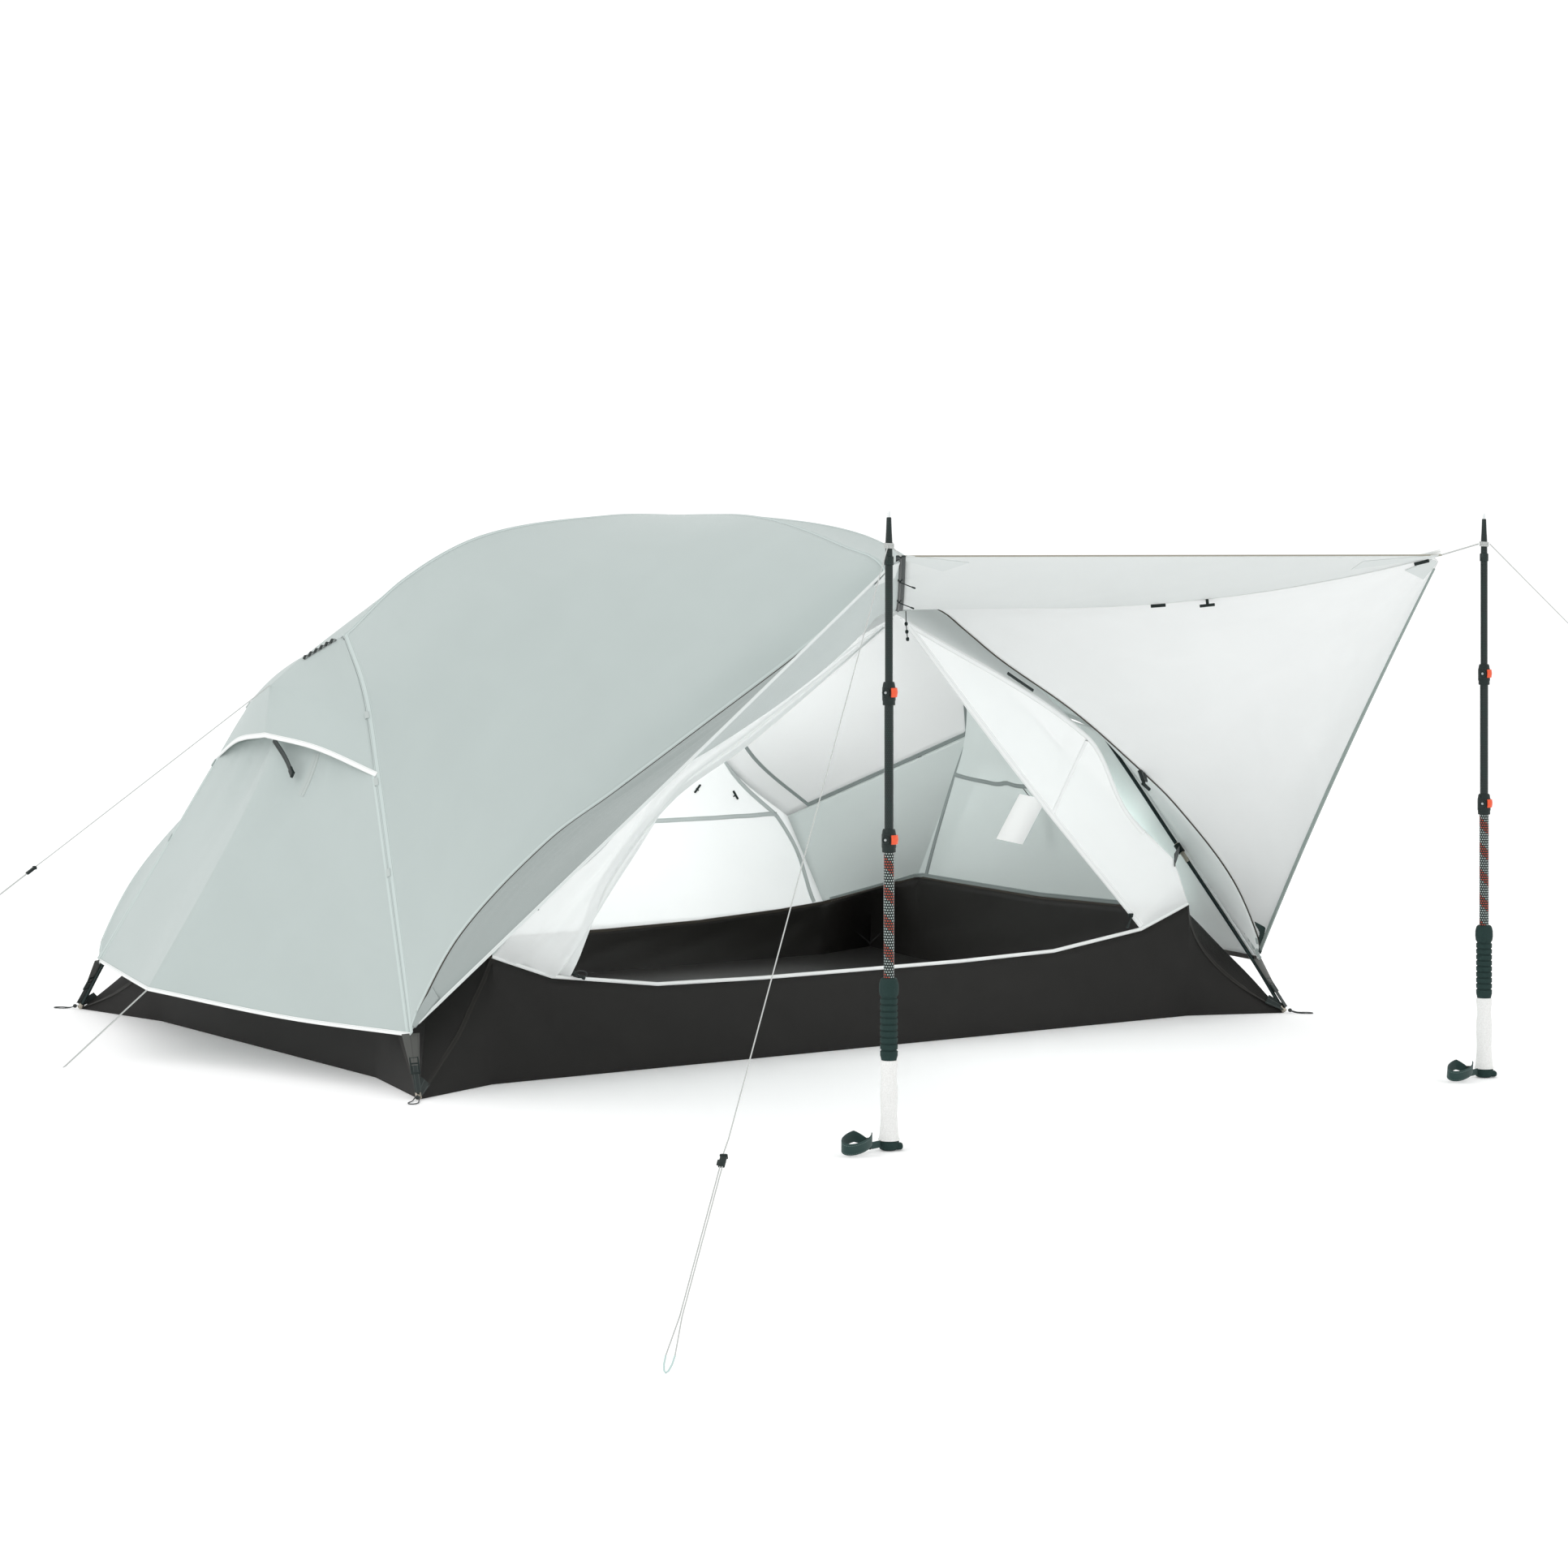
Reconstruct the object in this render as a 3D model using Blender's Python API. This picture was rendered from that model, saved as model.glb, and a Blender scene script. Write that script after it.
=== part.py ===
"""Two-person trekking tent, pitched, with its front door held out as an awning by two trekking poles.

Metres, +Z up. The origin is on the ground at the centre of the tent. X runs along the ridge,
and the open door and its awning are on the -Y side.
"""

import math

import bmesh
import bpy
from mathutils import Matrix, Vector

# Driving sizes of the pole frame
FOOT_HALF_LENGTH = 1.081
FOOT_HALF_WIDTH = 0.781
RIDGE_HEIGHT = 1.097
HUB_HALF_SPAN = 0.828
HUB_HEIGHT = 0.832
CROSS_HALF_WIDTH = 0.759
CROSS_END_DROP = 0.100
POLE_RADIUS = 0.00425
HUB_ARM_RADIUS = 0.0058
HUB_ARM_LENGTH = 0.030
HUB_STOP = 0.007
HUB_ARM_START = 0.0021
HUB_CORE_RADIUS = 0.0072
HUB_CORE_BOTTOM = -0.0066
HUB_CORE_TOP = 0.0031
CLIP_RADIUS = 0.011
CLIP_FLOOR = 0.003
CROSS_DIP_REACH = 0.30

# Driving sizes of the cloth
CLOTH_THICKNESS = 0.0008
SEAM_GAP = 0.00045
SEAM_STANDOFF = 0.0088
TOP_STANDOFF = 0.0050
LEG_SEAM_SHIFT = 0.004
HUB_SEAM_RISE = 0.003
CROSS_END_POCKET = 0.025
HEM_HEIGHT = 0.110
END_HEM_REACH = 0.211
END_HEM_RISE = 0.027
DOOR_APEX_FORWARD = 0.054
DOOR_APEX_DROP = 0.075
HOOD_SHOULDER_BACK = 0.014
HOOD_SHOULDER_DROP = 0.087
HOOD_OVERHANG = 0.049
HOOD_LIP_DROP = 0.194
HOOD_CREST_RISE = 0.012
HOOD_EDGE_BOW = Vector((0.012, 0, 0.010))
VENT_PANEL_SHARE = 0.5415
VENT_PANEL_DROP = 0.172
VENT_PANEL_TRIM = 0.008
END_PANEL_HOLLOW = 0.010
END_HEM_BOW = Vector((-0.022, 0, -0.014))
VESTIBULE_REACH = 0.530
VESTIBULE_FOOT_HEIGHT = 0.020
VESTIBULE_HEM_BOW = Vector((-0.030, -0.030, -0.012))
VESTIBULE_TOP_TRIM = 0.006
VESTIBULE_FOOT_TRIM = 0.012
FLY_TENSION = 0.55

# Driving sizes of the awning and its two trekking poles
AWNING_LEFT_CORNER = Vector((-0.617, -1.668, 1.0176))
AWNING_RIGHT_CORNER = Vector((0.700, -1.650, 1.0144))
AWNING_SEAM_SAG = 0.050
AWNING_LEFT_BELLY = 0.045
AWNING_RIGHT_HEM_BOW = 0.017
AWNING_RIGHT_HEM_WAY = Vector((-0.8, 0.2, -0.35))
AWNING_FOOT_TRIM = 0.012
AWNING_CORNER_TRIM = 0.020
AWNING_TOP_TRIM = 0.030
POLE_LEFT_PLACE = Vector((-0.681, -1.721, 0.0))
POLE_RIGHT_PLACE = Vector((0.763, -1.702, 0.0))

# Driving sizes of the inner tent and its tub floor
TUB_END_INSET = 0.0634
TUB_SIDE_INSET = 0.085
TUB_CORNER_INSET = 0.0026
TUB_SIDE_STATIONS = (0.0, 0.25, 0.50)
END_WALL_SAG = 0.012
FRONT_WALL = 0.161
FRONT_PEAK = 0.245
FRONT_RISE_POWER = 5
BACK_WALL = 0.100
BACK_PEAK = 0.130
END_WALL = 0.205
SIDE_PEAK_INSET = 0.1426
END_PEAK_INSET = 0.205
INNER_DROP = 0.045
INNER_CORNER_INSET = 0.085
INNER_CORNER_SPREAD = 0.164
INNER_CORNER_HEIGHT = 0.574
INNER_APEX_DROP = 0.030
DOOR_FOOT = 0.742
DOOR_FOLD_DEPTH = 0.018
DOOR_FOLD_COUNT = 4
DOOR_ZIP_OFFSET = 0.008
GATHERED_DOOR_EDGE = ((-0.3441, -0.7595, 0.512), (-0.545, -0.735, 0.415), (-0.650, -0.712, 0.285))
GATHERED_DOOR_FOOT = -0.704

# Driving sizes of a trekking pole, which stands grip down
GRIP_LENGTH = 0.154
GRIP_RADIUS = 0.0150
GRIP_HEAD_RADIUS = 0.0180
GRIP_END_CAP = 0.020
FOAM_LENGTH = 0.141
FOAM_RADIUS = 0.0160
UPPER_SHAFT_RADIUS = 0.0090
UPPER_SHAFT_TOP = 0.510
MIDDLE_SHAFT_FOOT = 0.360
MIDDLE_SHAFT_TOP = 0.762
TIP_SHAFT_FOOT = 0.600
TIP_COLLAR_HEIGHT = 1.002
TIP_HEIGHT = 1.095
TIP_COLLAR_SWELL = 0.0016
TIP_KNOT_SWELL = 0.0032
TUBE_WALL = 0.0008
CLAMP_LENGTH = 0.040
CLAMP_WALL = 0.0040
CLAMP_RIB = 0.0008
CLAMP_SCREW_RADIUS = 0.0042
CLAMP_SCREW_REACH = 0.0075
CLAMP_SCREW_WAY = Vector((-0.825, -0.565, 0))
LEVER_HEIGHT = 0.016
LEVER_THICKNESS = 0.0026
LEVER_TAB_KICK = 0.0035
LEVER_SWEEP = math.radians(130)
LEVER_HINGE_ANGLE = math.radians(-110)
STRAP_WIDTH = 0.022
STRAP_THICKNESS = 0.0020
STRAP_LOOP_LENGTH = 0.058
STRAP_LOOP_WIDTH = 0.034
STRAP_NECK = Vector((-0.040, -0.006, 0))

# Driving sizes of the strap that holds a vent hood up
PROP_WIDTH = 0.015
PROP_THICKNESS = 0.0012
PROP_TOP_BACK = Vector((-0.006, -0.030, -0.004))
PROP_RUN = Vector((-0.004, -0.080, -0.070))

# Driving sizes of the guy lines
CORD_RADIUS = 0.0010
CORD_PAIR_GAP = 0.0032
TENSIONER_LENGTH = 0.024
TENSIONER_RADIUS = 0.0056
TENSIONER_BORE = 0.0034
TENSIONER_STEP = 0.014
GROUND_LOOP_LENGTH = 0.030
GROUND_LOOP_SWELL = 0.006
TIE_HEIGHT = 1.036
GROUND_LOOP_HEIGHT = 0.0035
END_STAKE = Vector((-2.094, 0, 0))
POLE_LEFT_STAKE = Vector((-1.891, -2.907, 0))
POLE_RIGHT_STAKE = Vector((1.399, -2.498, 0))
HEM_STAKE = Vector((-1.463, -0.030, 0))

# Clearances between pieces
FIT = 0.0003
SLIDE_FIT = 0.0003
OFF_CLOTH = 0.0004
CORD_TO_KNOT = 0.0008
MIDDLE_SHAFT_RADIUS = UPPER_SHAFT_RADIUS - TUBE_WALL - SLIDE_FIT
TIP_SHAFT_RADIUS = MIDDLE_SHAFT_RADIUS - TUBE_WALL - SLIDE_FIT

# Stations along the shared edges, so that neighbouring panels meet
EDGE_STATIONS = 10
HOOD_STATIONS = 4
INNER_STATIONS = 6
TENSION_ROUNDS = 80
ROUND_STEPS = 12

# Outline shapes, as shares of the span and of the rise or drop
RIDGE_SHAPE = ((0, 0), (0.173, 0.472), (0.409, 0.83), (0.779, 0.992), (1, 1))
LEG_SHAPE = ((0, 0), (0.278, 0.130), (0.452, 0.316), (0.674, 0.586), (0.903, 0.868), (1, 1))
CROSS_SHAPE = ((0, 0), (0.39, 0.03), (0.675, 0.37), (1, 1))
DOOR_SEAM_SHAPE = (
    (0, 0, 0),
    (0.0965, 0.005, 0.0246),
    (0.163, 0.055, 0.0776),
    (0.2545, 0.10, 0.1564),
    (0.435, 0.055, 0.2956),
    (0.6206, 0.296, 0.4544),
    (0.741, 0.565, 0.5616),
    (0.907, 0.787, 0.766),
    (0.992, 0.889, 0.947),
    (1, 1, 1),
)
INNER_SEAM_SHAPE = ((0, 0, 0), (0.654, 0.42, 0.48), (0.816, 0.71, 0.792), (1, 1, 1))
INNER_CLIP_PLACE = (0.912, 0.612, 0.842)

for old in list(bpy.data.objects):
    bpy.data.objects.remove(old, do_unlink=True)


def material(name, colour, roughness, metallic=0.0):
    made = bpy.data.materials.new(name)
    made.use_nodes = True
    shader = made.node_tree.nodes["Principled BSDF"]
    shader.inputs["Base Color"].default_value = (*colour, 1.0)
    shader.inputs["Roughness"].default_value = roughness
    shader.inputs["Metallic"].default_value = metallic
    return made


FLY_CLOTH = material("fly_cloth", (0.56, 0.62, 0.61), 0.55)
INNER_CLOTH = material("inner_cloth", (0.88, 0.89, 0.88), 0.7)
TUB_CLOTH = material("tub_cloth", (0.022, 0.018, 0.016), 0.6)
POLE_METAL = material("pole_metal", (0.03, 0.05, 0.05), 0.35, 0.8)
MOULDED = material("moulded_black", (0.015, 0.018, 0.018), 0.5)
CARBON = material("shaft_dark", (0.02, 0.035, 0.033), 0.3, 0.2)
FOAM = material("foam_green", (0.02, 0.045, 0.042), 0.85)
PALE_GRIP = material("grip_pale", (0.82, 0.83, 0.82), 0.7)
LEVER_RED = material("lever_red", (0.83, 0.085, 0.03), 0.4)
CORD = material("cord_pale", (0.6, 0.62, 0.6), 0.7)


def place(name, mesh_or_bmesh, look, origin=(0, 0, 0)):
    """Makes one named object. Its origin is put where the piece turns or stands."""
    mesh = bpy.data.meshes.new(name)
    mesh_or_bmesh.to_mesh(mesh)
    mesh_or_bmesh.free()
    mesh.transform(Matrix.Translation(-Vector(origin)))
    mesh.materials.append(look)
    made = bpy.data.objects.new(name, mesh)
    made.location = origin
    bpy.context.collection.objects.link(made)
    return made


def guide(name, mesh_or_bmesh):
    """A cutter: hidden from renders, so it is no piece of the tent."""
    made = place(name, mesh_or_bmesh, MOULDED)
    made.hide_render = True
    made.display_type = "WIRE"
    return made


def apply_boolean(target, tool, operation):
    change = target.modifiers.new(f"{operation.lower()}_{tool.name}", "BOOLEAN")
    change.operation = operation
    change.solver = "EXACT"
    change.object = tool
    return change


# Curves


def smooth(points, count):
    """A list of count + 1 points on a smooth curve through the given ones, evenly spaced."""
    points = [Vector(p) for p in points]
    dense = []
    for i in range(len(points) - 1):
        p1, p2 = points[i], points[i + 1]
        p0 = points[i - 1] if i else p1 * 2 - p2
        p3 = points[i + 2] if i + 2 < len(points) else p2 * 2 - p1
        reach = (p2 - p1).length
        t1 = (p2 - p0) * (reach / max((p2 - p0).length, 1e-9))
        t2 = (p3 - p1) * (reach / max((p3 - p1).length, 1e-9))
        for k in range(16):
            t = k / 16
            dense.append(
                p1 * (2 * t**3 - 3 * t**2 + 1)
                + t1 * (t**3 - 2 * t**2 + t)
                + p2 * (3 * t**2 - 2 * t**3)
                + t2 * (t**3 - t**2)
            )
    dense.append(points[-1])
    return spaced(dense, count)


def spaced(points, count):
    """The same line, read at count + 1 evenly spaced points."""
    lengths = [0.0]
    for a, b in zip(points, points[1:]):
        lengths.append(lengths[-1] + (b - a).length)
    out = []
    i = 0
    for k in range(count + 1):
        want = lengths[-1] * k / count
        while i < len(points) - 2 and lengths[i + 1] < want:
            i += 1
        span = max(lengths[i + 1] - lengths[i], 1e-12)
        out.append(points[i].lerp(points[i + 1], min(1.0, max(0.0, (want - lengths[i]) / span))))
    return out


def straight(a, b, count):
    return [Vector(a).lerp(Vector(b), k / count) for k in range(count + 1)]


def along(curve, t):
    """The point a share t of the way along a list of points."""
    at = t * (len(curve) - 1)
    step = min(int(at), len(curve) - 2)
    return curve[step].lerp(curve[step + 1], at - step)


def length_of(curve):
    return sum((b - a).length for a, b in zip(curve, curve[1:]))


def stand_off(curve, plane_normal, distance):
    """The curve moved sideways in its own plane, to the side that faces away from the tent."""
    out = []
    for i, point in enumerate(curve):
        before = curve[max(i - 1, 0)]
        after = curve[min(i + 1, len(curve) - 1)]
        outward = (after - before).cross(plane_normal).normalized()
        out.append(point + outward * distance)
    return out


def flipped(points, sx=1, sy=1):
    return [Vector((p.x * sx, p.y * sy, p.z)) for p in points]


# Panels


def coons(low, high, left, right, columns, rows, trims=(0, 0, 0, 0), bulge=None):
    """Rows of points on the sheet that fills four edge curves. trims are metres cut off each edge."""
    wide = max(length_of(low), length_of(high))
    tall = max(length_of(left), length_of(right))
    u0, u1 = trims[0] / wide, 1 - trims[1] / wide
    v0, v1 = trims[2] / tall, 1 - trims[3] / tall
    grid = []
    for r in range(rows + 1):
        v = v0 + (v1 - v0) * r / rows
        line = []
        for c in range(columns + 1):
            u = u0 + (u1 - u0) * c / columns
            between = along(low, u).lerp(along(high, u), v)
            across = along(left, v).lerp(along(right, v), u)
            corners = low[0].lerp(low[-1], u).lerp(high[0].lerp(high[-1], u), v)
            point = between + across - corners
            if bulge:
                point = point + bulge(u, v)
            line.append(point)
        grid.append(line)
    return grid


def tensioned(grid, share):
    """The grid with its inside drawn a share of the way to a stretched skin between the same edges."""
    skin = [list(line) for line in grid]
    for _ in range(TENSION_ROUNDS):
        for r in range(1, len(skin) - 1):
            for c in range(1, len(skin[0]) - 1):
                skin[r][c] = (skin[r - 1][c] + skin[r + 1][c] + skin[r][c - 1] + skin[r][c + 1]) / 4
    return [[a.lerp(b, share) for a, b in zip(drawn, tight)] for drawn, tight in zip(grid, skin)]


def sheet(name, grids, look, thickness=CLOTH_THICKNESS, offset=0.0, origin=(0, 0, 0)):
    """One sewn panel from one or more grids of points that share their edges."""
    bm = bmesh.new()
    for grid in grids:
        rows = [[bm.verts.new(p) for p in line] for line in grid]
        for lower, upper in zip(rows, rows[1:]):
            for c in range(len(lower) - 1):
                bm.faces.new((lower[c], lower[c + 1], upper[c + 1], upper[c]))
    bmesh.ops.remove_doubles(bm, verts=bm.verts, dist=1e-5)
    bmesh.ops.dissolve_degenerate(bm, edges=bm.edges, dist=1e-6)
    bmesh.ops.recalc_face_normals(bm, faces=bm.faces)
    made = place(name, bm, look, origin)
    shell = made.modifiers.new("thickness", "SOLIDIFY")
    shell.thickness = thickness
    shell.offset = offset
    shell.use_rim = True
    return made


def rod(name, points, radius, look, sides=2):
    """A round bar or cord along the points, with closed ends."""
    curve = bpy.data.curves.new(name, "CURVE")
    curve.dimensions = "3D"
    curve.bevel_depth = radius
    curve.bevel_resolution = sides
    curve.use_fill_caps = True
    line = curve.splines.new("POLY")
    line.points.add(len(points) - 1)
    for point, place_on_line in zip(line.points, points):
        point.co = (*place_on_line, 1.0)
    curve.materials.append(look)
    made = bpy.data.objects.new(name, curve)
    bpy.context.collection.objects.link(made)
    return made


def turned_mesh(profile, steps, at=(0, 0, 0), towards=(0, 0, 1)):
    """A closed solid turned about its own axis from a closed profile of (radius, height)."""
    bm = bmesh.new()
    turn = Vector((0, 0, 1)).rotation_difference(Vector(towards).normalized()).to_matrix().to_4x4()
    frame = Matrix.Translation(Vector(at)) @ turn
    rings = []
    for radius, height in profile:
        if radius < 1e-6:
            rings.append([bm.verts.new(frame @ Vector((0, 0, height)))])
        else:
            ring = []
            for k in range(steps):
                angle = 2 * math.pi * k / steps
                ring.append(
                    bm.verts.new(frame @ Vector((radius * math.cos(angle), radius * math.sin(angle), height)))
                )
            rings.append(ring)
    closed = len(rings[0]) > 1 and len(rings[-1]) > 1
    pairs = list(zip(rings, rings[1:] + rings[:1])) if closed else list(zip(rings, rings[1:]))
    for a, b in pairs:
        for k in range(steps):
            n = (k + 1) % steps
            if len(a) == 1:
                bm.faces.new((a[0], b[n], b[k]))
            elif len(b) == 1:
                bm.faces.new((a[k], a[n], b[0]))
            else:
                bm.faces.new((a[k], a[n], b[n], b[k]))
    bmesh.ops.recalc_face_normals(bm, faces=bm.faces)
    return bm


def turned(name, profile, look, at=(0, 0, 0), towards=(0, 0, 1), steps=ROUND_STEPS):
    made = place(name, turned_mesh(profile, steps, at, towards), look, at)
    made.data.shade_smooth()
    made.data.set_sharp_from_angle(angle=math.radians(35))
    return made


def cylinder_profile(radius, low, high):
    return ((0, low), (radius, low), (radius, high), (0, high))


# The lines of the pole frame, in the quarter with +X and -Y

LEG_RUN = FOOT_HALF_LENGTH - HUB_HALF_SPAN
LEG_WAY = Vector((LEG_RUN, -FOOT_HALF_WIDTH, 0))
LEG_REACH = LEG_WAY.length
LEG_WAY = LEG_WAY / LEG_REACH
LEG_PLANE = Vector((-LEG_WAY.y, LEG_WAY.x, 0))
RIDGE_PLANE = Vector((0, 1, 0))
CROSS_PLANE = Vector((1, 0, 0))
HUB = Vector((HUB_HALF_SPAN, 0, HUB_HEIGHT))
FOUR_SIDES = (("front_left", -1, 1), ("front_right", 1, 1), ("back_left", -1, -1), ("back_right", 1, -1))


def ridge_line(count):
    """From the left hub to the right hub."""
    rise = RIDGE_HEIGHT - TOP_STANDOFF - HUB_HEIGHT
    half = [
        Vector((-HUB_HALF_SPAN * (1 - across), 0, HUB_HEIGHT + rise * up)) for across, up in RIDGE_SHAPE
    ]
    return smooth(half + [Vector((-p.x, 0, p.z)) for p in reversed(half[:-1])], count)


def leg_line(count):
    """From the right hub to the front right foot."""
    points = []
    for out, down in LEG_SHAPE:
        points.append(HUB + LEG_WAY * (LEG_REACH * out) - Vector((0, 0, HUB_HEIGHT * down)))
    return smooth(points, count)


def cross_line(count):
    """From the middle of the ridge to the front end of the cross pole."""
    top = RIDGE_HEIGHT - SEAM_STANDOFF
    points = [Vector((0, -CROSS_HALF_WIDTH * out, top - CROSS_END_DROP * down)) for out, down in CROSS_SHAPE]
    return smooth(points, count)


def cut_at_height(curve, height):
    """The upper part of a falling curve, down to the height."""
    kept = [curve[0]]
    for a, b in zip(curve, curve[1:]):
        if b.z <= height:
            kept.append(a.lerp(b, (a.z - height) / (a.z - b.z)))
            break
        kept.append(b)
    return kept


# Poles, hubs and the crossing clip


def hub_ways():
    """The directions of the left hub's three sockets: the ridge pole and the two legs."""
    ridge = ridge_line(96)
    leg = leg_line(64)
    along_ridge = (ridge[1] - ridge[0]).normalized()
    down = (leg[1] - leg[0]).normalized()
    return [along_ridge, Vector((-down.x, down.y, down.z)), Vector((-down.x, -down.y, down.z))]


def make_hub(side, half_turn):
    """One moulded hub. The right one is the left one turned half round about the tent's middle."""
    at = Vector((-HUB.x, 0, HUB.z))
    arm_shape = cylinder_profile(HUB_ARM_RADIUS, HUB_ARM_START, HUB_ARM_LENGTH)
    bore_shape = cylinder_profile(POLE_RADIUS + FIT, HUB_STOP, HUB_ARM_LENGTH + 0.004)
    ways = hub_ways()
    hub = turned(f"hub_{side}", arm_shape, MOULDED, at, ways[0])
    tools = []
    for number, way in enumerate(ways[1:]):
        arm = turned_mesh(arm_shape, ROUND_STEPS, at, way)
        tools.append((guide(f"hub_{side}_arm_{number}", arm), "UNION"))
    core = turned_mesh(cylinder_profile(HUB_CORE_RADIUS, HUB_CORE_BOTTOM, HUB_CORE_TOP), ROUND_STEPS + 2, at)
    tools.append((guide(f"hub_{side}_core", core), "UNION"))
    for number, way in enumerate(ways):
        bore = turned_mesh(bore_shape, ROUND_STEPS, at, way)
        tools.append((guide(f"hub_{side}_bore_{number}", bore), "DIFFERENCE"))
    for tool, operation in tools:
        apply_boolean(hub, tool, operation)
    for item in [hub] + [tool for tool, _ in tools]:
        item.location = (-item.location.x, -item.location.y, item.location.z) if half_turn else item.location
        item.rotation_euler = (0, 0, math.pi if half_turn else 0)


def make_frame():
    ridge = ridge_line(96)
    bore = POLE_RADIUS + FIT
    make_hub("left", False)
    make_hub("right", True)

    start = HUB_STOP + FIT
    way = hub_ways()[0]
    hub = Vector((-HUB.x, 0, HUB.z))
    far = HUB_ARM_LENGTH
    middle = [p for p in ridge if (p - ridge[0]).length > far and (p - ridge[-1]).length > far]
    path = [hub + way * start, hub + way * far] + middle[1:-1:5]
    path = [p for p in path if p.x < -0.004]
    crown = Vector((0, 0, ridge[48].z))
    rod("ridge_pole", path + [crown] + flipped(path[::-1], -1, 1), POLE_RADIUS, POLE_METAL)

    leg = leg_line(64)
    way = (leg[1] - leg[0]).normalized()
    outer = [p for p in leg if (p - leg[0]).length > HUB_ARM_LENGTH + 0.01]
    foot_lift = Vector((0, 0, POLE_RADIUS * 0.75))
    path = [HUB + way * start, HUB + way * HUB_ARM_LENGTH] + outer[:-1:5] + [outer[-1] + foot_lift]
    for name, sx, sy in FOUR_SIDES:
        rod(f"leg_pole_{name}", flipped(path, sx, sy), POLE_RADIUS, POLE_METAL)

    stack = 2 * POLE_RADIUS + 4 * FIT
    centre = RIDGE_HEIGHT - TOP_STANDOFF
    dip = stack - (SEAM_STANDOFF - TOP_STANDOFF)
    half = []
    for p in cross_line(15):
        if -p.y > CROSS_HALF_WIDTH - CROSS_END_POCKET:
            continue
        near = max(0.0, 1 - (p.y / CROSS_DIP_REACH) ** 2)
        half.append(p - Vector((0, 0, dip * near * near)))
    rod("cross_pole", flipped(half, 1, -1)[:0:-1] + half, POLE_RADIUS, POLE_METAL)

    depth = stack + POLE_RADIUS + CLIP_FLOOR
    clip = turned("cross_clip", cylinder_profile(CLIP_RADIUS, -depth, 0.0), MOULDED, Vector((0, 0, centre)))
    past = 3 * CLIP_RADIUS
    groove = turned_mesh(cylinder_profile(bore, -past, past), 16, (0, 0, centre), (1, 0, 0))
    apply_boolean(clip, guide("clip_groove", groove), "DIFFERENCE")
    hole = turned_mesh(cylinder_profile(bore + FIT, -past, past), 16, (0, 0, centre - stack), (0, 1, 0))
    apply_boolean(clip, guide("clip_hole", hole), "DIFFERENCE")


# Seam lines of the fly, in the quarter with +X and -Y

LEG_SEAM = spaced(cut_at_height(stand_off(leg_line(64), LEG_PLANE, SEAM_STANDOFF), HEM_HEIGHT), EDGE_STATIONS)
LEG_SEAM = [p + Vector((LEG_SEAM_SHIFT, 0, 0)) for p in LEG_SEAM]
LEG_SEAM[0] = Vector((LEG_SEAM[0].x, 0, LEG_SEAM[0].z + HUB_SEAM_RISE))
FLY_CORNER = LEG_SEAM[-1]
DOOR_APEX = Vector((0, -CROSS_HALF_WIDTH - DOOR_APEX_FORWARD, RIDGE_HEIGHT - CROSS_END_DROP - DOOR_APEX_DROP))
HUB_TOP = LEG_SEAM[0]


def ridge_seam():
    """From the top of the right hub to the middle of the ridge."""
    low = stand_off(ridge_line(96), RIDGE_PLANE, TOP_STANDOFF)
    high = stand_off(ridge_line(96), RIDGE_PLANE, SEAM_STANDOFF)
    half = [a.lerp(b, min(1.0, 1.4 * k / 48)) for k, (a, b) in enumerate(zip(low[48:], high[48:]))][::-1]
    return spaced([HUB_TOP] + half[2:], EDGE_STATIONS)


def cross_seam():
    """From the middle of the ridge to the top of the door."""
    line = stand_off(cross_line(30), CROSS_PLANE, SEAM_STANDOFF)
    return smooth(line[::5] + [DOOR_APEX], EDGE_STATIONS)


def shaped(start, end, shape, count):
    """A smooth curve between two points, through the shares of the way that the shape gives."""
    points = []
    for fx, fy, fz in shape:
        points.append(
            Vector((
                start.x + (end.x - start.x) * fx,
                start.y + (end.y - start.y) * fy,
                start.z + (end.z - start.z) * fz,
            ))
        )
    return smooth(points, count)


DOOR_SEAM = shaped(DOOR_APEX, FLY_CORNER, DOOR_SEAM_SHAPE, EDGE_STATIONS)


def moved(grid, sx, sy):
    return [flipped(line, sx, sy) for line in grid]


def vent_panel_top():
    return Vector((HUB_HALF_SPAN + LEG_RUN * VENT_PANEL_SHARE, 0, HUB_HEIGHT - VENT_PANEL_DROP))


def hood_lip():
    return Vector((vent_panel_top().x + HOOD_OVERHANG, 0, HUB_HEIGHT - HOOD_LIP_DROP))


def hood_shoulder():
    return Vector((hood_lip().x - HOOD_SHOULDER_BACK, 0, HUB_HEIGHT - HOOD_SHOULDER_DROP))


def hood_middle_line():
    """Down the middle of a hood, from the hub over the shoulder, where its guy line pulls, to the lip."""
    shoulder = hood_shoulder()
    crest = HUB_TOP.lerp(shoulder, 0.55) + Vector((0, 0, HOOD_CREST_RISE))
    return smooth([HUB_TOP, crest, shoulder], HOOD_STATIONS - 1) + [hood_lip()]


def hem_middle_point():
    return Vector((FLY_CORNER.x + END_HEM_REACH, 0, HEM_HEIGHT + END_HEM_RISE))


def hood_grid(middle, side, edge):
    """Rows from the hub out to the lip. Each row runs from the middle of the hood to the leg seam."""
    columns = len(edge) - 1
    count = len(middle) - 1
    grid = []
    for r in range(1, count + 1):
        row = []
        reach = (side[r] - middle[r]).length
        for c in range(columns + 1):
            u = min(c / columns, 1 - SEAM_GAP / reach)
            lift = along(edge, u) - edge[0].lerp(edge[-1], u)
            row.append(middle[r].lerp(side[r], u) + lift * (r / count) ** 1.5)
        grid.append(row)
    first = [middle[0].lerp(p, 0.12) for p in grid[0]]
    return [first] + grid


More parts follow.
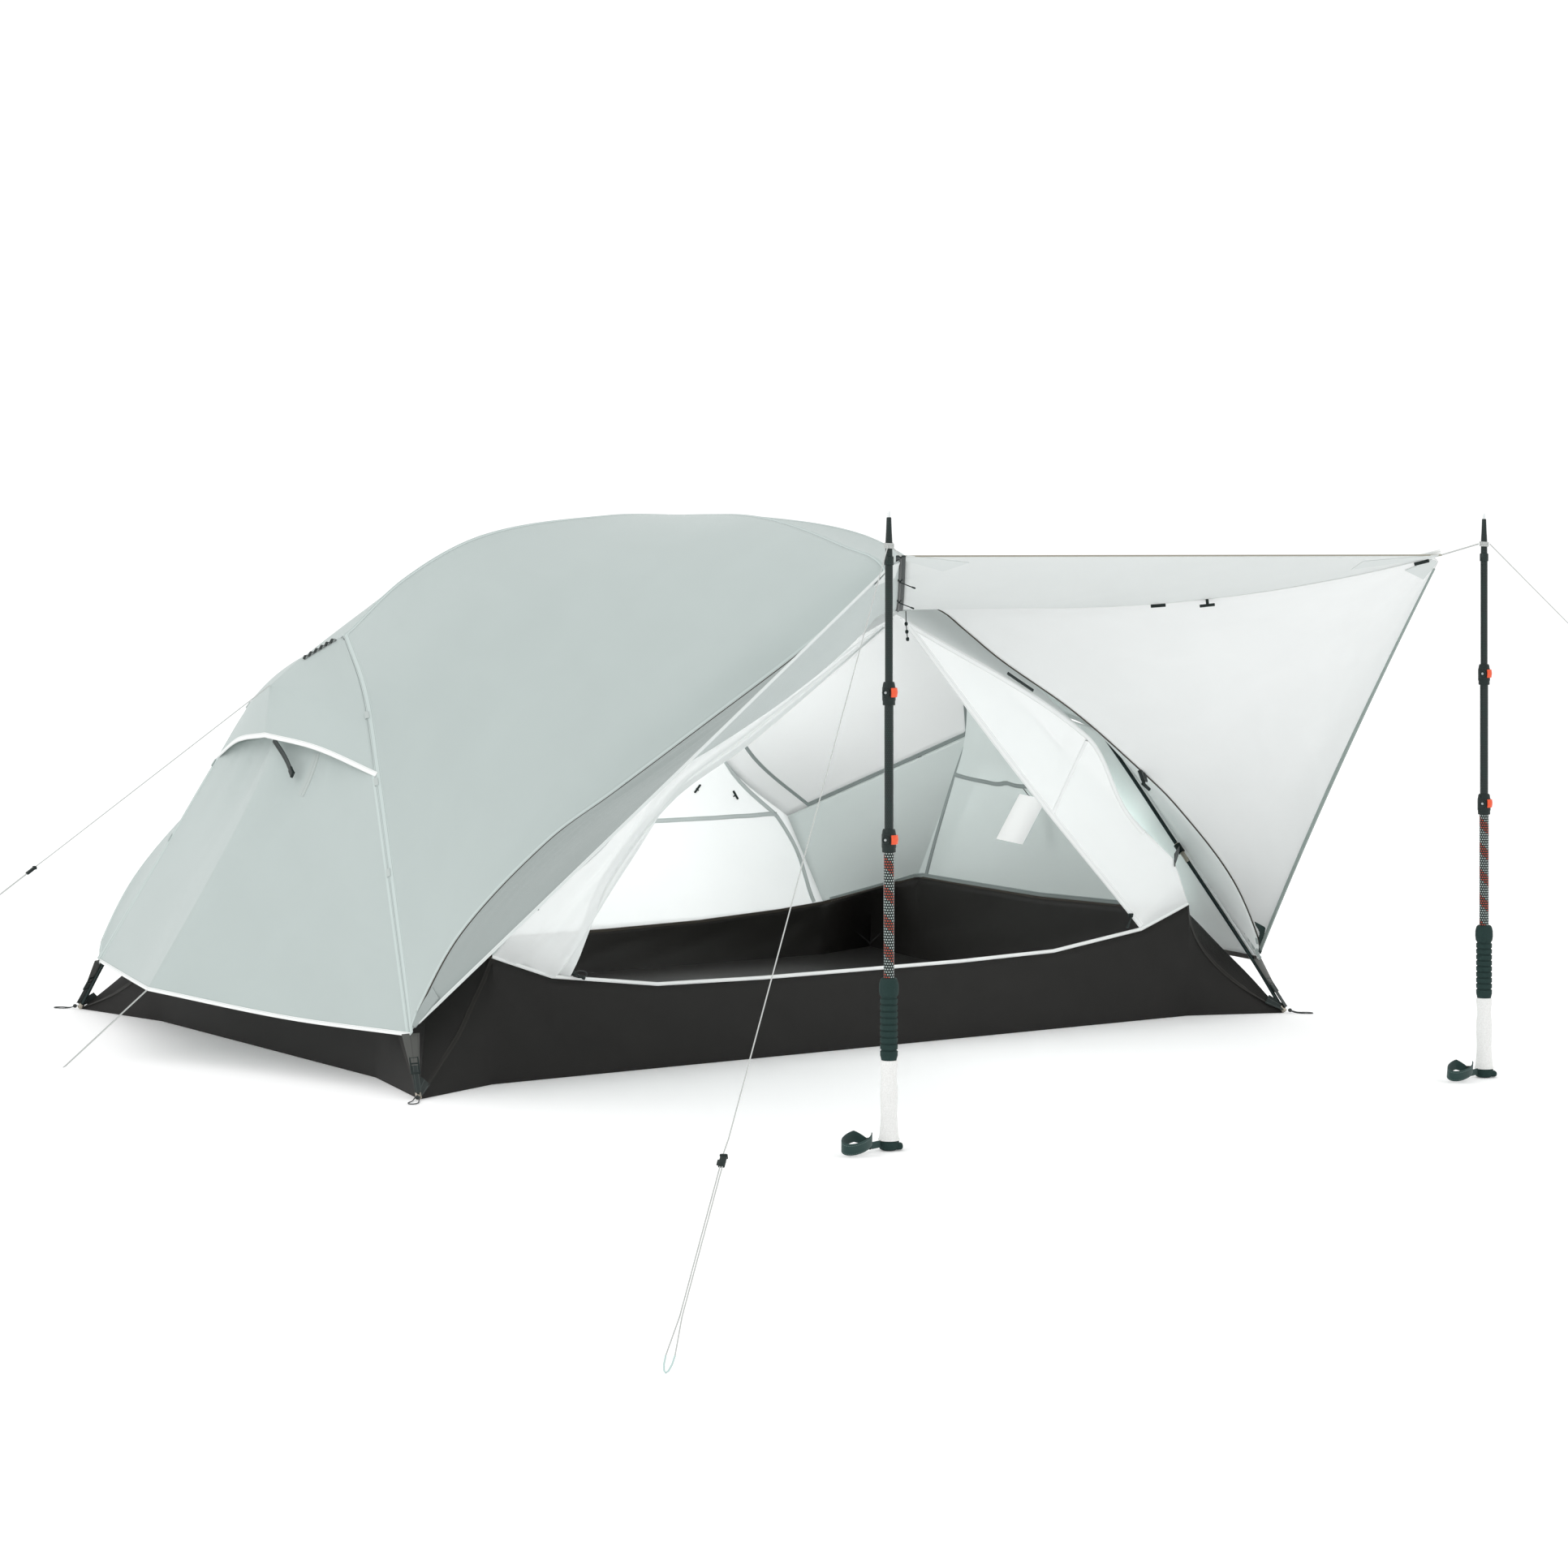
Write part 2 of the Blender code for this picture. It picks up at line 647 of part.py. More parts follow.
def make_fly():
    panel = coons(
        ridge_seam(), DOOR_SEAM[::-1], LEG_SEAM, cross_seam(), EDGE_STATIONS, EDGE_STATIONS,
        (SEAM_GAP, SEAM_GAP, SEAM_GAP, SEAM_GAP),
    )
    panel = tensioned(panel, FLY_TENSION)
    for name, sx, sy in FOUR_SIDES:
        sheet(f"fly_{name}", [moved(panel, sx, sy)], FLY_CLOTH)

    lip = hood_lip()
    hood_side = LEG_SEAM[: HOOD_STATIONS + 1]
    hood_middle = hood_middle_line()
    hood_edge = smooth([lip, lip.lerp(hood_side[-1], 0.5) + HOOD_EDGE_BOW, hood_side[-1]], 5)
    hood = hood_grid(hood_middle, hood_side, hood_edge)

    panel_top = vent_panel_top()
    hem_middle = hem_middle_point()
    lower_side = LEG_SEAM[HOOD_STATIONS:]
    rows = len(lower_side) - 1
    waist = panel_top.lerp(hem_middle, 0.45) - Vector((END_PANEL_HOLLOW, 0, 0))
    middle = smooth([panel_top, waist, hem_middle], rows)
    top_edge = straight(panel_top, lower_side[0], 6)
    hem = smooth([hem_middle, hem_middle.lerp(FLY_CORNER, 0.5) + END_HEM_BOW, FLY_CORNER], 6)
    end = coons(top_edge, hem, middle, lower_side, 6, rows, (0, SEAM_GAP, VENT_PANEL_TRIM, SEAM_GAP))
    for side, sx in (("left", -1), ("right", 1)):
        sheet(f"vent_hood_{side}", [moved(hood, sx, 1), moved(hood, sx, -1)], FLY_CLOTH)
        sheet(f"fly_end_{side}", [moved(end, sx, 1), moved(end, sx, -1)], FLY_CLOTH)

    foot = Vector((0, -DOOR_APEX.y + VESTIBULE_REACH, VESTIBULE_FOOT_HEIGHT))
    seam = flipped(DOOR_SEAM, 1, -1)
    zip_line = straight(seam[0], foot, EDGE_STATIONS)
    hem = smooth([seam[-1], seam[-1].lerp(foot, 0.5) + VESTIBULE_HEM_BOW, foot], EDGE_STATIONS)
    half = coons(
        seam, [foot] * (EDGE_STATIONS + 1), zip_line, hem, EDGE_STATIONS, EDGE_STATIONS // 2,
        (SEAM_GAP, VESTIBULE_TOP_TRIM, SEAM_GAP, VESTIBULE_FOOT_TRIM),
    )
    half = [[p + Vector((CLOTH_THICKNESS, 0, 0)) for p in line] for line in half]
    for side, sx in (("left", -1), ("right", 1)):
        sheet(f"vestibule_back_{side}", [moved(half, sx, 1)], FLY_CLOTH)


def make_awning():
    seams = {}
    for side, sx, corner in (("left", -1, AWNING_LEFT_CORNER), ("right", 1, AWNING_RIGHT_CORNER)):
        line = straight(DOOR_APEX, corner, EDGE_STATIONS)
        for k, p in enumerate(line):
            t = k / EDGE_STATIONS
            p.z -= 4 * AWNING_SEAM_SAG * t * (1 - t)
        seams[side] = line
        seam = flipped(DOOR_SEAM, sx, 1)
        foot = seam[-1]
        hem = straight(foot, corner, EDGE_STATIONS)
        if side == "right":
            inward = AWNING_RIGHT_HEM_WAY.normalized()
            for k, p in enumerate(hem):
                t = k / EDGE_STATIONS
                p += inward * (4 * AWNING_RIGHT_HEM_BOW * t * (1 - t))
            belly = None
        else:
            inward = (corner - DOOR_APEX).cross(foot - DOOR_APEX).normalized()
            if inward.x < 0:
                inward = -inward

            def belly(u, v, inward=inward):
                return inward * (AWNING_LEFT_BELLY * math.sin(math.pi * u) * math.sin(math.pi * v))

        grid = coons(
            seam, [corner] * (EDGE_STATIONS + 1), line, hem, EDGE_STATIONS, EDGE_STATIONS,
            (SEAM_GAP, AWNING_FOOT_TRIM, 2 * SEAM_GAP, AWNING_CORNER_TRIM), belly,
        )
        sheet(f"awning_side_{side}", [grid], FLY_CLOTH)
    front = straight(AWNING_LEFT_CORNER, AWNING_RIGHT_CORNER, EDGE_STATIONS)
    grid = coons(
        [DOOR_APEX] * (EDGE_STATIONS + 1), front, seams["left"], seams["right"], EDGE_STATIONS, EDGE_STATIONS,
        (SEAM_GAP, SEAM_GAP, AWNING_TOP_TRIM, 0),
    )
    sheet("awning_roof", [grid], FLY_CLOTH)


# Tub floor: bottom and top lines of its wall, right half, from the front middle to the back middle

TUB_HALF_LENGTH = FOOT_HALF_LENGTH - TUB_END_INSET
TUB_HALF_WIDTH = FOOT_HALF_WIDTH - TUB_SIDE_INSET
PEAK_X = TUB_HALF_LENGTH - SIDE_PEAK_INSET
PEAK_Y = TUB_HALF_WIDTH - END_PEAK_INSET


def tub_half():
    bottom = []
    top = []
    for x in (*TUB_SIDE_STATIONS, DOOR_FOOT, PEAK_X):
        rise = (x / PEAK_X) ** FRONT_RISE_POWER
        bottom.append(Vector((x, -TUB_HALF_WIDTH, 0)))
        top.append(Vector((x, -TUB_HALF_WIDTH, FRONT_WALL + (FRONT_PEAK - FRONT_WALL) * rise)))
    for sy, peak in ((-1, FRONT_PEAK), (1, BACK_PEAK)):
        side_peak = Vector((PEAK_X, sy * TUB_HALF_WIDTH, peak))
        end_peak = Vector((TUB_HALF_LENGTH, sy * PEAK_Y, END_WALL))
        corner = Vector((FOOT_HALF_LENGTH - TUB_CORNER_INSET, sy * (FOOT_HALF_WIDTH - TUB_CORNER_INSET), 0))
        end_foot = Vector((TUB_HALF_LENGTH, sy * PEAK_Y, 0))
        stretch = [(corner, side_peak.lerp(end_peak, 0.5)), (end_foot, end_peak)]
        if sy > 0:
            bottom.append(Vector((TUB_HALF_LENGTH, 0, 0)))
            top.append(Vector((TUB_HALF_LENGTH, 0, END_WALL - END_WALL_SAG)))
            stretch.reverse()
        for low, high in stretch:
            bottom.append(low)
            top.append(high)
    for x in (PEAK_X, DOOR_FOOT, *TUB_SIDE_STATIONS[::-1]):
        rise = (x / PEAK_X) ** 3
        bottom.append(Vector((x, TUB_HALF_WIDTH, 0)))
        top.append(Vector((x, TUB_HALF_WIDTH, BACK_WALL + (BACK_PEAK - BACK_WALL) * rise)))
    return bottom, top


def make_tub():
    bottom, top = tub_half()
    low = bottom + flipped(bottom[-2:0:-1], -1, 1)
    high = top + flipped(top[-2:0:-1], -1, 1)
    middle = [a.lerp(b, 0.5) for a, b in zip(low, high)]
    bm = bmesh.new()
    rings = [[bm.verts.new(p) for p in line] for line in (low, middle, high)]
    bm.faces.new(rings[0][::-1])
    for a, b in zip(rings, rings[1:]):
        for k in range(len(a)):
            n = (k + 1) % len(a)
            bm.faces.new((a[k], a[n], b[n], b[k]))
    bmesh.ops.recalc_face_normals(bm, faces=bm.faces)
    if min(bm.faces, key=lambda f: f.calc_center_median().z).normal.z > 0:
        bmesh.ops.reverse_faces(bm, faces=bm.faces)
    made = place("tub_floor", bm, TUB_CLOTH)
    shell = made.modifiers.new("thickness", "SOLIDIFY")
    shell.thickness = CLOTH_THICKNESS
    shell.offset = -1.0
    shell.use_even_offset = True
    return made


# Inner tent


def make_inner():
    bottom, top = tub_half()
    lift = Vector((0, 0, SEAM_GAP))
    front_top = [p + lift for p in top[:5]]
    end_front = [p + lift for p in (top[7], top[6], top[5], top[4])]
    back_side = [p + lift for p in top[7:11]]
    back_top = [p + lift for p in top[10:]]

    apex = DOOR_APEX + Vector((0, 0, -INNER_APEX_DROP))
    side_peak = front_top[-1]
    clip = Vector((
        apex.x + (side_peak.x - apex.x) * INNER_CLIP_PLACE[0],
        apex.y + (side_peak.y - apex.y) * INNER_CLIP_PLACE[1],
        apex.z + (side_peak.z - apex.z) * INNER_CLIP_PLACE[2],
    ))
    outline = shaped(apex, clip, INNER_SEAM_SHAPE, INNER_STATIONS)
    knee = Vector((TUB_HALF_LENGTH - INNER_CORNER_INSET, -INNER_CORNER_SPREAD, INNER_CORNER_HEIGHT))
    ridge_inner = stand_off(ridge_line(96), RIDGE_PLANE, -INNER_DROP)[48:][::-1]
    ridge_inner = spaced(ridge_inner[1:], INNER_STATIONS)
    hub_inner = ridge_inner[0]
    cross_inner = stand_off(cross_line(30), CROSS_PLANE, -INNER_DROP)
    cross_inner = smooth([ridge_inner[-1]] + cross_inner[5:26:5] + [apex], INNER_STATIONS)
    half = INNER_STATIONS // 2
    knee_line = straight(hub_inner, knee, half)[:-1] + straight(knee, clip, half)
    gap = SEAM_GAP
    quarter = coons(
        ridge_inner, outline[::-1], knee_line, cross_inner, INNER_STATIONS, INNER_STATIONS,
        (2 * gap, 0, 0, gap),
    )
    sheet("inner_roof", [moved(quarter, sx, sy) for _, sx, sy in FOUR_SIDES], INNER_CLOTH)

    back_peak = back_top[0]
    for side, sx in (("left", -1), ("right", 1)):
        grids = []
        for sy, foot_line in ((1, end_front), (-1, None)):
            if foot_line is None:
                feet = [Vector((p.x, -p.y, p.z)) for p in back_side]
            else:
                feet = foot_line
            low = straight(feet[0], feet[1], half)[:-1] + spaced(feet[1:4], half)
            middle = straight(low[0], hub_inner, 4)
            outer = straight(low[-1], clip, 4)
            grid = coons(low, knee_line, middle, outer, INNER_STATIONS, 4, (0, gap, 0, 2 * gap))
            grids.append(moved(grid, sx, sy))
        sheet(f"inner_end_{side}", grids, INNER_CLOTH)

    clip_back = Vector((clip.x, -clip.y, clip.z))
    outline_back = flipped(outline, 1, -1)
    low = spaced(back_top[:-6:-1], INNER_STATIONS)
    middle = straight(low[0], outline_back[0], 6)
    outer = straight(back_peak, clip_back, 6)
    grid = coons(low, outline_back, middle, outer, INNER_STATIONS, 5, (0, gap, 0, gap))
    sheet("inner_back", [moved(grid, 1, 1), moved(grid, -1, 1)], INNER_CLOTH)

    door_foot = front_top[3]
    zip_top = apex + Vector((DOOR_ZIP_OFFSET, 0, -DOOR_ZIP_OFFSET))
    zip_waist = zip_top.lerp(door_foot, 0.5) + Vector((0, DOOR_ZIP_OFFSET / 2, -DOOR_ZIP_OFFSET))
    zip_line = smooth([zip_top, zip_waist, door_foot], INNER_STATIONS + 1)
    outer = [zip_top] + outline[1:] + [side_peak]
    foot_edge = [door_foot, side_peak]
    grid = coons([zip_top] * 2, foot_edge, zip_line, outer, 2, INNER_STATIONS + 1, (gap, gap, 0, 0))
    sheet("inner_door_right", [grid], INNER_CLOTH)

    door_corner = Vector((GATHERED_DOOR_FOOT, -TUB_HALF_WIDTH, front_top[3].z))
    door_edge = smooth([flipped([zip_top], -1, 1)[0], *GATHERED_DOOR_EDGE, door_corner], INNER_STATIONS + 1)

    def folds(u, v):
        wave = math.sin(DOOR_FOLD_COUNT * math.pi * u) * u
        return Vector((0, -2 * DOOR_FOLD_DEPTH * v * (1 - v) * wave, 0))

    left_peak, left_foot = flipped([side_peak, Vector((DOOR_FOOT, door_foot.y, door_foot.z))], -1, 1)
    foot = straight(left_peak, left_foot, 6) + straight(left_foot, door_edge[-1], 6)[1:]
    outer = flipped(outer, -1, 1)
    grid = coons([door_edge[0]] * 13, foot, outer, door_edge, 12, INNER_STATIONS + 1, (gap, 0, 0, 0), folds)
    sheet("inner_door_left", [grid], INNER_CLOTH)


# Guy lines with their tensioners, and the two ties of the awning


def above_ground(points):
    return [Vector((p.x, p.y, max(p.z, CORD_RADIUS + OFF_CLOTH))) for p in points]


def guy_route(top, ground, share):
    """Down the single line, round the ground loop, and back up to the tensioner."""
    way = (ground - top).normalized()
    side = way.cross(Vector((0, 0, 1))).normalized() * (CORD_PAIR_GAP / 2)
    lock = top.lerp(ground, share)
    down = [top, top.lerp(lock, 0.5), lock - way * 3 * TENSIONER_STEP, lock - way * TENSIONER_STEP + side]
    down += [lock.lerp(ground, k / 4) + side for k in range(4)]
    turn = []
    swell = GROUND_LOOP_SWELL / CORD_PAIR_GAP * 2
    for k in range(7):
        angle = math.pi * k / 6
        back = GROUND_LOOP_LENGTH * (1 - math.sin(angle))
        turn.append(ground - way * back + side * (math.cos(angle) * swell))
    up = [ground.lerp(lock, k / 4) - side for k in range(1, 4)] + [lock - side - way * CORD_RADIUS * 2]
    return above_ground(down + turn + up), lock, way


def make_guys():
    lift = Vector((0, 0, GROUND_LOOP_HEIGHT))
    off_cloth = CLOTH_THICKNESS / 2 + CORD_RADIUS + OFF_CLOTH
    knot = TIP_SHAFT_RADIUS + TIP_KNOT_SWELL
    tie_left = POLE_LEFT_PLACE + Vector((0, 0, TIE_HEIGHT))
    tie_right = POLE_RIGHT_PLACE + Vector((0, 0, TIE_HEIGHT))
    lines = (
        ("left", flipped([hood_shoulder()], -1, 1)[0], off_cloth, END_STAKE + lift, 0.475),
        ("pole_left", tie_left, knot + CORD_TO_KNOT, POLE_LEFT_STAKE + lift, 0.797),
        ("pole_right", tie_right, knot + CORD_TO_KNOT, POLE_RIGHT_STAKE + lift, 0.797),
    )
    for name, top, off, foot, share in lines:
        way = foot - top
        if name != "left":
            way.z = 0
        route, lock, way = guy_route(top + way.normalized() * off, foot, share)
        rod(f"guy_line_{name}", route, CORD_RADIUS, CORD)
        half = TENSIONER_LENGTH / 2
        profile = (
            (TENSIONER_BORE, -half), (TENSIONER_RADIUS, -half),
            (TENSIONER_RADIUS, half), (TENSIONER_BORE, half),
        )
        turned(f"tensioner_{name}", profile, MOULDED, lock + way * CORD_RADIUS * 2, way)

    hem = flipped([hem_middle_point()], -1, 1)[0]
    foot = HEM_STAKE + lift
    way = (foot - hem).normalized()
    start = hem + way * (SEAM_GAP / 4)
    across = Vector((0, CORD_PAIR_GAP / 2, 0))
    pair = straight(start + across, foot + across, 4) + [foot + way * GROUND_LOOP_SWELL]
    pair += straight(foot - across, start - across, 4)
    rod("guy_line_hem_left", above_ground(pair), CORD_RADIUS, CORD)

    ties = (("left", AWNING_LEFT_CORNER, tie_left), ("right", AWNING_RIGHT_CORNER, tie_right))
    for side, corner, tie in ties:
        flat = Vector((corner.x - tie.x, corner.y - tie.y, 0)).normalized()
        start = tie + flat * (knot + FIT)
        end = corner + (start - corner).normalized() * OFF_CLOTH
        rod(f"awning_tie_{side}", straight(start, end, 4), CORD_RADIUS * 1.5, CORD)


# Trekking poles


def make_trekking_pole(side, at):
    shaft_bore = UPPER_SHAFT_RADIUS + FIT
    grip = (
        (0, 0), (0.010, 0), (0.0165, 0.004), (GRIP_HEAD_RADIUS, 0.016), (0.0160, 0.030),
        (GRIP_RADIUS - 0.001, 0.060), (GRIP_RADIUS, 0.095), (GRIP_RADIUS - 0.002, 0.125),
        (GRIP_RADIUS, GRIP_LENGTH - 0.006), (GRIP_RADIUS - 0.001, GRIP_LENGTH),
        (shaft_bore, GRIP_LENGTH), (shaft_bore, GRIP_END_CAP), (0, GRIP_END_CAP),
    )
    turned(f"grip_{side}", grip, PALE_GRIP, at)
    low = GRIP_LENGTH + FIT
    high = low + FOAM_LENGTH
    foam = (
        (shaft_bore, low), (FOAM_RADIUS - 0.002, low), (FOAM_RADIUS - 0.001, low + 0.10),
        (FOAM_RADIUS + 0.001, low + 0.122), (FOAM_RADIUS, high - 0.004), (FOAM_RADIUS - 0.003, high),
        (shaft_bore, high),
    )
    turned(f"foam_grip_{side}", foam, FOAM, at)
    bore = UPPER_SHAFT_RADIUS - TUBE_WALL
    foot = GRIP_END_CAP + FIT
    upper = (
        (bore, foot), (UPPER_SHAFT_RADIUS, foot),
        (UPPER_SHAFT_RADIUS, UPPER_SHAFT_TOP), (bore, UPPER_SHAFT_TOP),
    )
    turned(f"upper_shaft_{side}", upper, CARBON, at)
    outer = MIDDLE_SHAFT_RADIUS
    bore = outer - TUBE_WALL
    middle = (
        (bore, MIDDLE_SHAFT_FOOT), (outer, MIDDLE_SHAFT_FOOT),
        (outer, MIDDLE_SHAFT_TOP), (bore, MIDDLE_SHAFT_TOP),
    )
    turned(f"middle_shaft_{side}", middle, CARBON, at)
    r = TIP_SHAFT_RADIUS
    swollen = r + TIP_COLLAR_SWELL
    knot = r + TIP_KNOT_SWELL
    collar = TIP_COLLAR_HEIGHT
    tip = (
        (0, TIP_SHAFT_FOOT), (r, TIP_SHAFT_FOOT), (r, collar), (swollen, collar + 0.002),
        (swollen, collar + 0.014), (r - 0.0005, collar + 0.016), (r - 0.0005, TIE_HEIGHT - 0.008),
        (knot - 0.0004, TIE_HEIGHT - 0.005), (knot, TIE_HEIGHT), (knot - 0.0004, TIE_HEIGHT + 0.005),
        (r - 0.0010, TIE_HEIGHT + 0.008), (0.0038, TIP_HEIGHT - 0.010), (0.0020, TIP_HEIGHT - 0.008),
        (0.0016, TIP_HEIGHT), (0, TIP_HEIGHT),
    )
    turned(f"tip_section_{side}", tip, CARBON, at)

    for level, shaft_top, inner_radius in (
        ("lower", UPPER_SHAFT_TOP, MIDDLE_SHAFT_RADIUS),
        ("upper", MIDDLE_SHAFT_TOP, TIP_SHAFT_RADIUS),
    ):
        outer = inner_radius + CLAMP_WALL
        base = shaft_top + FIT
        clear = inner_radius + SLIDE_FIT
        ribbed = outer + CLAMP_RIB
        body = (
            (clear, base), (outer, base), (ribbed, base + 0.010), (ribbed, base + CLAMP_LENGTH - 0.008),
            (outer - 0.0015, base + CLAMP_LENGTH), (clear, base + CLAMP_LENGTH),
        )
        clamp = turned(f"clamp_{level}_{side}", body, MOULDED, at)
        middle_height = base + CLAMP_LENGTH * 0.55
        screw_shape = cylinder_profile(CLAMP_SCREW_RADIUS, outer - 0.001, outer + CLAMP_SCREW_REACH)
        screw = turned_mesh(screw_shape, ROUND_STEPS, at + Vector((0, 0, middle_height)), CLAMP_SCREW_WAY)
        apply_boolean(clamp, guide(f"clamp_{level}_{side}_screw", screw), "UNION")
        mid = ribbed + 2 * FIT + LEVER_THICKNESS / 2
        rows = []
        for z in (middle_height - LEVER_HEIGHT / 2, middle_height + LEVER_HEIGHT / 2):
            row = []
            for k in range(9):
                angle = LEVER_HINGE_ANGLE + LEVER_SWEEP * k / 8
                radius = mid + (LEVER_TAB_KICK if k == 8 else 0)
                row.append(Vector((at.x + radius * math.cos(angle), at.y + radius * math.sin(angle), z)))
            rows.append(row)
        hinge = Vector((rows[0][0].x, rows[0][0].y, middle_height))
        sheet(f"lever_{level}_{side}", [rows], LEVER_RED, LEVER_THICKNESS, 0.0, hinge)

    start = at + Vector((-GRIP_HEAD_RADIUS - 2 * FIT, 0, 0))
    neck = at + STRAP_NECK
    loop_centre = neck - Vector((STRAP_LOOP_LENGTH * 0.6, STRAP_LOOP_WIDTH * 0.12, 0))
    path = [start, start.lerp(neck, 0.5), neck]
    for k in range(15):
        angle = math.radians(12) + math.radians(330) * k / 14
        round_x = STRAP_LOOP_LENGTH / 2 * math.cos(angle)
        round_y = STRAP_LOOP_WIDTH / 2 * math.sin(angle)
        path.append(loop_centre + Vector((round_x, round_y, 0)))
    rows = [[p + Vector((0, 0, z)) for p in path] for z in (0.0006, STRAP_WIDTH)]
    sheet(f"wrist_strap_{side}", [rows], FOAM, STRAP_THICKNESS)


def make_vent_props():
    lip = hood_lip() + PROP_TOP_BACK
    end = lip + PROP_RUN
    way = (end - lip).normalized()
    across = way.cross(Vector((1, 0, 0))).normalized() * (PROP_WIDTH / 2)
    for side, sx in (("left", -1), ("right", 1)):
        rows = []
        for point in (lip, lip.lerp(end, 0.5), end):
            rows.append(flipped([point - across, point + across], sx, 1))
        hinge = flipped([lip], sx, 1)[0]
        sheet(f"vent_prop_{side}", [rows], MOULDED, PROP_THICKNESS, 0.0, hinge)


make_frame()
make_fly()
make_awning()
make_tub()
make_inner()
make_guys()
make_trekking_pole("left", POLE_LEFT_PLACE)
make_trekking_pole("right", POLE_RIGHT_PLACE)
make_vent_props()
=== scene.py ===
"""A pitched two-person trekking tent whose front door is held out as an awning by two trekking poles.

Metres, +Z up. X runs along the ridge, and the open door faces -Y.
"""

import math

import bmesh
import bpy
import numpy
from mathutils import Matrix, Vector


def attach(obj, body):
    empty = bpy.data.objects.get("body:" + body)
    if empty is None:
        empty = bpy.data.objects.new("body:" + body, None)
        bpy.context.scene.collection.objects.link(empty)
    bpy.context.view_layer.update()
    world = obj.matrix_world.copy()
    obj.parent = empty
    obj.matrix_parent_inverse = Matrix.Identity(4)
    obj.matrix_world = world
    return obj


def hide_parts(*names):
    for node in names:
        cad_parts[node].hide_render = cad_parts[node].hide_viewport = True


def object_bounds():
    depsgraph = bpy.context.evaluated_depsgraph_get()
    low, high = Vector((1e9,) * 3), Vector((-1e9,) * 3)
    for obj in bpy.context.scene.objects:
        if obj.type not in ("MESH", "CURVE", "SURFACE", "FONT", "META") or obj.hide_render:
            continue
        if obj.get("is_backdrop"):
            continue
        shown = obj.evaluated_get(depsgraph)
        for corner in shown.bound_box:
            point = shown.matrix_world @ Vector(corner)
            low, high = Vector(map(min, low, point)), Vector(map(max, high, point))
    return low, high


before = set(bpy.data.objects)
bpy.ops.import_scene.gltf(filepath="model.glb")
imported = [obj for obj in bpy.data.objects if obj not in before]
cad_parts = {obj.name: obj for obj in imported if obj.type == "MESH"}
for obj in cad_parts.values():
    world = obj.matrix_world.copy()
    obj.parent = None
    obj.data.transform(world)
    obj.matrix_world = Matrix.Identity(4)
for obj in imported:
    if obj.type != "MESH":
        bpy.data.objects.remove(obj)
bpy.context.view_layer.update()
TENT = "pitched_tent"


# Studio: a plain white floor and even daylight from all round, with soft lamps that keep the inside of
# the tent as bright as thin cloth lets it be. The camera stands low, in front of the tent's left corner.

FLOOR_HALF_SIZE = 60.0
FLOOR_DROP = 0.0006
CAMERA_PLACE = (-4.341, -6.748, 1.06)
CAMERA_TURN = math.radians(-34.4)
CAMERA_LENS = 83.25
CAMERA_SHIFT = -0.161


def fill(node, values):
    """Writes constant values on a node's own sockets."""
    for socket, value in values.items():
        node.inputs[socket].default_value = value


def hung_lamp(name, kind, place, power):
    """A lamp that the camera doesn't see."""
    lamp = bpy.data.lights.new(name, kind)
    lamp.energy = power
    hung = bpy.data.objects.new(name, lamp)
    hung.location = place
    hung.visible_camera = False
    bpy.context.scene.collection.objects.link(hung)
    return lamp, hung


bm = bmesh.new()
bmesh.ops.create_grid(bm, x_segments=2, y_segments=2, size=FLOOR_HALF_SIZE)
bmesh.ops.translate(bm, verts=bm.verts, vec=(0, 0, -FLOOR_DROP))
floor_mesh = bpy.data.meshes.new("studio_floor")
bm.to_mesh(floor_mesh)
bm.free()
studio_floor = bpy.data.objects.new("studio_floor", floor_mesh)
bpy.context.scene.collection.objects.link(studio_floor)
paper = bpy.data.materials.new("studio_paper")
paper.use_nodes = True
fill(paper.node_tree.nodes["Principled BSDF"], {
    "Base Color": (0.95, 0.95, 0.95, 1), "Roughness": 0.95, "Specular IOR Level": 0.1,
    "Emission Color": (1, 1, 1, 1), "Emission Strength": 0.13,
})
floor_mesh.materials.append(paper)
studio_floor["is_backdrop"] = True

world = bpy.data.worlds.new("daylight")
world.use_nodes = True
fill(world.node_tree.nodes["Background"], {"Color": (1, 1, 1, 1), "Strength": 1.1})
bpy.context.scene.world = world
bpy.context.scene.view_settings.view_transform = "Standard"

for name, place, aim, size, power in (
    ("window", (-6.0, -2.0, 4.0), (0, 0, 0.3), (3.0, 3.0), 40),
    ("glow_behind_right_end", (1.035, 0, 0.36), (1.6, 0, 0.5), (0.3, 0.95), 4.0),
):
    lamp, hung = hung_lamp(name, "AREA", place, power)
    lamp.shape = "RECTANGLE"
    lamp.size, lamp.size_y = size
    hung.rotation_euler = (Vector(aim) - Vector(place)).to_track_quat("-Z", "X").to_euler()
for place, power in (
    ((0.15, 0.15, 0.5), 5.0),
    ((-0.45, 0.2, 0.42), 3.0),
    ((0.45, 0.25, 0.3), 2.4),
    ((0.15, -0.6, 0.45), 1.4),
    ((0.15, -1.2, 0.3), 0.8),
    ((0.955, -0.38, 0.42), 0.3),
):
    lamp, hung = hung_lamp("glow_in_the_tent", "POINT", place, power)
    lamp.shadow_soft_size = 0.2

camera = bpy.data.cameras.new("camera")
camera.sensor_width = 36
camera.lens = CAMERA_LENS
camera.shift_y = CAMERA_SHIFT
camera_object = bpy.data.objects.new("camera", camera)
camera_object.location = CAMERA_PLACE
camera_object.rotation_euler = (math.pi / 2, 0, CAMERA_TURN)
bpy.context.scene.collection.objects.link(camera_object)
bpy.context.scene.camera = camera_object


# Guy lines: braided 2 mm cord. Each runs down through a plastic tensioner, round its stake and back up
# into the tensioner. Two short ties hold the awning's corners to the heads of the trekking poles.

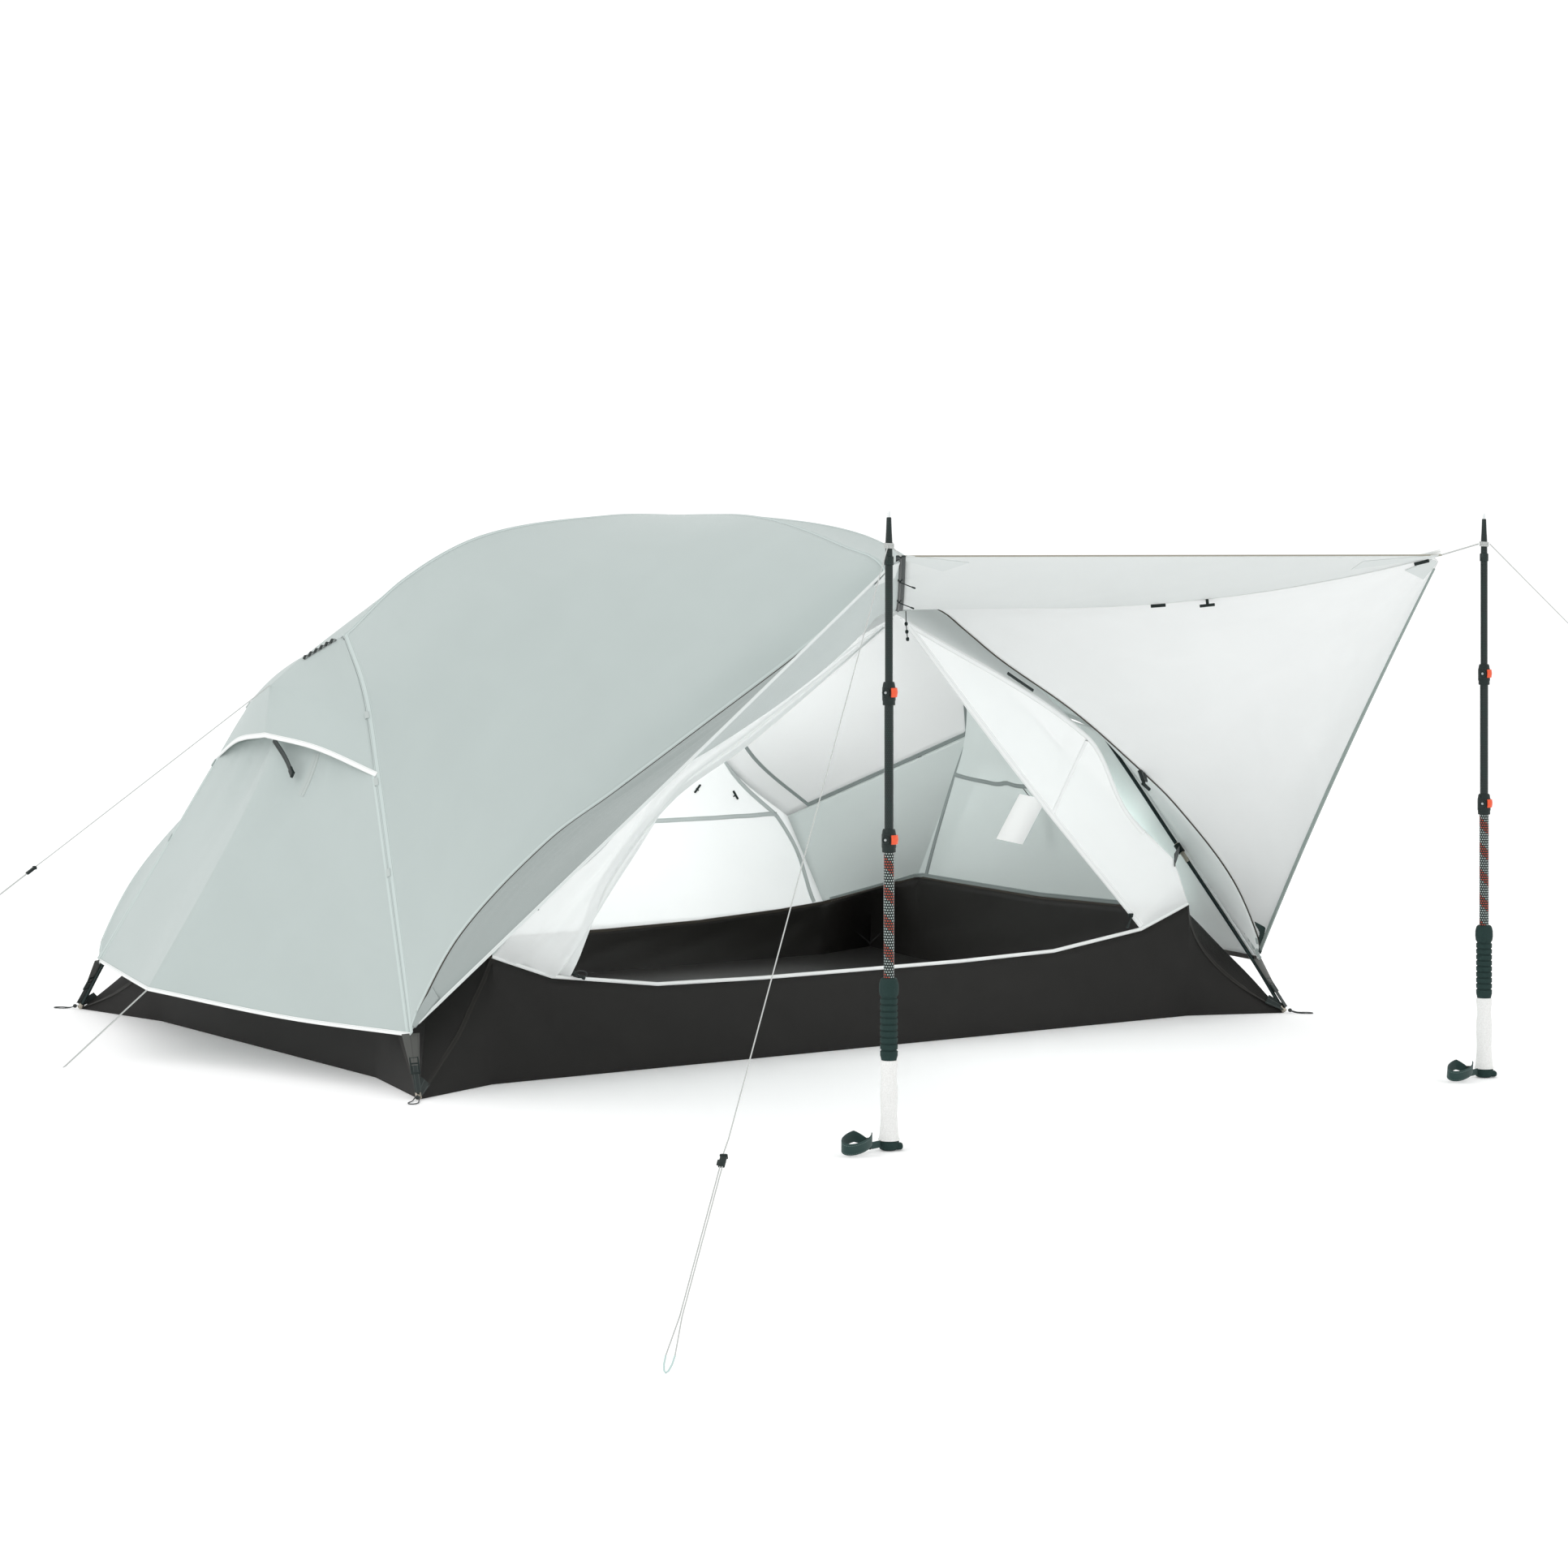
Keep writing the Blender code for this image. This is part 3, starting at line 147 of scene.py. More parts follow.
UP = Vector((0, 0, 1))
CORD_RADIUS = 0.001
CORD_PAIR_GAP = 0.0032
TENSIONER_LENGTH = 0.024
TENSIONER_WIDTH = 0.0094
TENSIONER_THICKNESS = 0.0056
TENSIONER_STEP = 0.014
GROUND_LOOP_LENGTH = 0.03
GROUND_LOOP_SWELL = 0.006
STAKE_LIFT = UP * 0.0035
OFF_CLOTH = 0.0004
HOOD_SHOULDER = Vector((1.000, 0, 0.745))
HEM_TIP = Vector((1.2748, 0, 0.137))
POLE_LEFT_PLACE = Vector((-0.681, -1.721, 0.0))
POLE_RIGHT_PLACE = Vector((0.763, -1.702, 0.0))
TIE_HEIGHT = 1.036
POLE_KNOT_RADIUS = 0.01
HOOD_GUY_START = 0.0018
POLE_GUY_START = 0.0108
HEM_CORD_GAP = 0.0001125
TIE_GAP = 0.0003
AWNING_LEFT_CORNER = Vector((-0.617, -1.668, 1.0176))
AWNING_RIGHT_CORNER = Vector((0.7, -1.65, 1.0144))
HEM_STAKE = Vector((-1.463, -0.03, 0))
KNOT_COIL_RADIUS = 0.0082
KNOT_COIL_HEIGHT = 0.009
KNOT_TURNS = 4
KNOT_CORD_RADIUS = 0.00115


def grain_group():
    """Tone and relief of a fine grain: a broad noise mixes two colours, and a finer one gives height."""
    group = bpy.data.node_groups.new("grain", "ShaderNodeTree")
    face = group.interface
    for name, kind in (("Vector", "Vector"), ("Scale", "Float"), ("Dark", "Color"), ("Light", "Color")):
        face.new_socket(name, in_out="INPUT", socket_type=f"NodeSocket{kind}")
    face.new_socket("Color", in_out="OUTPUT", socket_type="NodeSocketColor")
    face.new_socket("Height", in_out="OUTPUT", socket_type="NodeSocketFloat")
    start = group.nodes.new("NodeGroupInput")
    end = group.nodes.new("NodeGroupOutput")
    broad = group.nodes.new("ShaderNodeTexNoise")
    broad.inputs["Detail"].default_value = 3
    fine = group.nodes.new("ShaderNodeTexNoise")
    fine.inputs["Detail"].default_value = 2
    finer = group.nodes.new("ShaderNodeMath")
    finer.operation = "MULTIPLY"
    finer.inputs[1].default_value = 7.0
    tone = group.nodes.new("ShaderNodeMix")
    tone.data_type = "RGBA"
    for a, b in (
        (start.outputs["Vector"], broad.inputs["Vector"]),
        (start.outputs["Vector"], fine.inputs["Vector"]),
        (start.outputs["Scale"], broad.inputs["Scale"]),
        (start.outputs["Scale"], finer.inputs[0]),
        (finer.outputs[0], fine.inputs["Scale"]),
        (broad.outputs["Fac"], tone.inputs["Factor"]),
        (start.outputs["Dark"], tone.inputs["A"]),
        (start.outputs["Light"], tone.inputs["B"]),
        (tone.outputs["Result"], end.inputs["Color"]),
        (fine.outputs["Fac"], end.inputs["Height"]),
    ):
        group.links.new(a, b)
    return group


GRAIN = grain_group()


def plain_finish(name, colour, roughness, metallic=0.0, sheen=0.0, coat=0.0):
    """A Principled material with its constant values on the shader's own sockets."""
    made = bpy.data.materials.new(name)
    made.use_nodes = True
    fill(made.node_tree.nodes["Principled BSDF"], {
        "Base Color": (*colour, 1), "Roughness": roughness, "Metallic": metallic, "Sheen Weight": sheen,
        "Coat Weight": coat, "Specular IOR Level": 0.25,
    })
    return made


def relief(material, height, distance, strength=0.5):
    """Shows a height as a fine relief, distance metres deep."""
    tree = material.node_tree
    bump = tree.nodes.new("ShaderNodeBump")
    fill(bump, {"Strength": strength, "Distance": distance})
    tree.links.new(height, bump.inputs["Height"])
    tree.links.new(bump.outputs["Normal"], tree.nodes["Principled BSDF"].inputs["Normal"])


def grain_node(tree, dark, light, scale):
    """The grain, read from the object's own place."""
    where = tree.nodes.new("ShaderNodeTexCoord")
    grain = tree.nodes.new("ShaderNodeGroup")
    grain.node_tree = GRAIN
    fill(grain, {"Scale": scale, "Dark": (*dark, 1), "Light": (*light, 1)})
    tree.links.new(where.outputs["Object"], grain.inputs["Vector"])
    return grain


def grained(name, dark, light, scale, roughness, depth=0.0001, metallic=0.0, sheen=0.0):
    """A finish whose tone drifts between two colours, with a fine grain in its relief."""
    made = plain_finish(name, light, roughness, metallic, sheen)
    tree = made.node_tree
    grain = grain_node(tree, dark, light, scale)
    tree.links.new(grain.outputs["Color"], tree.nodes["Principled BSDF"].inputs["Base Color"])
    relief(made, grain.outputs["Height"], depth)
    return made


GUY_CORD = grained("guy_cord", (0.3, 0.32, 0.31), (0.66, 0.68, 0.66), 900, 0.75, 0.0002, sheen=0.2)
DARK_CORD = grained("dark_cord", (0.012, 0.016, 0.016), (0.045, 0.052, 0.05), 900, 0.7, 0.0002, sheen=0.2)
MOULDED_BLACK = grained("moulded_black", (0.005, 0.011, 0.01), (0.014, 0.024, 0.022), 260, 0.42)
SLEEVE_TEAL = grained("sleeve_teal", (0.42, 0.56, 0.54), (0.55, 0.68, 0.66), 600, 0.6)


def flipped(points, sx=1, sy=1):
    """The same points on another side of the tent."""
    return [Vector((p.x * sx, p.y * sy, p.z)) for p in points]


def straight(a, b, count):
    """A straight line of count + 1 points."""
    return [Vector(a).lerp(Vector(b), k / count) for k in range(count + 1)]


def length_of(points):
    """The length of a line in metres."""
    return sum((b - a).length for a, b in zip(points, points[1:]))


def on_stage(made, look, body, replaces):
    """Links a piece, lets it ride on a body and gives its finish."""
    made.data.materials.append(look)
    bpy.context.scene.collection.objects.link(made)
    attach(made, body)
    if replaces:
        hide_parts(*replaces)
    return made


def tube(name, points, radius, look, body=TENT, sides=3, replaces=()):
    """A round cord or rod along a list of points, with closed ends."""
    curve = bpy.data.curves.new(name, "CURVE")
    curve.dimensions = "3D"
    curve.bevel_depth = radius
    curve.bevel_resolution = sides
    curve.use_fill_caps = True
    line = curve.splines.new("POLY")
    line.points.add(len(points) - 1)
    for spot, point in zip(line.points, points):
        spot.co = (*point, 1.0)
    line.use_smooth = True
    return on_stage(bpy.data.objects.new(name, curve), look, body, replaces)


def finished(name, bm, look=MOULDED_BLACK, body=TENT, replaces=()):
    """Turns a bmesh into a piece that rides on a body, with its place in its mesh."""
    for face in bm.faces:
        face.smooth = True
    mesh = bpy.data.meshes.new(name)
    bm.to_mesh(mesh)
    bm.free()
    mesh.set_sharp_from_angle(angle=math.radians(38))
    return on_stage(bpy.data.objects.new(name, mesh), look, body, replaces)


def block(size, at, axes, round_by):
    """A block with rounded edges. axes are its three directions, size its three full sizes."""
    bm = bmesh.new()
    bmesh.ops.create_cube(bm, size=1.0)
    bmesh.ops.scale(bm, verts=bm.verts, vec=size)
    bmesh.ops.bevel(
        bm, geom=bm.edges[:], offset=round_by, segments=3, profile=0.5, affect="EDGES", material=-1
    )
    turn = Matrix((axes[0], axes[1], axes[2])).transposed().to_4x4()
    bmesh.ops.transform(bm, matrix=Matrix.Translation(at) @ turn, verts=bm.verts)
    bmesh.ops.recalc_face_normals(bm, faces=bm.faces)
    return bm


def turned(profile, at=(0, 0, 0), way=(0, 0, 1), steps=40):
    """A closed solid turned about its own axis from a profile of (radius, height)."""
    bm = bmesh.new()
    verts = [bm.verts.new((radius, 0, height)) for radius, height in profile]
    edges = [bm.edges.new(pair) for pair in zip(verts, verts[1:])]
    if profile[0][0] > 1e-6:
        edges.append(bm.edges.new((verts[-1], verts[0])))
    bmesh.ops.spin(
        bm, geom=verts + edges, cent=(0, 0, 0), axis=(0, 0, 1), dvec=(0, 0, 0),
        angle=math.tau, steps=steps, use_merge=True, use_normal_flip=False, use_duplicate=False,
    )
    bmesh.ops.remove_doubles(bm, verts=bm.verts, dist=1e-6)
    bmesh.ops.recalc_face_normals(bm, faces=bm.faces)
    turn = UP.rotation_difference(Vector(way).normalized()).to_matrix().to_4x4()
    bmesh.ops.transform(bm, matrix=Matrix.Translation(Vector(at)) @ turn, verts=bm.verts)
    return bm


def joined(parts):
    """Several bmeshes as one, for pieces that are moulded as one body."""
    whole = parts[0]
    for part in parts[1:]:
        extra = bpy.data.meshes.new("extra")
        part.to_mesh(extra)
        part.free()
        whole.from_mesh(extra)
        bpy.data.meshes.remove(extra)
    return whole


def three_ways(way, up=UP):
    """Three square directions, the first along way."""
    way = Vector(way).normalized()
    side = way.cross(up).normalized()
    return way, side, way.cross(side)


def above_ground(points):
    """The same points, with none so low that the cord would sink into the ground."""
    return [Vector((p.x, p.y, max(p.z, CORD_RADIUS + OFF_CLOTH))) for p in points]


def guy_route(top, stake, share):
    """Down the single line, round the stake loop, and back up to the tensioner."""
    way = (stake - top).normalized()
    side = way.cross(UP).normalized() * (CORD_PAIR_GAP / 2)
    lock = top.lerp(stake, share)
    down = [top, top.lerp(lock, 0.5), lock - way * 3 * TENSIONER_STEP, lock - way * TENSIONER_STEP + side]
    down += [lock.lerp(stake, k / 4) + side for k in range(4)]
    turn = []
    swell = GROUND_LOOP_SWELL / CORD_PAIR_GAP * 2
    for k in range(7):
        angle = math.pi * k / 6
        back = GROUND_LOOP_LENGTH * (1 - math.sin(angle))
        turn.append(stake - way * back + side * (math.cos(angle) * swell))
    up = [stake.lerp(lock, k / 4) - side for k in range(1, 4)] + [lock - side - way * CORD_RADIUS * 2]
    return above_ground(down + turn + up), above_ground(turn), lock, way


for name, top, off, stake, share in (
    ("left", flipped([HOOD_SHOULDER], -1)[0], HOOD_GUY_START, Vector((-2.094, 0, 0)), 0.475),
    ("pole_left", POLE_LEFT_PLACE + UP * TIE_HEIGHT, POLE_GUY_START, Vector((-1.891, -2.907, 0)), 0.797),
    ("pole_right", POLE_RIGHT_PLACE + UP * TIE_HEIGHT, POLE_GUY_START, Vector((1.399, -2.498, 0)), 0.797),
):
    stake = stake + STAKE_LIFT
    leaves = stake - top
    if name != "left":
        leaves.z = 0
    start = top + leaves.normalized() * off
    route, turn, lock, way = guy_route(start, stake, share)
    line = tube(f"cord_{name}", route, CORD_RADIUS, GUY_CORD, replaces=[f"guy_line_{name}"])
    sleeve = tube(f"stake_sleeve_{name}", turn, CORD_RADIUS * 1.3, SLEEVE_TEAL)
    axes = three_ways(way)
    centre = lock + way * CORD_RADIUS * 2
    slider = finished(
        f"line_lock_{name}",
        joined([
            block((TENSIONER_LENGTH, TENSIONER_WIDTH, TENSIONER_THICKNESS), centre, axes, 0.0016),
            block((TENSIONER_LENGTH * 0.42, 0.004, 0.003), centre + way * 0.004 + axes[1] * 0.0052, axes, 0.0009),
            block((0.0032, 0.011, 0.0074), centre - way * 0.0085, axes, 0.001),
        ]),
        replaces=[f"tensioner_{name}"],
    )

hem_stake = HEM_STAKE + STAKE_LIFT
hem_tip = flipped([HEM_TIP], -1)[0]
way = (hem_stake - hem_tip).normalized()
start = hem_tip + way * HEM_CORD_GAP
across = Vector((0, CORD_PAIR_GAP / 2, 0))
route = straight(start + across, hem_stake + across, 4) + [hem_stake + way * GROUND_LOOP_SWELL]
route = above_ground(route + straight(hem_stake - across, start - across, 4))
line = tube("cord_hem_left", route, CORD_RADIUS, GUY_CORD, replaces=["guy_line_hem_left"])

for side, place, corner in (
    ("left", POLE_LEFT_PLACE, AWNING_LEFT_CORNER),
    ("right", POLE_RIGHT_PLACE, AWNING_RIGHT_CORNER),
):
    tie = place + UP * TIE_HEIGHT
    flat = Vector((corner.x - tie.x, corner.y - tie.y, 0)).normalized()
    start = tie + flat * (POLE_KNOT_RADIUS + TIE_GAP)
    end = corner + (start - corner).normalized() * OFF_CLOTH
    route = straight(start, end, 4)
    line = tube(f"tie_{side}", route, CORD_RADIUS * 1.5, GUY_CORD, replaces=[f"awning_tie_{side}"])
    coil = []
    for k in range(61):
        angle = math.tau * KNOT_TURNS * k / 60
        around = Vector((math.cos(angle), math.sin(angle), 0)) * KNOT_COIL_RADIUS
        coil.append(tie + around + UP * (KNOT_COIL_HEIGHT * (0.5 - k / 60)))
    tube(f"knot_{side}", coil, KNOT_CORD_RADIUS, GUY_CORD, f"pole_tip_{side}")


# Pole frame: shock-corded aluminium tube, dark anodised, in sections that plug into each other with
# bright ferrules. Moulded hubs join the ridge pole to the legs, and a clip holds the cross pole.

POLE_RADIUS = 0.00425
FERRULE_RADIUS = 0.0051
FERRULE_LENGTH = 0.05
FOOT_HALF_LENGTH = 1.081
FOOT_HALF_WIDTH = 0.781
RIDGE_HEIGHT = 1.097
HUB_HALF_SPAN = 0.828
HUB_HEIGHT = 0.832
CROSS_HALF_WIDTH = 0.759
CROSS_END_DROP = 0.1
CROSS_END_POCKET = 0.025
SEAM_STANDOFF = 0.0088
TOP_STANDOFF = 0.005
POLE_END_GAP = 0.012
CROSSING_CLEARANCE = 0.0012
CROSSING_REACH = 0.3
HUB_ARM_LENGTH = 0.03
HUB_ARM_RADIUS = 0.0058
RIDGE_SHAPE = ((0, 0), (0.173, 0.472), (0.409, 0.83), (0.779, 0.992), (1, 1))
LEG_SHAPE = ((0, 0), (0.278, 0.13), (0.452, 0.316), (0.674, 0.586), (0.903, 0.868), (1, 1))
CROSS_SHAPE = ((0, 0), (0.39, 0.03), (0.675, 0.37), (1, 1))
LEG_WAY = Vector((FOOT_HALF_LENGTH - HUB_HALF_SPAN, -FOOT_HALF_WIDTH, 0))
LEG_REACH = LEG_WAY.length
LEG_WAY = LEG_WAY / LEG_REACH
LEG_PLANE = Vector((-LEG_WAY.y, LEG_WAY.x, 0))
HUB = Vector((HUB_HALF_SPAN, 0, HUB_HEIGHT))
FOUR_SIDES = (("front_left", -1, 1), ("front_right", 1, 1), ("back_left", -1, -1), ("back_right", 1, -1))
BOTH_SIDES = (("left", -1), ("right", 1))


def spaced(points, count):
    """The same line, read at count + 1 evenly spaced points."""
    lengths = [0.0]
    for a, b in zip(points, points[1:]):
        lengths.append(lengths[-1] + (b - a).length)
    out = []
    i = 0
    for k in range(count + 1):
        want = lengths[-1] * k / count
        while i < len(points) - 2 and lengths[i + 1] < want:
            i += 1
        span = max(lengths[i + 1] - lengths[i], 1e-12)
        out.append(points[i].lerp(points[i + 1], min(1.0, max(0.0, (want - lengths[i]) / span))))
    return out


def smooth(points, count):
    """A list of count + 1 points on a smooth curve through the given ones, evenly spaced."""
    points = [Vector(p) for p in points]
    dense = []
    for i in range(len(points) - 1):
        p1, p2 = points[i], points[i + 1]
        p0 = points[i - 1] if i else p1 * 2 - p2
        p3 = points[i + 2] if i + 2 < len(points) else p2 * 2 - p1
        reach = (p2 - p1).length
        t1 = (p2 - p0) * (reach / max((p2 - p0).length, 1e-9))
        t2 = (p3 - p1) * (reach / max((p3 - p1).length, 1e-9))
        for k in range(16):
            t = k / 16
            dense.append(
                p1 * (2 * t**3 - 3 * t**2 + 1) + t1 * (t**3 - 2 * t**2 + t)
                + p2 * (3 * t**2 - 2 * t**3) + t2 * (t**3 - t**2)
            )
    dense.append(points[-1])
    return spaced(dense, count)


def along(curve, t):
    """The point a share t of the way along a list of points."""
    at = min(max(t, 0.0), 1.0) * (len(curve) - 1)
    step = min(int(at), len(curve) - 2)
    return curve[step].lerp(curve[step + 1], at - step)


def heading(curve, t):
    """The direction of a list of points, a share t of the way along it."""
    return (along(curve, t + 0.01) - along(curve, t - 0.01)).normalized()


def stand_off(curve, plane_normal, distance):
    """The curve moved sideways in its own plane, to the side that faces away from the tent."""
    out = []
    for i, point in enumerate(curve):
        before = curve[max(i - 1, 0)]
        after = curve[min(i + 1, len(curve) - 1)]
        out.append(point + (after - before).cross(plane_normal).normalized() * distance)
    return out


def ridge_line(count):
    """From the left hub to the right hub."""
    rise = RIDGE_HEIGHT - TOP_STANDOFF - HUB_HEIGHT
    half = [Vector((-HUB_HALF_SPAN * (1 - x), 0, HUB_HEIGHT + rise * up)) for x, up in RIDGE_SHAPE]
    return smooth(half + flipped(half[-2::-1], -1), count)


def leg_line(count):
    """From the right hub to the front right foot."""
    points = []
    for out, down in LEG_SHAPE:
        points.append(HUB + LEG_WAY * (LEG_REACH * out) - UP * (HUB_HEIGHT * down))
    return smooth(points, count)


def cross_line(count):
    """From the middle of the ridge to the front end of the cross pole."""
    top = RIDGE_HEIGHT - SEAM_STANDOFF
    points = [Vector((0, -CROSS_HALF_WIDTH * y, top - CROSS_END_DROP * down)) for y, down in CROSS_SHAPE]
    return smooth(points, count)


POLE_METAL = grained("anodised_pole", (0.016, 0.026, 0.026), (0.04, 0.055, 0.053), 60, 0.32, 0.00005, 0.8)
FERRULE_METAL = grained("ferrule_metal", (0.34, 0.31, 0.26), (0.5, 0.46, 0.39), 80, 0.28, 0.00005, 0.95)


FERRULE = (
    (POLE_RADIUS, -0.5 * FERRULE_LENGTH), (FERRULE_RADIUS - 0.0004, -0.5 * FERRULE_LENGTH),
    (FERRULE_RADIUS, -0.47 * FERRULE_LENGTH), (FERRULE_RADIUS, 0.47 * FERRULE_LENGTH),
    (FERRULE_RADIUS - 0.0004, 0.5 * FERRULE_LENGTH), (POLE_RADIUS, 0.5 * FERRULE_LENGTH),
)


def ferrules(name, line, shares):
    """Bright sleeves where two sections of a pole meet."""
    for number, share in enumerate(shares):
        centre = along(line, share)
        sleeve = turned(FERRULE, centre, heading(line, share), 20)
        finished(f"{name}_ferrule_{number}", sleeve, FERRULE_METAL)


ridge = ridge_line(96)
ridge_inside = [p for p in ridge if abs(p.x) < HUB_HALF_SPAN - POLE_END_GAP]
tube("ridge_tube", ridge_inside, POLE_RADIUS, POLE_METAL, replaces=["ridge_pole"])
ferrules("ridge", ridge, (0.2, 0.4, 0.6, 0.8))
leg = leg_line(64)
leg_inside = [p for p in leg if (p - leg[0]).length > POLE_END_GAP]
leg_inside[-1] = leg_inside[-1] + UP * (POLE_RADIUS * 0.75)
for side, sx, sy in FOUR_SIDES:
    tube(f"leg_tube_{side}", flipped(leg_inside, sx, sy), POLE_RADIUS, POLE_METAL,
         replaces=[f"leg_pole_{side}"])
    ferrules(f"leg_{side}", flipped(leg, sx, sy), (0.31, 0.64))
dip = 2 * POLE_RADIUS + CROSSING_CLEARANCE - (SEAM_STANDOFF - TOP_STANDOFF)
half = []
for p in cross_line(30):
    near = max(0.0, 1 - (p.y / CROSSING_REACH) ** 2)
    if -p.y <= CROSS_HALF_WIDTH - CROSS_END_POCKET:
        half.append(p - UP * (dip * near * near))
cross_inside = flipped(half, 1, -1)[:0:-1] + half
tube("cross_tube", cross_inside, POLE_RADIUS, POLE_METAL, replaces=["cross_pole"])
ridge_way = (ridge[1] - ridge[0]).normalized()
leg_way = (leg[1] - leg[0]).normalized()
arm = ((0, 0), (HUB_ARM_RADIUS, 0.001), (HUB_ARM_RADIUS, HUB_ARM_LENGTH - 0.006))
arm += ((HUB_ARM_RADIUS + 0.0007, HUB_ARM_LENGTH - 0.005), (HUB_ARM_RADIUS + 0.0007, HUB_ARM_LENGTH - 0.001))
arm += ((HUB_ARM_RADIUS, HUB_ARM_LENGTH), (0, HUB_ARM_LENGTH))
core = ((0, -0.0066), (0.0055, -0.0066), (0.0072, -0.005), (0.0072, 0.0018), (0.0055, 0.0031), (0, 0.0031))
for side, sx in BOTH_SIDES:
    at = Vector((sx * HUB_HALF_SPAN, 0, HUB_HEIGHT))
    parts = [turned(core, at, (0, 0, 1), 28)]
    for way in (Vector((-ridge_way.x, 0, ridge_way.z)), leg_way, Vector((leg_way.x, -leg_way.y, leg_way.z))):
        parts.append(turned(arm, at, Vector((sx * way.x, way.y, way.z)), 28))
    finished(f"hub_body_{side}", joined(parts), replaces=[f"hub_{side}"])
clip = ((0, -0.0172), (0.0085, -0.0172), (0.011, -0.0152), (0.011, -0.0012), (0.0098, 0.0), (0, 0.0))
finished("crossing_clip", turned(clip, (0, 0, RIDGE_HEIGHT - TOP_STANDOFF), steps=32), replaces=["cross_clip"])


# Fly: coated pale grey-green cloth. Four roof panels are sewn over the poles, with a vent hood and an
# end panel at each end and a closed vestibule of two halves at the back. The coated inside is paler.

CLOTH_THICKNESS = 0.0007
THREAD_PITCH = 0.0004
STITCH_PITCH = 0.0034
LEAST_AREA_SHARE = 0.31
SEAM_GAP = 0.00045
LEG_SEAM_SHIFT = 0.004
HUB_SEAM_RISE = 0.003
HEM_HEIGHT = 0.11
END_HEM_BOW = Vector((-0.022, 0, -0.014))
END_PANEL_HOLLOW = 0.01
DOOR_APEX_FORWARD = 0.054
DOOR_APEX_DROP = 0.075
HOOD_LIP = Vector((1.014, 0, 0.638))
HOOD_CREST_RISE = 0.012
HOOD_EDGE_BOW = Vector((0.006, 0, 0.013))
HOOD_SHARE = 0.44
HOOD_CUT = (0.66, 0.36)
PROP_TOP_STEP = Vector((-0.006, -0.03, -0.004))
PROP_REACH = Vector((-0.004, -0.08, -0.07))
END_PANEL_SHARE = 0.4
END_GATHER_DEPTH = 0.022
END_RIPPLE_DEPTH = 0.004
VENT_PANEL_TOP = Vector((0.965, 0, 0.66))
VENT_PANEL_TRIM = 0.008
VESTIBULE_REACH = 0.53
VESTIBULE_FOOT_HEIGHT = 0.02
VESTIBULE_HEM_BOW = Vector((-0.03, -0.03, -0.012))
VESTIBULE_TOP_TRIM = 0.006
VESTIBULE_FOOT_TRIM = 0.012
VESTIBULE_COIL_RADIUS = 0.0016
FLY_TENSION = 0.52
FLY_OUTSIDE = (0.455, 0.518, 0.504)
FLY_INSIDE = (0.8, 0.84, 0.83)
DOOR_SEAM_SHAPE = (
    (0, 0, 0),
    (0.0965, 0.005, 0.0246),
    (0.163, 0.055, 0.0776),
    (0.2545, 0.1, 0.1564),
    (0.435, 0.055, 0.2956),
    (0.6206, 0.296, 0.4544),
    (0.741, 0.565, 0.5616),
    (0.907, 0.787, 0.766),
    (0.992, 0.889, 0.947),
    (1, 1, 1),
)
FINE = 64


def cut_at_height(curve, height):
    """The upper part of a falling curve, down to the height."""
    kept = [curve[0]]
    for a, b in zip(curve, curve[1:]):
        if b.z <= height:
            kept.append(a.lerp(b, (a.z - height) / (a.z - b.z)))
            break
        kept.append(b)
    return kept


def shaped(start, end, shape, count):
    """A smooth curve between two points, through the shares of the way that the shape gives."""
    reach = end - start
    points = [Vector((start.x + reach.x * x, start.y + reach.y * y, start.z + reach.z * z)) for x, y, z in shape]
    return smooth(points, count)


LEG_SEAM = spaced(cut_at_height(stand_off(leg_line(64), LEG_PLANE, SEAM_STANDOFF), HEM_HEIGHT), FINE)
LEG_SEAM = [p + Vector((LEG_SEAM_SHIFT, 0, 0)) for p in LEG_SEAM]
LEG_SEAM[0] = Vector((LEG_SEAM[0].x, 0, LEG_SEAM[0].z + HUB_SEAM_RISE))
FLY_CORNER = LEG_SEAM[-1]
DOOR_APEX = Vector((0, -CROSS_HALF_WIDTH - DOOR_APEX_FORWARD, RIDGE_HEIGHT - CROSS_END_DROP - DOOR_APEX_DROP))
HUB_TOP = LEG_SEAM[0]
low_ridge = stand_off(ridge, Vector((0, 1, 0)), TOP_STANDOFF)[48:]
high_ridge = stand_off(ridge, Vector((0, 1, 0)), SEAM_STANDOFF)[48:]
RIDGE_SEAM = [a.lerp(b, min(1.0, 1.4 * k / 48)) for k, (a, b) in enumerate(zip(low_ridge, high_ridge))][::-1]
RIDGE_SEAM = spaced([HUB_TOP] + RIDGE_SEAM[2:], FINE)
CROSS_SEAM = stand_off(cross_line(30), Vector((1, 0, 0)), SEAM_STANDOFF)
CROSS_SEAM = smooth(CROSS_SEAM[::5] + [DOOR_APEX], FINE)
DOOR_SEAM = shaped(DOOR_APEX, FLY_CORNER, DOOR_SEAM_SHAPE, FINE)


def coons(low, high, left, right, u, v):
    """The point at shares u across and v along the sheet that fills four edge curves."""
    between = along(low, u).lerp(along(high, u), v)
    across = along(left, v).lerp(along(right, v), u)
    return between + across - low[0].lerp(low[-1], u).lerp(high[0].lerp(high[-1], u), v)


def trimmed(t, before, after, length):
    """A share of the way, moved in from both ends by a seam's trims in metres."""
    return before / length + t * (1 - (before + after) / length)


def maths(tree, operation, a, b=None):
    """The output of a Math node. Each input is a socket, a number or the terms of one more Math node."""
    node = tree.nodes.new("ShaderNodeMath")
    node.operation = operation
    for socket, value in zip(node.inputs, (a, b)):
        if isinstance(value, tuple):
            value = maths(tree, *value)
        if isinstance(value, (int, float)):
            socket.default_value = value
        elif value is not None:
            tree.links.new(value, socket)
    return node.outputs[0]


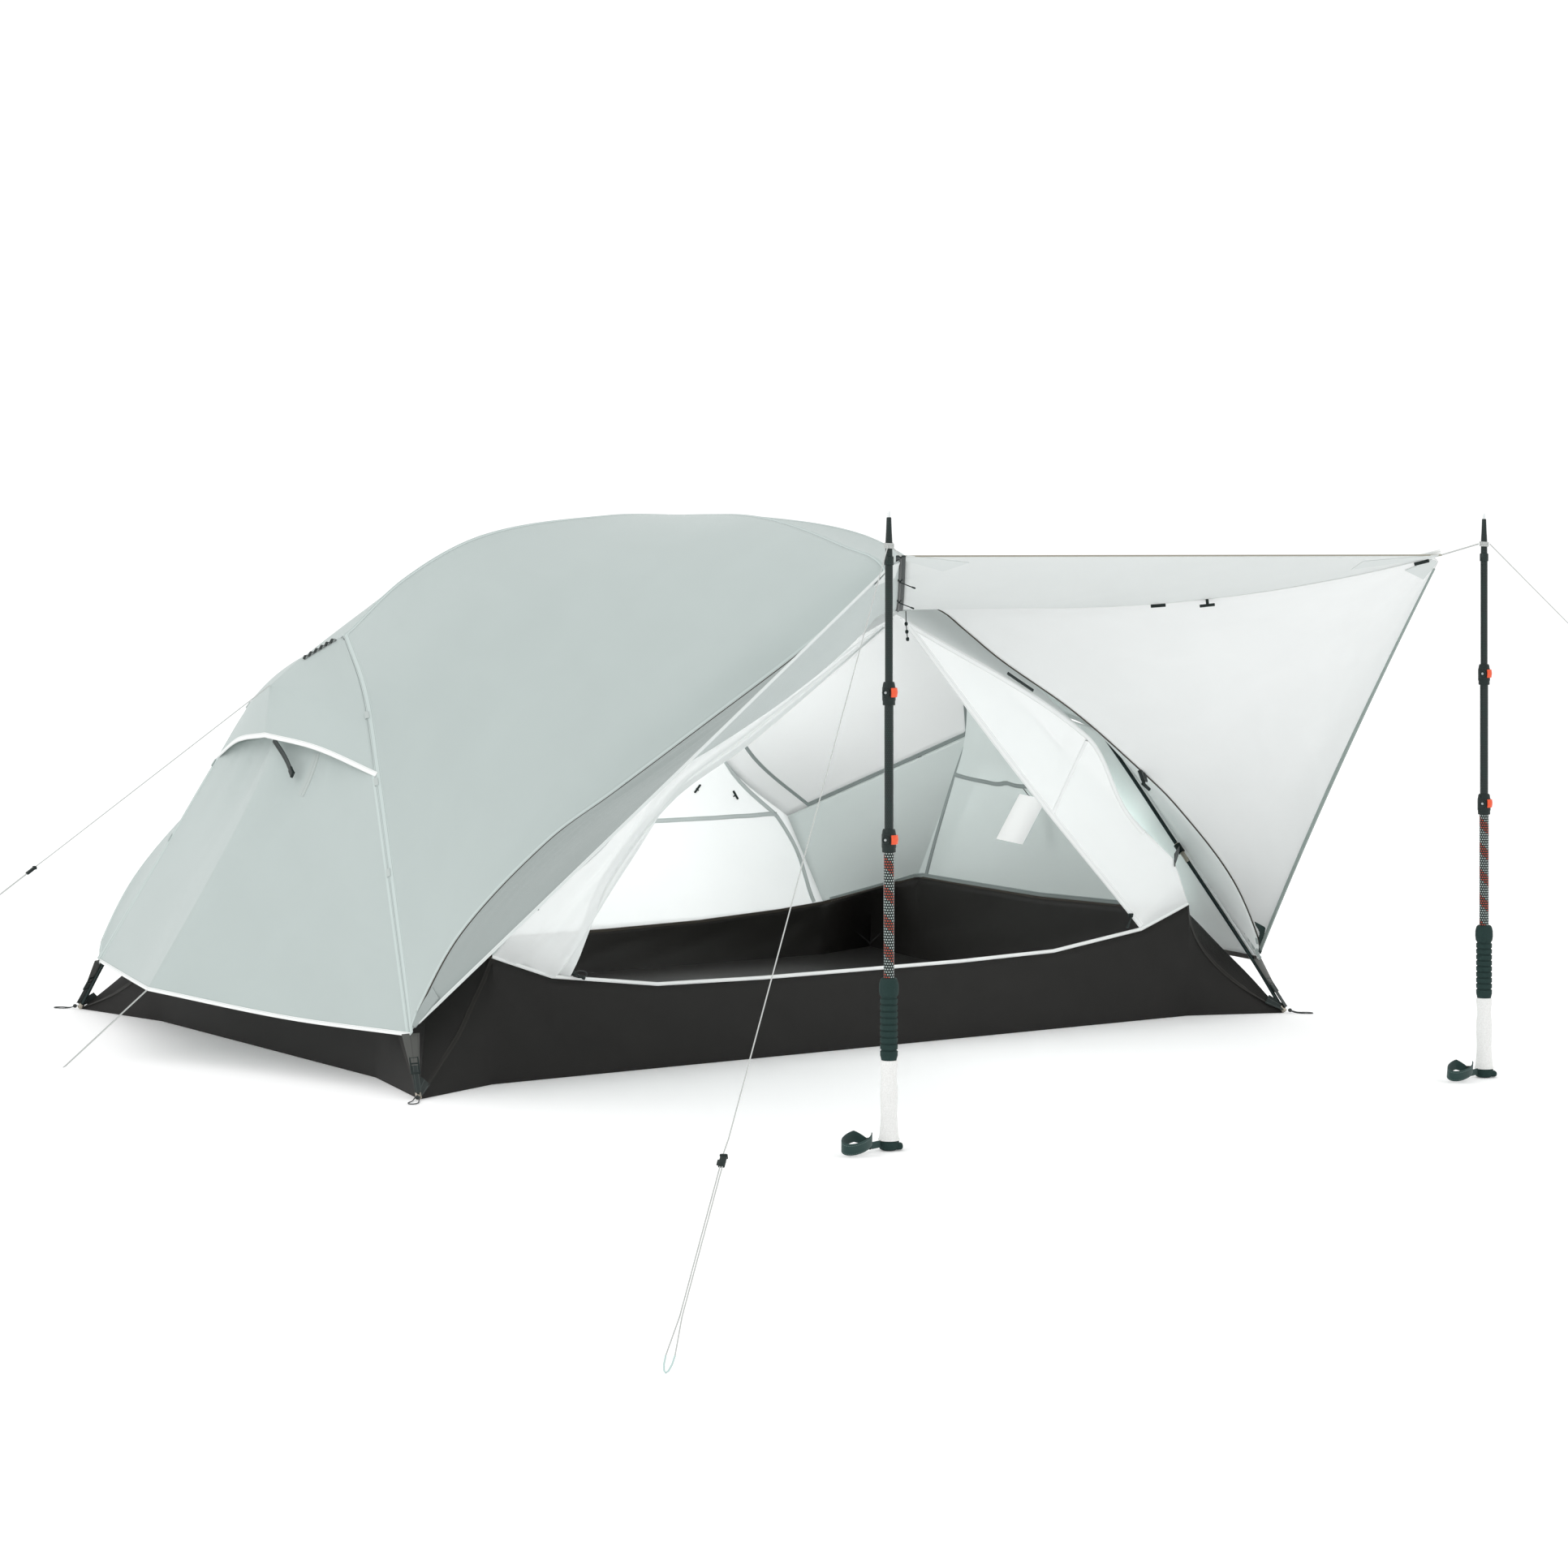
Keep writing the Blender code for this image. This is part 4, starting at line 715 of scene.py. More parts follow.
def cut_group(name, inputs, outputs):
    """A node group that reads a vector and some numbers, with its start, split and end nodes."""
    group = bpy.data.node_groups.new(name, "ShaderNodeTree")
    for socket in inputs:
        group.interface.new_socket(socket, in_out="INPUT", socket_type="NodeSocketFloat")
    for socket in outputs:
        group.interface.new_socket(socket, in_out="OUTPUT", socket_type="NodeSocketFloat")
    group.interface.new_socket("Vector", in_out="INPUT", socket_type="NodeSocketVector")
    start = group.nodes.new("NodeGroupInput")
    split = group.nodes.new("ShaderNodeSeparateXYZ")
    group.links.new(start.outputs["Vector"], split.inputs[0])
    return group, start, split, group.nodes.new("NodeGroupOutput")


def ripstop_group():
    """A woven cloth: crossing threads, with a thicker pair of threads every few millimetres, and a broad crease
    noise that also darkens the tone as painted crease shade.
    """
    group, start, split, end = cut_group("ripstop", ("Grid", "Thread", "Crease Shade"), ("Shade", "Height"))
    threads = []
    squares = []
    for axis in ("X", "Y"):
        turn = maths(group, "MULTIPLY", ("DIVIDE", split.outputs[axis], start.outputs["Thread"]), math.tau)
        threads.append(maths(group, "SINE", turn))
        share = maths(group, "FRACT", ("DIVIDE", split.outputs[axis], start.outputs["Grid"]))
        squares.append(maths(group, "LESS_THAN", share, 0.07))
    weave = maths(group, "MULTIPLY", threads[0], threads[1])
    rip = maths(group, "MAXIMUM", squares[0], squares[1])
    crease_shade_noise = group.nodes.new("ShaderNodeTexNoise")
    fill(crease_shade_noise, {"Scale": 5.5, "Detail": 3.0, "Distortion": 0.6})
    group.links.new(start.outputs["Vector"], crease_shade_noise.inputs["Vector"])
    # The crease noise goes into the tone as well as the relief: painted crease shade.
    fold = maths(group, "MULTIPLY", crease_shade_noise.outputs["Fac"], start.outputs["Crease Shade"])
    shade_out = maths(group, "ADD", fold, ("MULTIPLY", rip, 0.25))
    low = maths(group, "ADD", ("MULTIPLY", weave, 0.02), ("MULTIPLY", rip, 0.05))
    group.links.new(shade_out, end.inputs["Shade"])
    group.links.new(maths(group, "ADD", low, fold), end.inputs["Height"])
    return group


def stitch_group():
    """Two rows of running stitch along a tape, and the cross ribs of its weave."""
    group, start, split, end = cut_group("stitches", ("Row A", "Row B", "Stitch"), ("Thread", "Height"))
    dash = maths(group, "FRACT", ("DIVIDE", split.outputs["X"], start.outputs["Stitch"]))
    dash = maths(group, "LESS_THAN", dash, 0.68)
    rows = []
    for row in ("Row A", "Row B"):
        off = maths(group, "ABSOLUTE", ("SUBTRACT", split.outputs["Y"], start.outputs[row]))
        rows.append(maths(group, "LESS_THAN", off, 0.00045))
    thread = maths(group, "MULTIPLY", ("MAXIMUM", rows[0], rows[1]), dash)
    rib = maths(group, "SINE", ("MULTIPLY", split.outputs["X"], math.tau / 0.0009))
    group.links.new(thread, end.inputs["Thread"])
    group.links.new(maths(group, "ADD", thread, ("MULTIPLY", rib, 0.12)), end.inputs["Height"])
    return group


RIPSTOP = ripstop_group()
STITCHES = stitch_group()


def on_cut(material, group, values):
    """A group node that reads the piece's own cut, in metres along the cloth."""
    tree = material.node_tree
    cut = tree.nodes.new("ShaderNodeUVMap")
    cut.uv_map = "cut"
    node = tree.nodes.new("ShaderNodeGroup")
    node.node_tree = group
    fill(node, values)
    tree.links.new(cut.outputs["UV"], node.inputs["Vector"])
    return node


def two_tone(material, share, a, b):
    """A base colour that goes from a to b with a share."""
    tree = material.node_tree
    tone = tree.nodes.new("ShaderNodeMix")
    tone.data_type = "RGBA"
    fill(tone, {"A": (*a, 1), "B": (*b, 1)})
    tree.links.new(share, tone.inputs["Factor"])
    tree.links.new(tone.outputs["Result"], tree.nodes["Principled BSDF"].inputs["Base Color"])


def cloth(name, dark, light, roughness, grid=0.005, crease_shade=0.7, depth=0.004, sheen=0.15, alpha=1.0, glow=0.0):
    """A woven cloth on the piece's own cut. dark and light are the ends of its faint change of tone, which the
    crease noise moves as painted crease shade.

    glow is the daylight that the thin cloth lets through from its other side.
    """
    made = plain_finish(name, light, roughness, sheen=sheen)
    fill(made.node_tree.nodes["Principled BSDF"], {
        "Specular IOR Level": 0.3, "Sheen Roughness": 0.5, "Alpha": alpha,
        "Emission Color": (*light, 1), "Emission Strength": glow,
    })
    weave = on_cut(made, RIPSTOP, {"Grid": grid, "Thread": THREAD_PITCH, "Crease Shade": crease_shade})
    two_tone(made, weave.outputs["Shade"], light, dark)
    relief(made, weave.outputs["Height"], depth)
    return made


def sewn_tape(name, colour, thread, rows=(0.002, 0.01)):
    """Binding or webbing with two rows of stitches, read from the piece's own cut."""
    made = plain_finish(name, colour, 0.75, sheen=0.15)
    sewn = on_cut(made, STITCHES, {"Row A": rows[0], "Row B": rows[1], "Stitch": STITCH_PITCH})
    two_tone(made, sewn.outputs["Thread"], colour, thread)
    relief(made, sewn.outputs["Height"], 0.0005, 0.6)
    return made


def shade(colour, by):
    """A lighter or darker tone of a colour."""
    return tuple(min(1.0, c * by) for c in colour)


FLY_CLOTH = cloth("fly_cloth", shade(FLY_OUTSIDE, 0.94), shade(FLY_OUTSIDE, 1.03), 0.55)
FLY_LINING = cloth("fly_lining", shade(FLY_INSIDE, 0.95), shade(FLY_INSIDE, 1.02), 0.6, glow=0.15)
FLY_FINISH = (FLY_CLOTH, FLY_LINING, "fly_cloth")
SEAM_CLOTH = sewn_tape("seam_cloth", shade(FLY_OUTSIDE, 1.14), shade(FLY_OUTSIDE, 0.55))
WHITE_BINDING = sewn_tape("white_binding", (0.84, 0.86, 0.85), (0.55, 0.58, 0.57))
BROWN_BINDING = sewn_tape("brown_binding", (0.04, 0.034, 0.026), (0.12, 0.105, 0.085))
DARK_WEBBING = sewn_tape("dark_webbing", (0.022, 0.03, 0.029), (0.075, 0.09, 0.086))
GREY_WEBBING = sewn_tape("grey_webbing", (0.46, 0.51, 0.495), (0.26, 0.3, 0.29))


def lay_cut(faces, weave, cut):
    """Scales the faces' flat cut to its size in metres."""
    for face in faces:
        for loop in face.loops:
            loop[weave].uv = (loop[weave].uv.x * cut[0], loop[weave].uv.y * cut[1])


def lined(made, thickness, inside):
    """Gives a sheet its thickness and the finish of its inner face."""
    made.data.materials.append(inside)
    shell = made.modifiers.new("thickness", "SOLIDIFY")
    shell.thickness = thickness
    shell.offset = -1.0
    shell.material_offset = 1


def panel(name, place, cut, columns, rows, outside, inside, slot, held, rests_on,
          heart=(0, 0, 0.3), replaces=(), trims=()):
    """One sewn panel from one grid. place turns the shares across and along into a point in space."""
    bm = bmesh.new()
    weave = bm.loops.layers.uv.new("cut")
    bmesh.ops.create_grid(bm, x_segments=columns, y_segments=rows, size=0.5, calc_uvs=True)
    for v in bm.verts:
        v.co = place(v.co.x + 0.5, v.co.y + 0.5)
    lay_cut(bm.faces, weave, cut)
    bmesh.ops.remove_doubles(bm, verts=bm.verts, dist=1e-5)
    bm.normal_update()
    heart = Vector(heart)
    if sum(f.normal.dot(f.calc_center_median() - heart) * f.calc_area() for f in bm.faces) < 0:
        bmesh.ops.reverse_faces(bm, faces=bm.faces)
    area = sum(f.calc_area() for f in bm.faces)
    made = finished(name, bm, outside, TENT, replaces)
    lined(made, CLOTH_THICKNESS, inside)
    whole = cut[0] * cut[1]
    area = min(whole, max(area, LEAST_AREA_SHARE * whole))
    return made


def frames_across(place, shares, heart, count=60, into=None):
    """Frames along a line on a panel, through shares (u, v): the point, the way beside it and the way out."""
    line = smooth([Vector((u, v, 0)) for u, v in shares], count)
    points = [place(p.x, p.y) for p in line]
    frames = []
    for k, p in enumerate(line):
        across = place(min(p.x + 0.012, 1), p.y) - place(max(p.x - 0.012, 0), p.y)
        down = place(p.x, min(p.y + 0.012, 1)) - place(p.x, max(p.y - 0.012, 0))
        out = across.cross(down).normalized()
        if out.dot(points[k] - Vector(heart)) < 0:
            out = -out
        ahead = (points[min(k + 1, count)] - points[max(k - 1, 0)]).normalized()
        beside = out.cross(ahead).normalized()
        if into and beside.dot(place(*into) - points[k]) < 0:
            beside = -beside
        frames.append((points[k], beside, out))
    return frames


def frames_along(points, out):
    """Frames along a free line whose band faces the way out."""
    frames = []
    for k, p in enumerate(points):
        ahead = (points[min(k + 1, len(points) - 1)] - points[max(k - 1, 0)]).normalized()
        beside = Vector(out).cross(ahead).normalized()
        frames.append((p, beside, ahead.cross(beside).normalized()))
    return frames


def swept(name, frames, profile, look, body=TENT, replaces=()):
    """A band, tape or piping: a closed profile of (beside, out) carried along its frames."""
    count = len(frames) - 1
    round_by = len(profile)
    reach = [0.0]
    for a, b in zip(frames, frames[1:]):
        reach.append(reach[-1] + (b[0] - a[0]).length)
    girth = [0.0]
    for a, b in zip(profile, profile[1:] + profile[:1]):
        girth.append(girth[-1] + math.dist(a, b))
    bm = bmesh.new()
    cut = bm.loops.layers.uv.new("cut")
    bmesh.ops.create_grid(bm, x_segments=count, y_segments=round_by, size=0.5, calc_uvs=True)
    for face in bm.faces:
        for loop in face.loops:
            spot = loop.vert.co
            loop[cut].uv = (reach[round((spot.x + 0.5) * count)], girth[round((spot.y + 0.5) * round_by)])
    for v in bm.verts:
        point, beside, out = frames[round((v.co.x + 0.5) * count)]
        a, b = profile[round((v.co.y + 0.5) * round_by) % round_by]
        v.co = point + beside * a + out * b
    bmesh.ops.remove_doubles(bm, verts=bm.verts, dist=1e-6)
    bmesh.ops.holes_fill(bm, edges=[e for e in bm.edges if e.is_boundary], sides=0)
    bmesh.ops.recalc_face_normals(bm, faces=bm.faces)
    return finished(name, bm, look, body, replaces)


def flat_band(low, high, top=0.001, under=-0.0003):
    """A tape's profile, from low to high beside the line, that lies on the cloth."""
    edge = (top - under) * 0.35
    slim = abs(edge)
    crown = [(low, top - edge), (low + slim, top), (high - slim, top), (high, top - edge)]
    return crown + [(high, under), (low, under)]


def fold_over(width, half=0.0014, proud=0.0014):
    """A binding's profile, folded over the edge of a cloth."""
    inner = -CLOTH_THICKNESS - half
    return [(width, half), (0, half), (-proud, half / 2), (-proud, inner + half / 2), (0, inner), (width, inner)]


def mirrored(frames, sx, sy=1):
    """The same frames on another side of the tent."""
    turn = Vector((sx, sy, 1))
    return [tuple(piece * turn for piece in frame) for frame in frames]


def on_side(place, sx, sy=1):
    """A panel's place on another side of the tent."""
    turn = Vector((sx, sy, 1))
    return lambda u, v: place(u, v) * turn


def centred(half, top=0.001, under=-0.0003):
    """A tape's profile with the line along its middle."""
    return flat_band(-half, half, top, under)


def webbing_band(half):
    """The profile of webbing that hangs free."""
    return centred(half, 0.0008, -0.0008)


roof_wide = max(length_of(RIDGE_SEAM), length_of(DOOR_SEAM))
roof_tall = max(length_of(LEG_SEAM), length_of(CROSS_SEAM))


def drawn_roof(u, v):
    """The roof panel as its four seams alone shape it."""
    u = trimmed(u, SEAM_GAP, SEAM_GAP, roof_wide)
    v = trimmed(v, SEAM_GAP, SEAM_GAP, roof_tall)
    return coons(RIDGE_SEAM, DOOR_SEAM[::-1], LEG_SEAM, CROSS_SEAM, u, v)


drawn = numpy.array([[drawn_roof(k / FINE, row / FINE) for k in range(FINE + 1)] for row in range(FINE + 1)])
skin = drawn.copy()
for _ in range(5000):
    skin[1:-1, 1:-1] = (skin[:-2, 1:-1] + skin[2:, 1:-1] + skin[1:-1, :-2] + skin[1:-1, 2:]) / 4
TAUT_ROOF = drawn + (skin - drawn) * FLY_TENSION


def roof_point(u, v):
    """u runs from the leg seam to the cross seam, v from the ridge to the door seam."""
    x = min(max(u, 0.0), 1.0) * FINE
    y = min(max(v, 0.0), 1.0) * FINE
    column = min(int(x), FINE - 1)
    row = min(int(y), FINE - 1)
    x -= column
    y -= row
    near = TAUT_ROOF[row, column] * (1 - x) + TAUT_ROOF[row, column + 1] * x
    far = TAUT_ROOF[row + 1, column] * (1 - x) + TAUT_ROOF[row + 1, column + 1] * x
    return Vector(near * (1 - y) + far * y)


ROOF_HEART = (0.2, 0.0, 0.2)
roof_bands = (
    ("leg", frames_across(roof_point, ((0, 0), (0, 1)), ROOF_HEART, 64, (0.5, 0.5)), 0.012),
    ("ridge", frames_across(roof_point, ((0, 0), (1, 0)), ROOF_HEART, 64, (0.5, 0.5)), 0.007),
    ("cross", frames_across(roof_point, ((1, 0.01), (1, 1)), ROOF_HEART, 64, (0.5, 0.5)), 0.0065),
    ("door", frames_across(roof_point, ((0.01, 1), (1, 1)), ROOF_HEART, 64, (0.5, 0.5)), 0.008),
)
for side, sx, sy in FOUR_SIDES:
    bands = []
    for where, frames, width in roof_bands:
        bands.append(swept(f"{where}_seam_band_{side}", mirrored(frames, sx, sy), flat_band(0.0002, width, 0.0006),
                           SEAM_CLOTH))
    for number, share in enumerate((0.3, 0.455, 0.65)):
        point, beside, out = mirrored([roof_bands[0][1][round(share * 64)]], sx, sy)[0]
        axes = (beside.cross(out), beside, out)
        tie = block((0.018, 0.009, 0.003), point + out * 0.001, axes, 0.0009)
        bands.append(finished(f"leg_seam_tie_{number}_{side}", tie, GREY_WEBBING))
    panel(
        f"roof_panel_{side}", on_side(roof_point, sx, sy), (roof_wide, roof_tall), 64, 64,
        *FLY_FINISH, "stretched", ["ridge_tube", "cross_tube", f"leg_tube_{side}"],
        replaces=[f"fly_{side}"], trims=bands,
    )

hood_run = smooth([HUB_TOP, HUB_TOP.lerp(HOOD_SHOULDER, 0.55) + UP * HOOD_CREST_RISE, HOOD_SHOULDER], 30)
HOOD_MIDDLE = hood_run + straight(HOOD_SHOULDER, HOOD_LIP, 10)[1:]
hood_side = [along(LEG_SEAM, HOOD_SHARE * k / 40) for k in range(41)]
HOOD_EDGE = smooth([HOOD_LIP, HOOD_LIP.lerp(hood_side[-1], 0.5) + HOOD_EDGE_BOW, hood_side[-1]], 40)


def hood_point(u, v):
    """u runs from the front leg seam over the middle to the back one, v from the hub to the lip."""
    share = abs(2 * u - 1)
    v = 0.03 + 0.97 * v
    middle = along(HOOD_MIDDLE, v)
    side = along(hood_side, v)
    share = min(share, 1 - SEAM_GAP / max((side - middle).length, 0.01))
    lift = along(HOOD_EDGE, share) - HOOD_EDGE[0].lerp(HOOD_EDGE[-1], share)
    point = middle.lerp(side, share) + lift * v**1.5
    return Vector((point.x, point.y if u < 0.5 else -point.y, point.z))


lower_side = [along(LEG_SEAM, END_PANEL_SHARE + (1 - END_PANEL_SHARE) * k / 40) for k in range(41)]
waist = VENT_PANEL_TOP.lerp(HEM_TIP, 0.45) - Vector((END_PANEL_HOLLOW, 0, 0))
END_MIDDLE = smooth([VENT_PANEL_TOP, waist, HEM_TIP], 40)
END_TOP = straight(VENT_PANEL_TOP, lower_side[0], 40)
END_HEM = smooth([HEM_TIP, HEM_TIP.lerp(FLY_CORNER, 0.5) + END_HEM_BOW, FLY_CORNER], 40)
end_tall = max(length_of(END_MIDDLE), length_of(lower_side))
end_wide = length_of(END_HEM)


def end_point(u, v):
    """u runs from the front leg seam to the back one, v from under the hood to the hem."""
    share = trimmed(abs(2 * u - 1), 0, SEAM_GAP, end_wide)
    down = trimmed(v, VENT_PANEL_TRIM, SEAM_GAP, end_tall)
    point = coons(END_TOP, END_HEM, END_MIDDLE, lower_side, share, down)
    gather = math.exp(-((share - 0.3) / 0.16) ** 2) * math.exp(-(down / 0.45) ** 2)
    point.x -= END_GATHER_DEPTH * gather * math.sin(math.pi * min(1, down * 2.4)) * (1 - share)
    ripple = math.sin(share * 26) * math.exp(-(down / 0.22) ** 2) * (1 - share) * min(1, down * 12)
    point.x += END_RIPPLE_DEPTH * ripple
    return Vector((point.x, point.y if u < 0.5 else -point.y, point.z))


END_HEART = (0.3, 0, 0.4)
PROP_BAND = centred(0.007, 0.0007, -0.0007)
prop_top = HOOD_LIP + PROP_TOP_STEP
prop_end = prop_top + PROP_REACH
hood_lip_frames = frames_across(hood_point, ((0, 1), (1, 1)), END_HEART, 80, (0.5, 0.5))
crest = frames_across(hood_point, ((0.47, 0.05), (0.46, 0.22), (0.47, 0.4)), END_HEART, 60)
wavy = [(p + out * (0.001 + 0.0022 * (1 - math.cos(k * 0.62))), b, out) for k, (p, b, out) in enumerate(crest)]
hem_frames = frames_across(end_point, ((0, 1), (1, 1)), END_HEART, 100, (0.5, 0.5))
end_bands = (
    ("front", frames_across(end_point, ((0, 0.02), (0, 1)), END_HEART, 50, (0.5, 0.5))),
    ("back", frames_across(end_point, ((1, 0.02), (1, 1)), END_HEART, 50, (0.5, 0.5))),
)
for side, sx in BOTH_SIDES:
    trims = [
        swept(f"hood_edge_{side}", mirrored(hood_lip_frames, sx), fold_over(0.0095, 0.0009, 0.0008), WHITE_BINDING),
        swept(f"hood_strap_{side}", mirrored(wavy, sx), centred(0.0038, 0.0012, 0.0), DARK_WEBBING),
    ]
    panel(
        f"hood_{side}", on_side(hood_point, sx), HOOD_CUT, 60, 40, *FLY_FINISH,
        "stretched", [f"hub_body_{side}"], replaces=[f"vent_hood_{side}"], trims=trims,
    )
    trims = [
        swept(f"end_hem_{side}", mirrored(hem_frames, sx), fold_over(0.006), WHITE_BINDING),
        swept(f"end_hem_lining_{side}", mirrored(hem_frames, sx), flat_band(0.0002, 0.012, -0.0021, -0.0031),
              BROWN_BINDING),
    ]
    for where, frames in end_bands:
        trims.append(swept(f"end_seam_band_{where}_{side}", mirrored(frames, sx), flat_band(0.0002, 0.009, 0.0006),
                           SEAM_CLOTH))
    panel(
        f"end_panel_{side}", on_side(end_point, sx), (2 * end_wide, end_tall), 100, 60,
        *FLY_FINISH, "stretched", [f"leg_tube_front_{side}", f"leg_tube_back_{side}"],
        replaces=[f"fly_end_{side}"], trims=trims,
    )
    route = smooth(flipped([prop_top, prop_top.lerp(prop_end, 0.5) - Vector((0.004, 0, 0)), prop_end], sx), 24)
    strap = swept(f"hood_prop_strap_{side}", frames_along(route, (sx, 0, 0)), PROP_BAND, DARK_WEBBING,
                  f"vent_prop_{side}_part", [f"vent_prop_{side}"])
    way = (route[-1] - route[-2]).normalized()
    axes = three_ways(way, Vector((sx, 0, 0)))
    grip_block = joined([
        block((0.02, 0.0145, 0.005), route[-1] - way * 0.011, axes, 0.0012),
        block((0.004, 0.0145, 0.0066), route[-1] - way * 0.004, axes, 0.001),
    ])
    finished(f"hood_prop_end_{side}", grip_block, body=f"vent_prop_{side}_part")
    patch = frames_across(end_point, ((0.31, 0.045), (0.345, 0.215)), END_HEART, 16)
    swept(f"vent_patch_{side}", mirrored(patch, sx), centred(0.011), GREY_WEBBING)

VESTIBULE_FOOT = Vector((0, -DOOR_APEX.y + VESTIBULE_REACH, VESTIBULE_FOOT_HEIGHT))
back_seam = flipped(DOOR_SEAM, 1, -1)
vestibule_zip = straight(back_seam[0], VESTIBULE_FOOT, 40)
hem_middle = back_seam[-1].lerp(VESTIBULE_FOOT, 0.5) + VESTIBULE_HEM_BOW
vestibule_hem = smooth([back_seam[-1], hem_middle, VESTIBULE_FOOT], 40)
vestibule_wide = length_of(back_seam)
vestibule_tall = max(length_of(vestibule_zip), length_of(vestibule_hem))


def vestibule_point(u, v):
    """u runs from the zip to the corner along the fly's seam, v from the seam to the foot."""
    u = trimmed(u, SEAM_GAP, VESTIBULE_TOP_TRIM, vestibule_wide)
    v = trimmed(v, SEAM_GAP, VESTIBULE_FOOT_TRIM, vestibule_tall)
    point = coons(back_seam, [VESTIBULE_FOOT] * 2, vestibule_zip, vestibule_hem, u, v)
    return point + Vector((0.0008, 0, 0))


BACK_HEART = (0, 0.6, 0.2)
vestibule_hem_frames = frames_across(vestibule_point, ((1, 0.02), (1, 1)), BACK_HEART, 60, (0.5, 0.5))
vestibule_zip_frames = frames_across(vestibule_point, ((0, 0.02), (0, 1)), BACK_HEART, 60, (0.5, 0.5))
for side, sx in BOTH_SIDES:
    trims = [
        swept(f"vestibule_hem_{side}", mirrored(vestibule_hem_frames, sx), fold_over(0.008), WHITE_BINDING),
        swept(f"vestibule_flap_{side}", mirrored(vestibule_zip_frames, sx), flat_band(-0.0004, 0.016, 0.0012),
              SEAM_CLOTH),
    ]
    panel(
        f"vestibule_{side}", on_side(vestibule_point, sx), (vestibule_wide, vestibule_tall),
        60, 40, *FLY_FINISH, "stretched", [f"roof_panel_back_{side}"],
        replaces=[f"vestibule_back_{side}"], trims=trims,
    )
zip_down = [p + out * 0.0016 - beside * 0.0012 for p, beside, out in vestibule_zip_frames]
tube("vestibule_zip", zip_down, VESTIBULE_COIL_RADIUS, DARK_CORD)
pull_at, beside, out = vestibule_zip_frames[52]
axes = (out.cross(beside), beside, out)
finished("vestibule_zip_pull", joined([
    block((0.012, 0.009, 0.004), pull_at + out * 0.0045, axes, 0.001),
    block((0.026, 0.004, 0.0018), pull_at + out * 0.0052 - UP * 0.017, axes, 0.0006),
]))


# Awning: the two halves of the front door, zipped to a roof panel and pulled out by their corners.
# Three facets of the fly's cloth with bound edges: a zip on the left seam, a sewn binding on the right.

AWNING_SEAM_SAG = 0.05
AWNING_LEFT_BELLY = 0.045
AWNING_RIGHT_HEM_BOW = 0.017
AWNING_RIGHT_HEM_WAY = Vector((-0.8, 0.2, -0.35))
AWNING_FOOT_TRIM = 0.012
AWNING_CORNER_TRIM = 0.02
AWNING_TOP_TRIM = 0.03
AWNING_STRAIN_DEPTH = 0.0075
AWNING_STRAIN_WAVES = (0.05, 0.083)
TIE_BACK_SHARE = {"left": 0.53, "right": 0.56}
TIE_BACK_CORD_RADIUS = 0.0012
TIE_BACK_BAND = centred(0.0008, 0.005, -0.005)
TOGGLE_DROP = 0.034
TOGGLE_LENGTH = 0.026
TOGGLE_RADIUS = 0.0038
AWNING_COIL_RADIUS = 0.0021
AWNING_COIL_DROP = 0.003
AWNING_PULL_WAY = Vector((0.78, -0.5, -0.36)).normalized()
AWNING_HEART = (0.0, -1.2, 0.3)
# The awning's lining is one cloth in three tones: painted shade on the left wall, painted light on the backlit
# right wall, and a tone between them on the top.
AWNING_INSIDE_LIT_AND_SHADED = {"left": (0.5, 0.56, 0.55), "right": (0.88, 0.9, 0.895), "top": (0.72, 0.755, 0.745)}
AWNING_LINING_LIT_AND_SHADED = {}
for side, colour in AWNING_INSIDE_LIT_AND_SHADED.items():
    AWNING_LINING_LIT_AND_SHADED[side] = cloth(f"awning_lining_lit_and_shaded_{side}", shade(colour, 0.95), shade(colour, 1.02), 0.6)
# The awning walls' outer face is the fly's own cloth darkened: painted shade.
DOOR_CLOTH_PAINTED_SHADE = cloth("door_cloth_painted_shade", shade(FLY_OUTSIDE, 0.6), shade(FLY_OUTSIDE, 0.7), 0.55)
ZIP_TAPE = sewn_tape("zip_tape", (0.03, 0.04, 0.039), (0.1, 0.115, 0.11), (0.002, 0.012))
GREEN_BINDING = sewn_tape("green_binding", (0.3, 0.36, 0.34), (0.16, 0.2, 0.19))
KHAKI_BINDING = sewn_tape("khaki_binding", (0.36, 0.345, 0.285), (0.2, 0.19, 0.155))
PALE_PATCH = sewn_tape("pale_patch", (0.66, 0.7, 0.69), (0.5, 0.54, 0.53), (0.003, 0.012))
DARK_GREEN = sewn_tape("dark_green_patch", (0.016, 0.04, 0.036), (0.06, 0.09, 0.085), (0.003, 0.012))


def tapered(frames, first, last):
    """The same frames, with the band's width going from a first share of it to a last one."""
    count = max(len(frames) - 1, 1)
    return [(p, b * (first + (last - first) * k / count), out) for k, (p, b, out) in enumerate(frames)]


def zip_slider(name, at, ahead, out, pull):
    """A slider on its coil, with a flat pull that hangs from it."""
    axes = (ahead, ahead.cross(out).normalized(), out)
    pull_axes = three_ways(pull, out)
    moulded = joined([
        block((0.012, 0.0085, 0.005), at, axes, 0.0012),
        block((0.005, 0.004, 0.004), at + out * 0.0036, axes, 0.0009),
        block((0.026, 0.0046, 0.0018), at + out * 0.0042 + pull * 0.015, pull_axes, 0.0006),
        block((0.007, 0.0064, 0.003), at + out * 0.0042 + pull * 0.026, pull_axes, 0.001),
    ])
    return finished(name, moulded)


def awning_seam(corner):
    """A seam that sags from the apex to a corner of the awning."""
    line = straight(DOOR_APEX, corner, 40)
    for k, p in enumerate(line):
        p.z -= 4 * AWNING_SEAM_SAG * (k / 40) * (1 - k / 40)
    return line


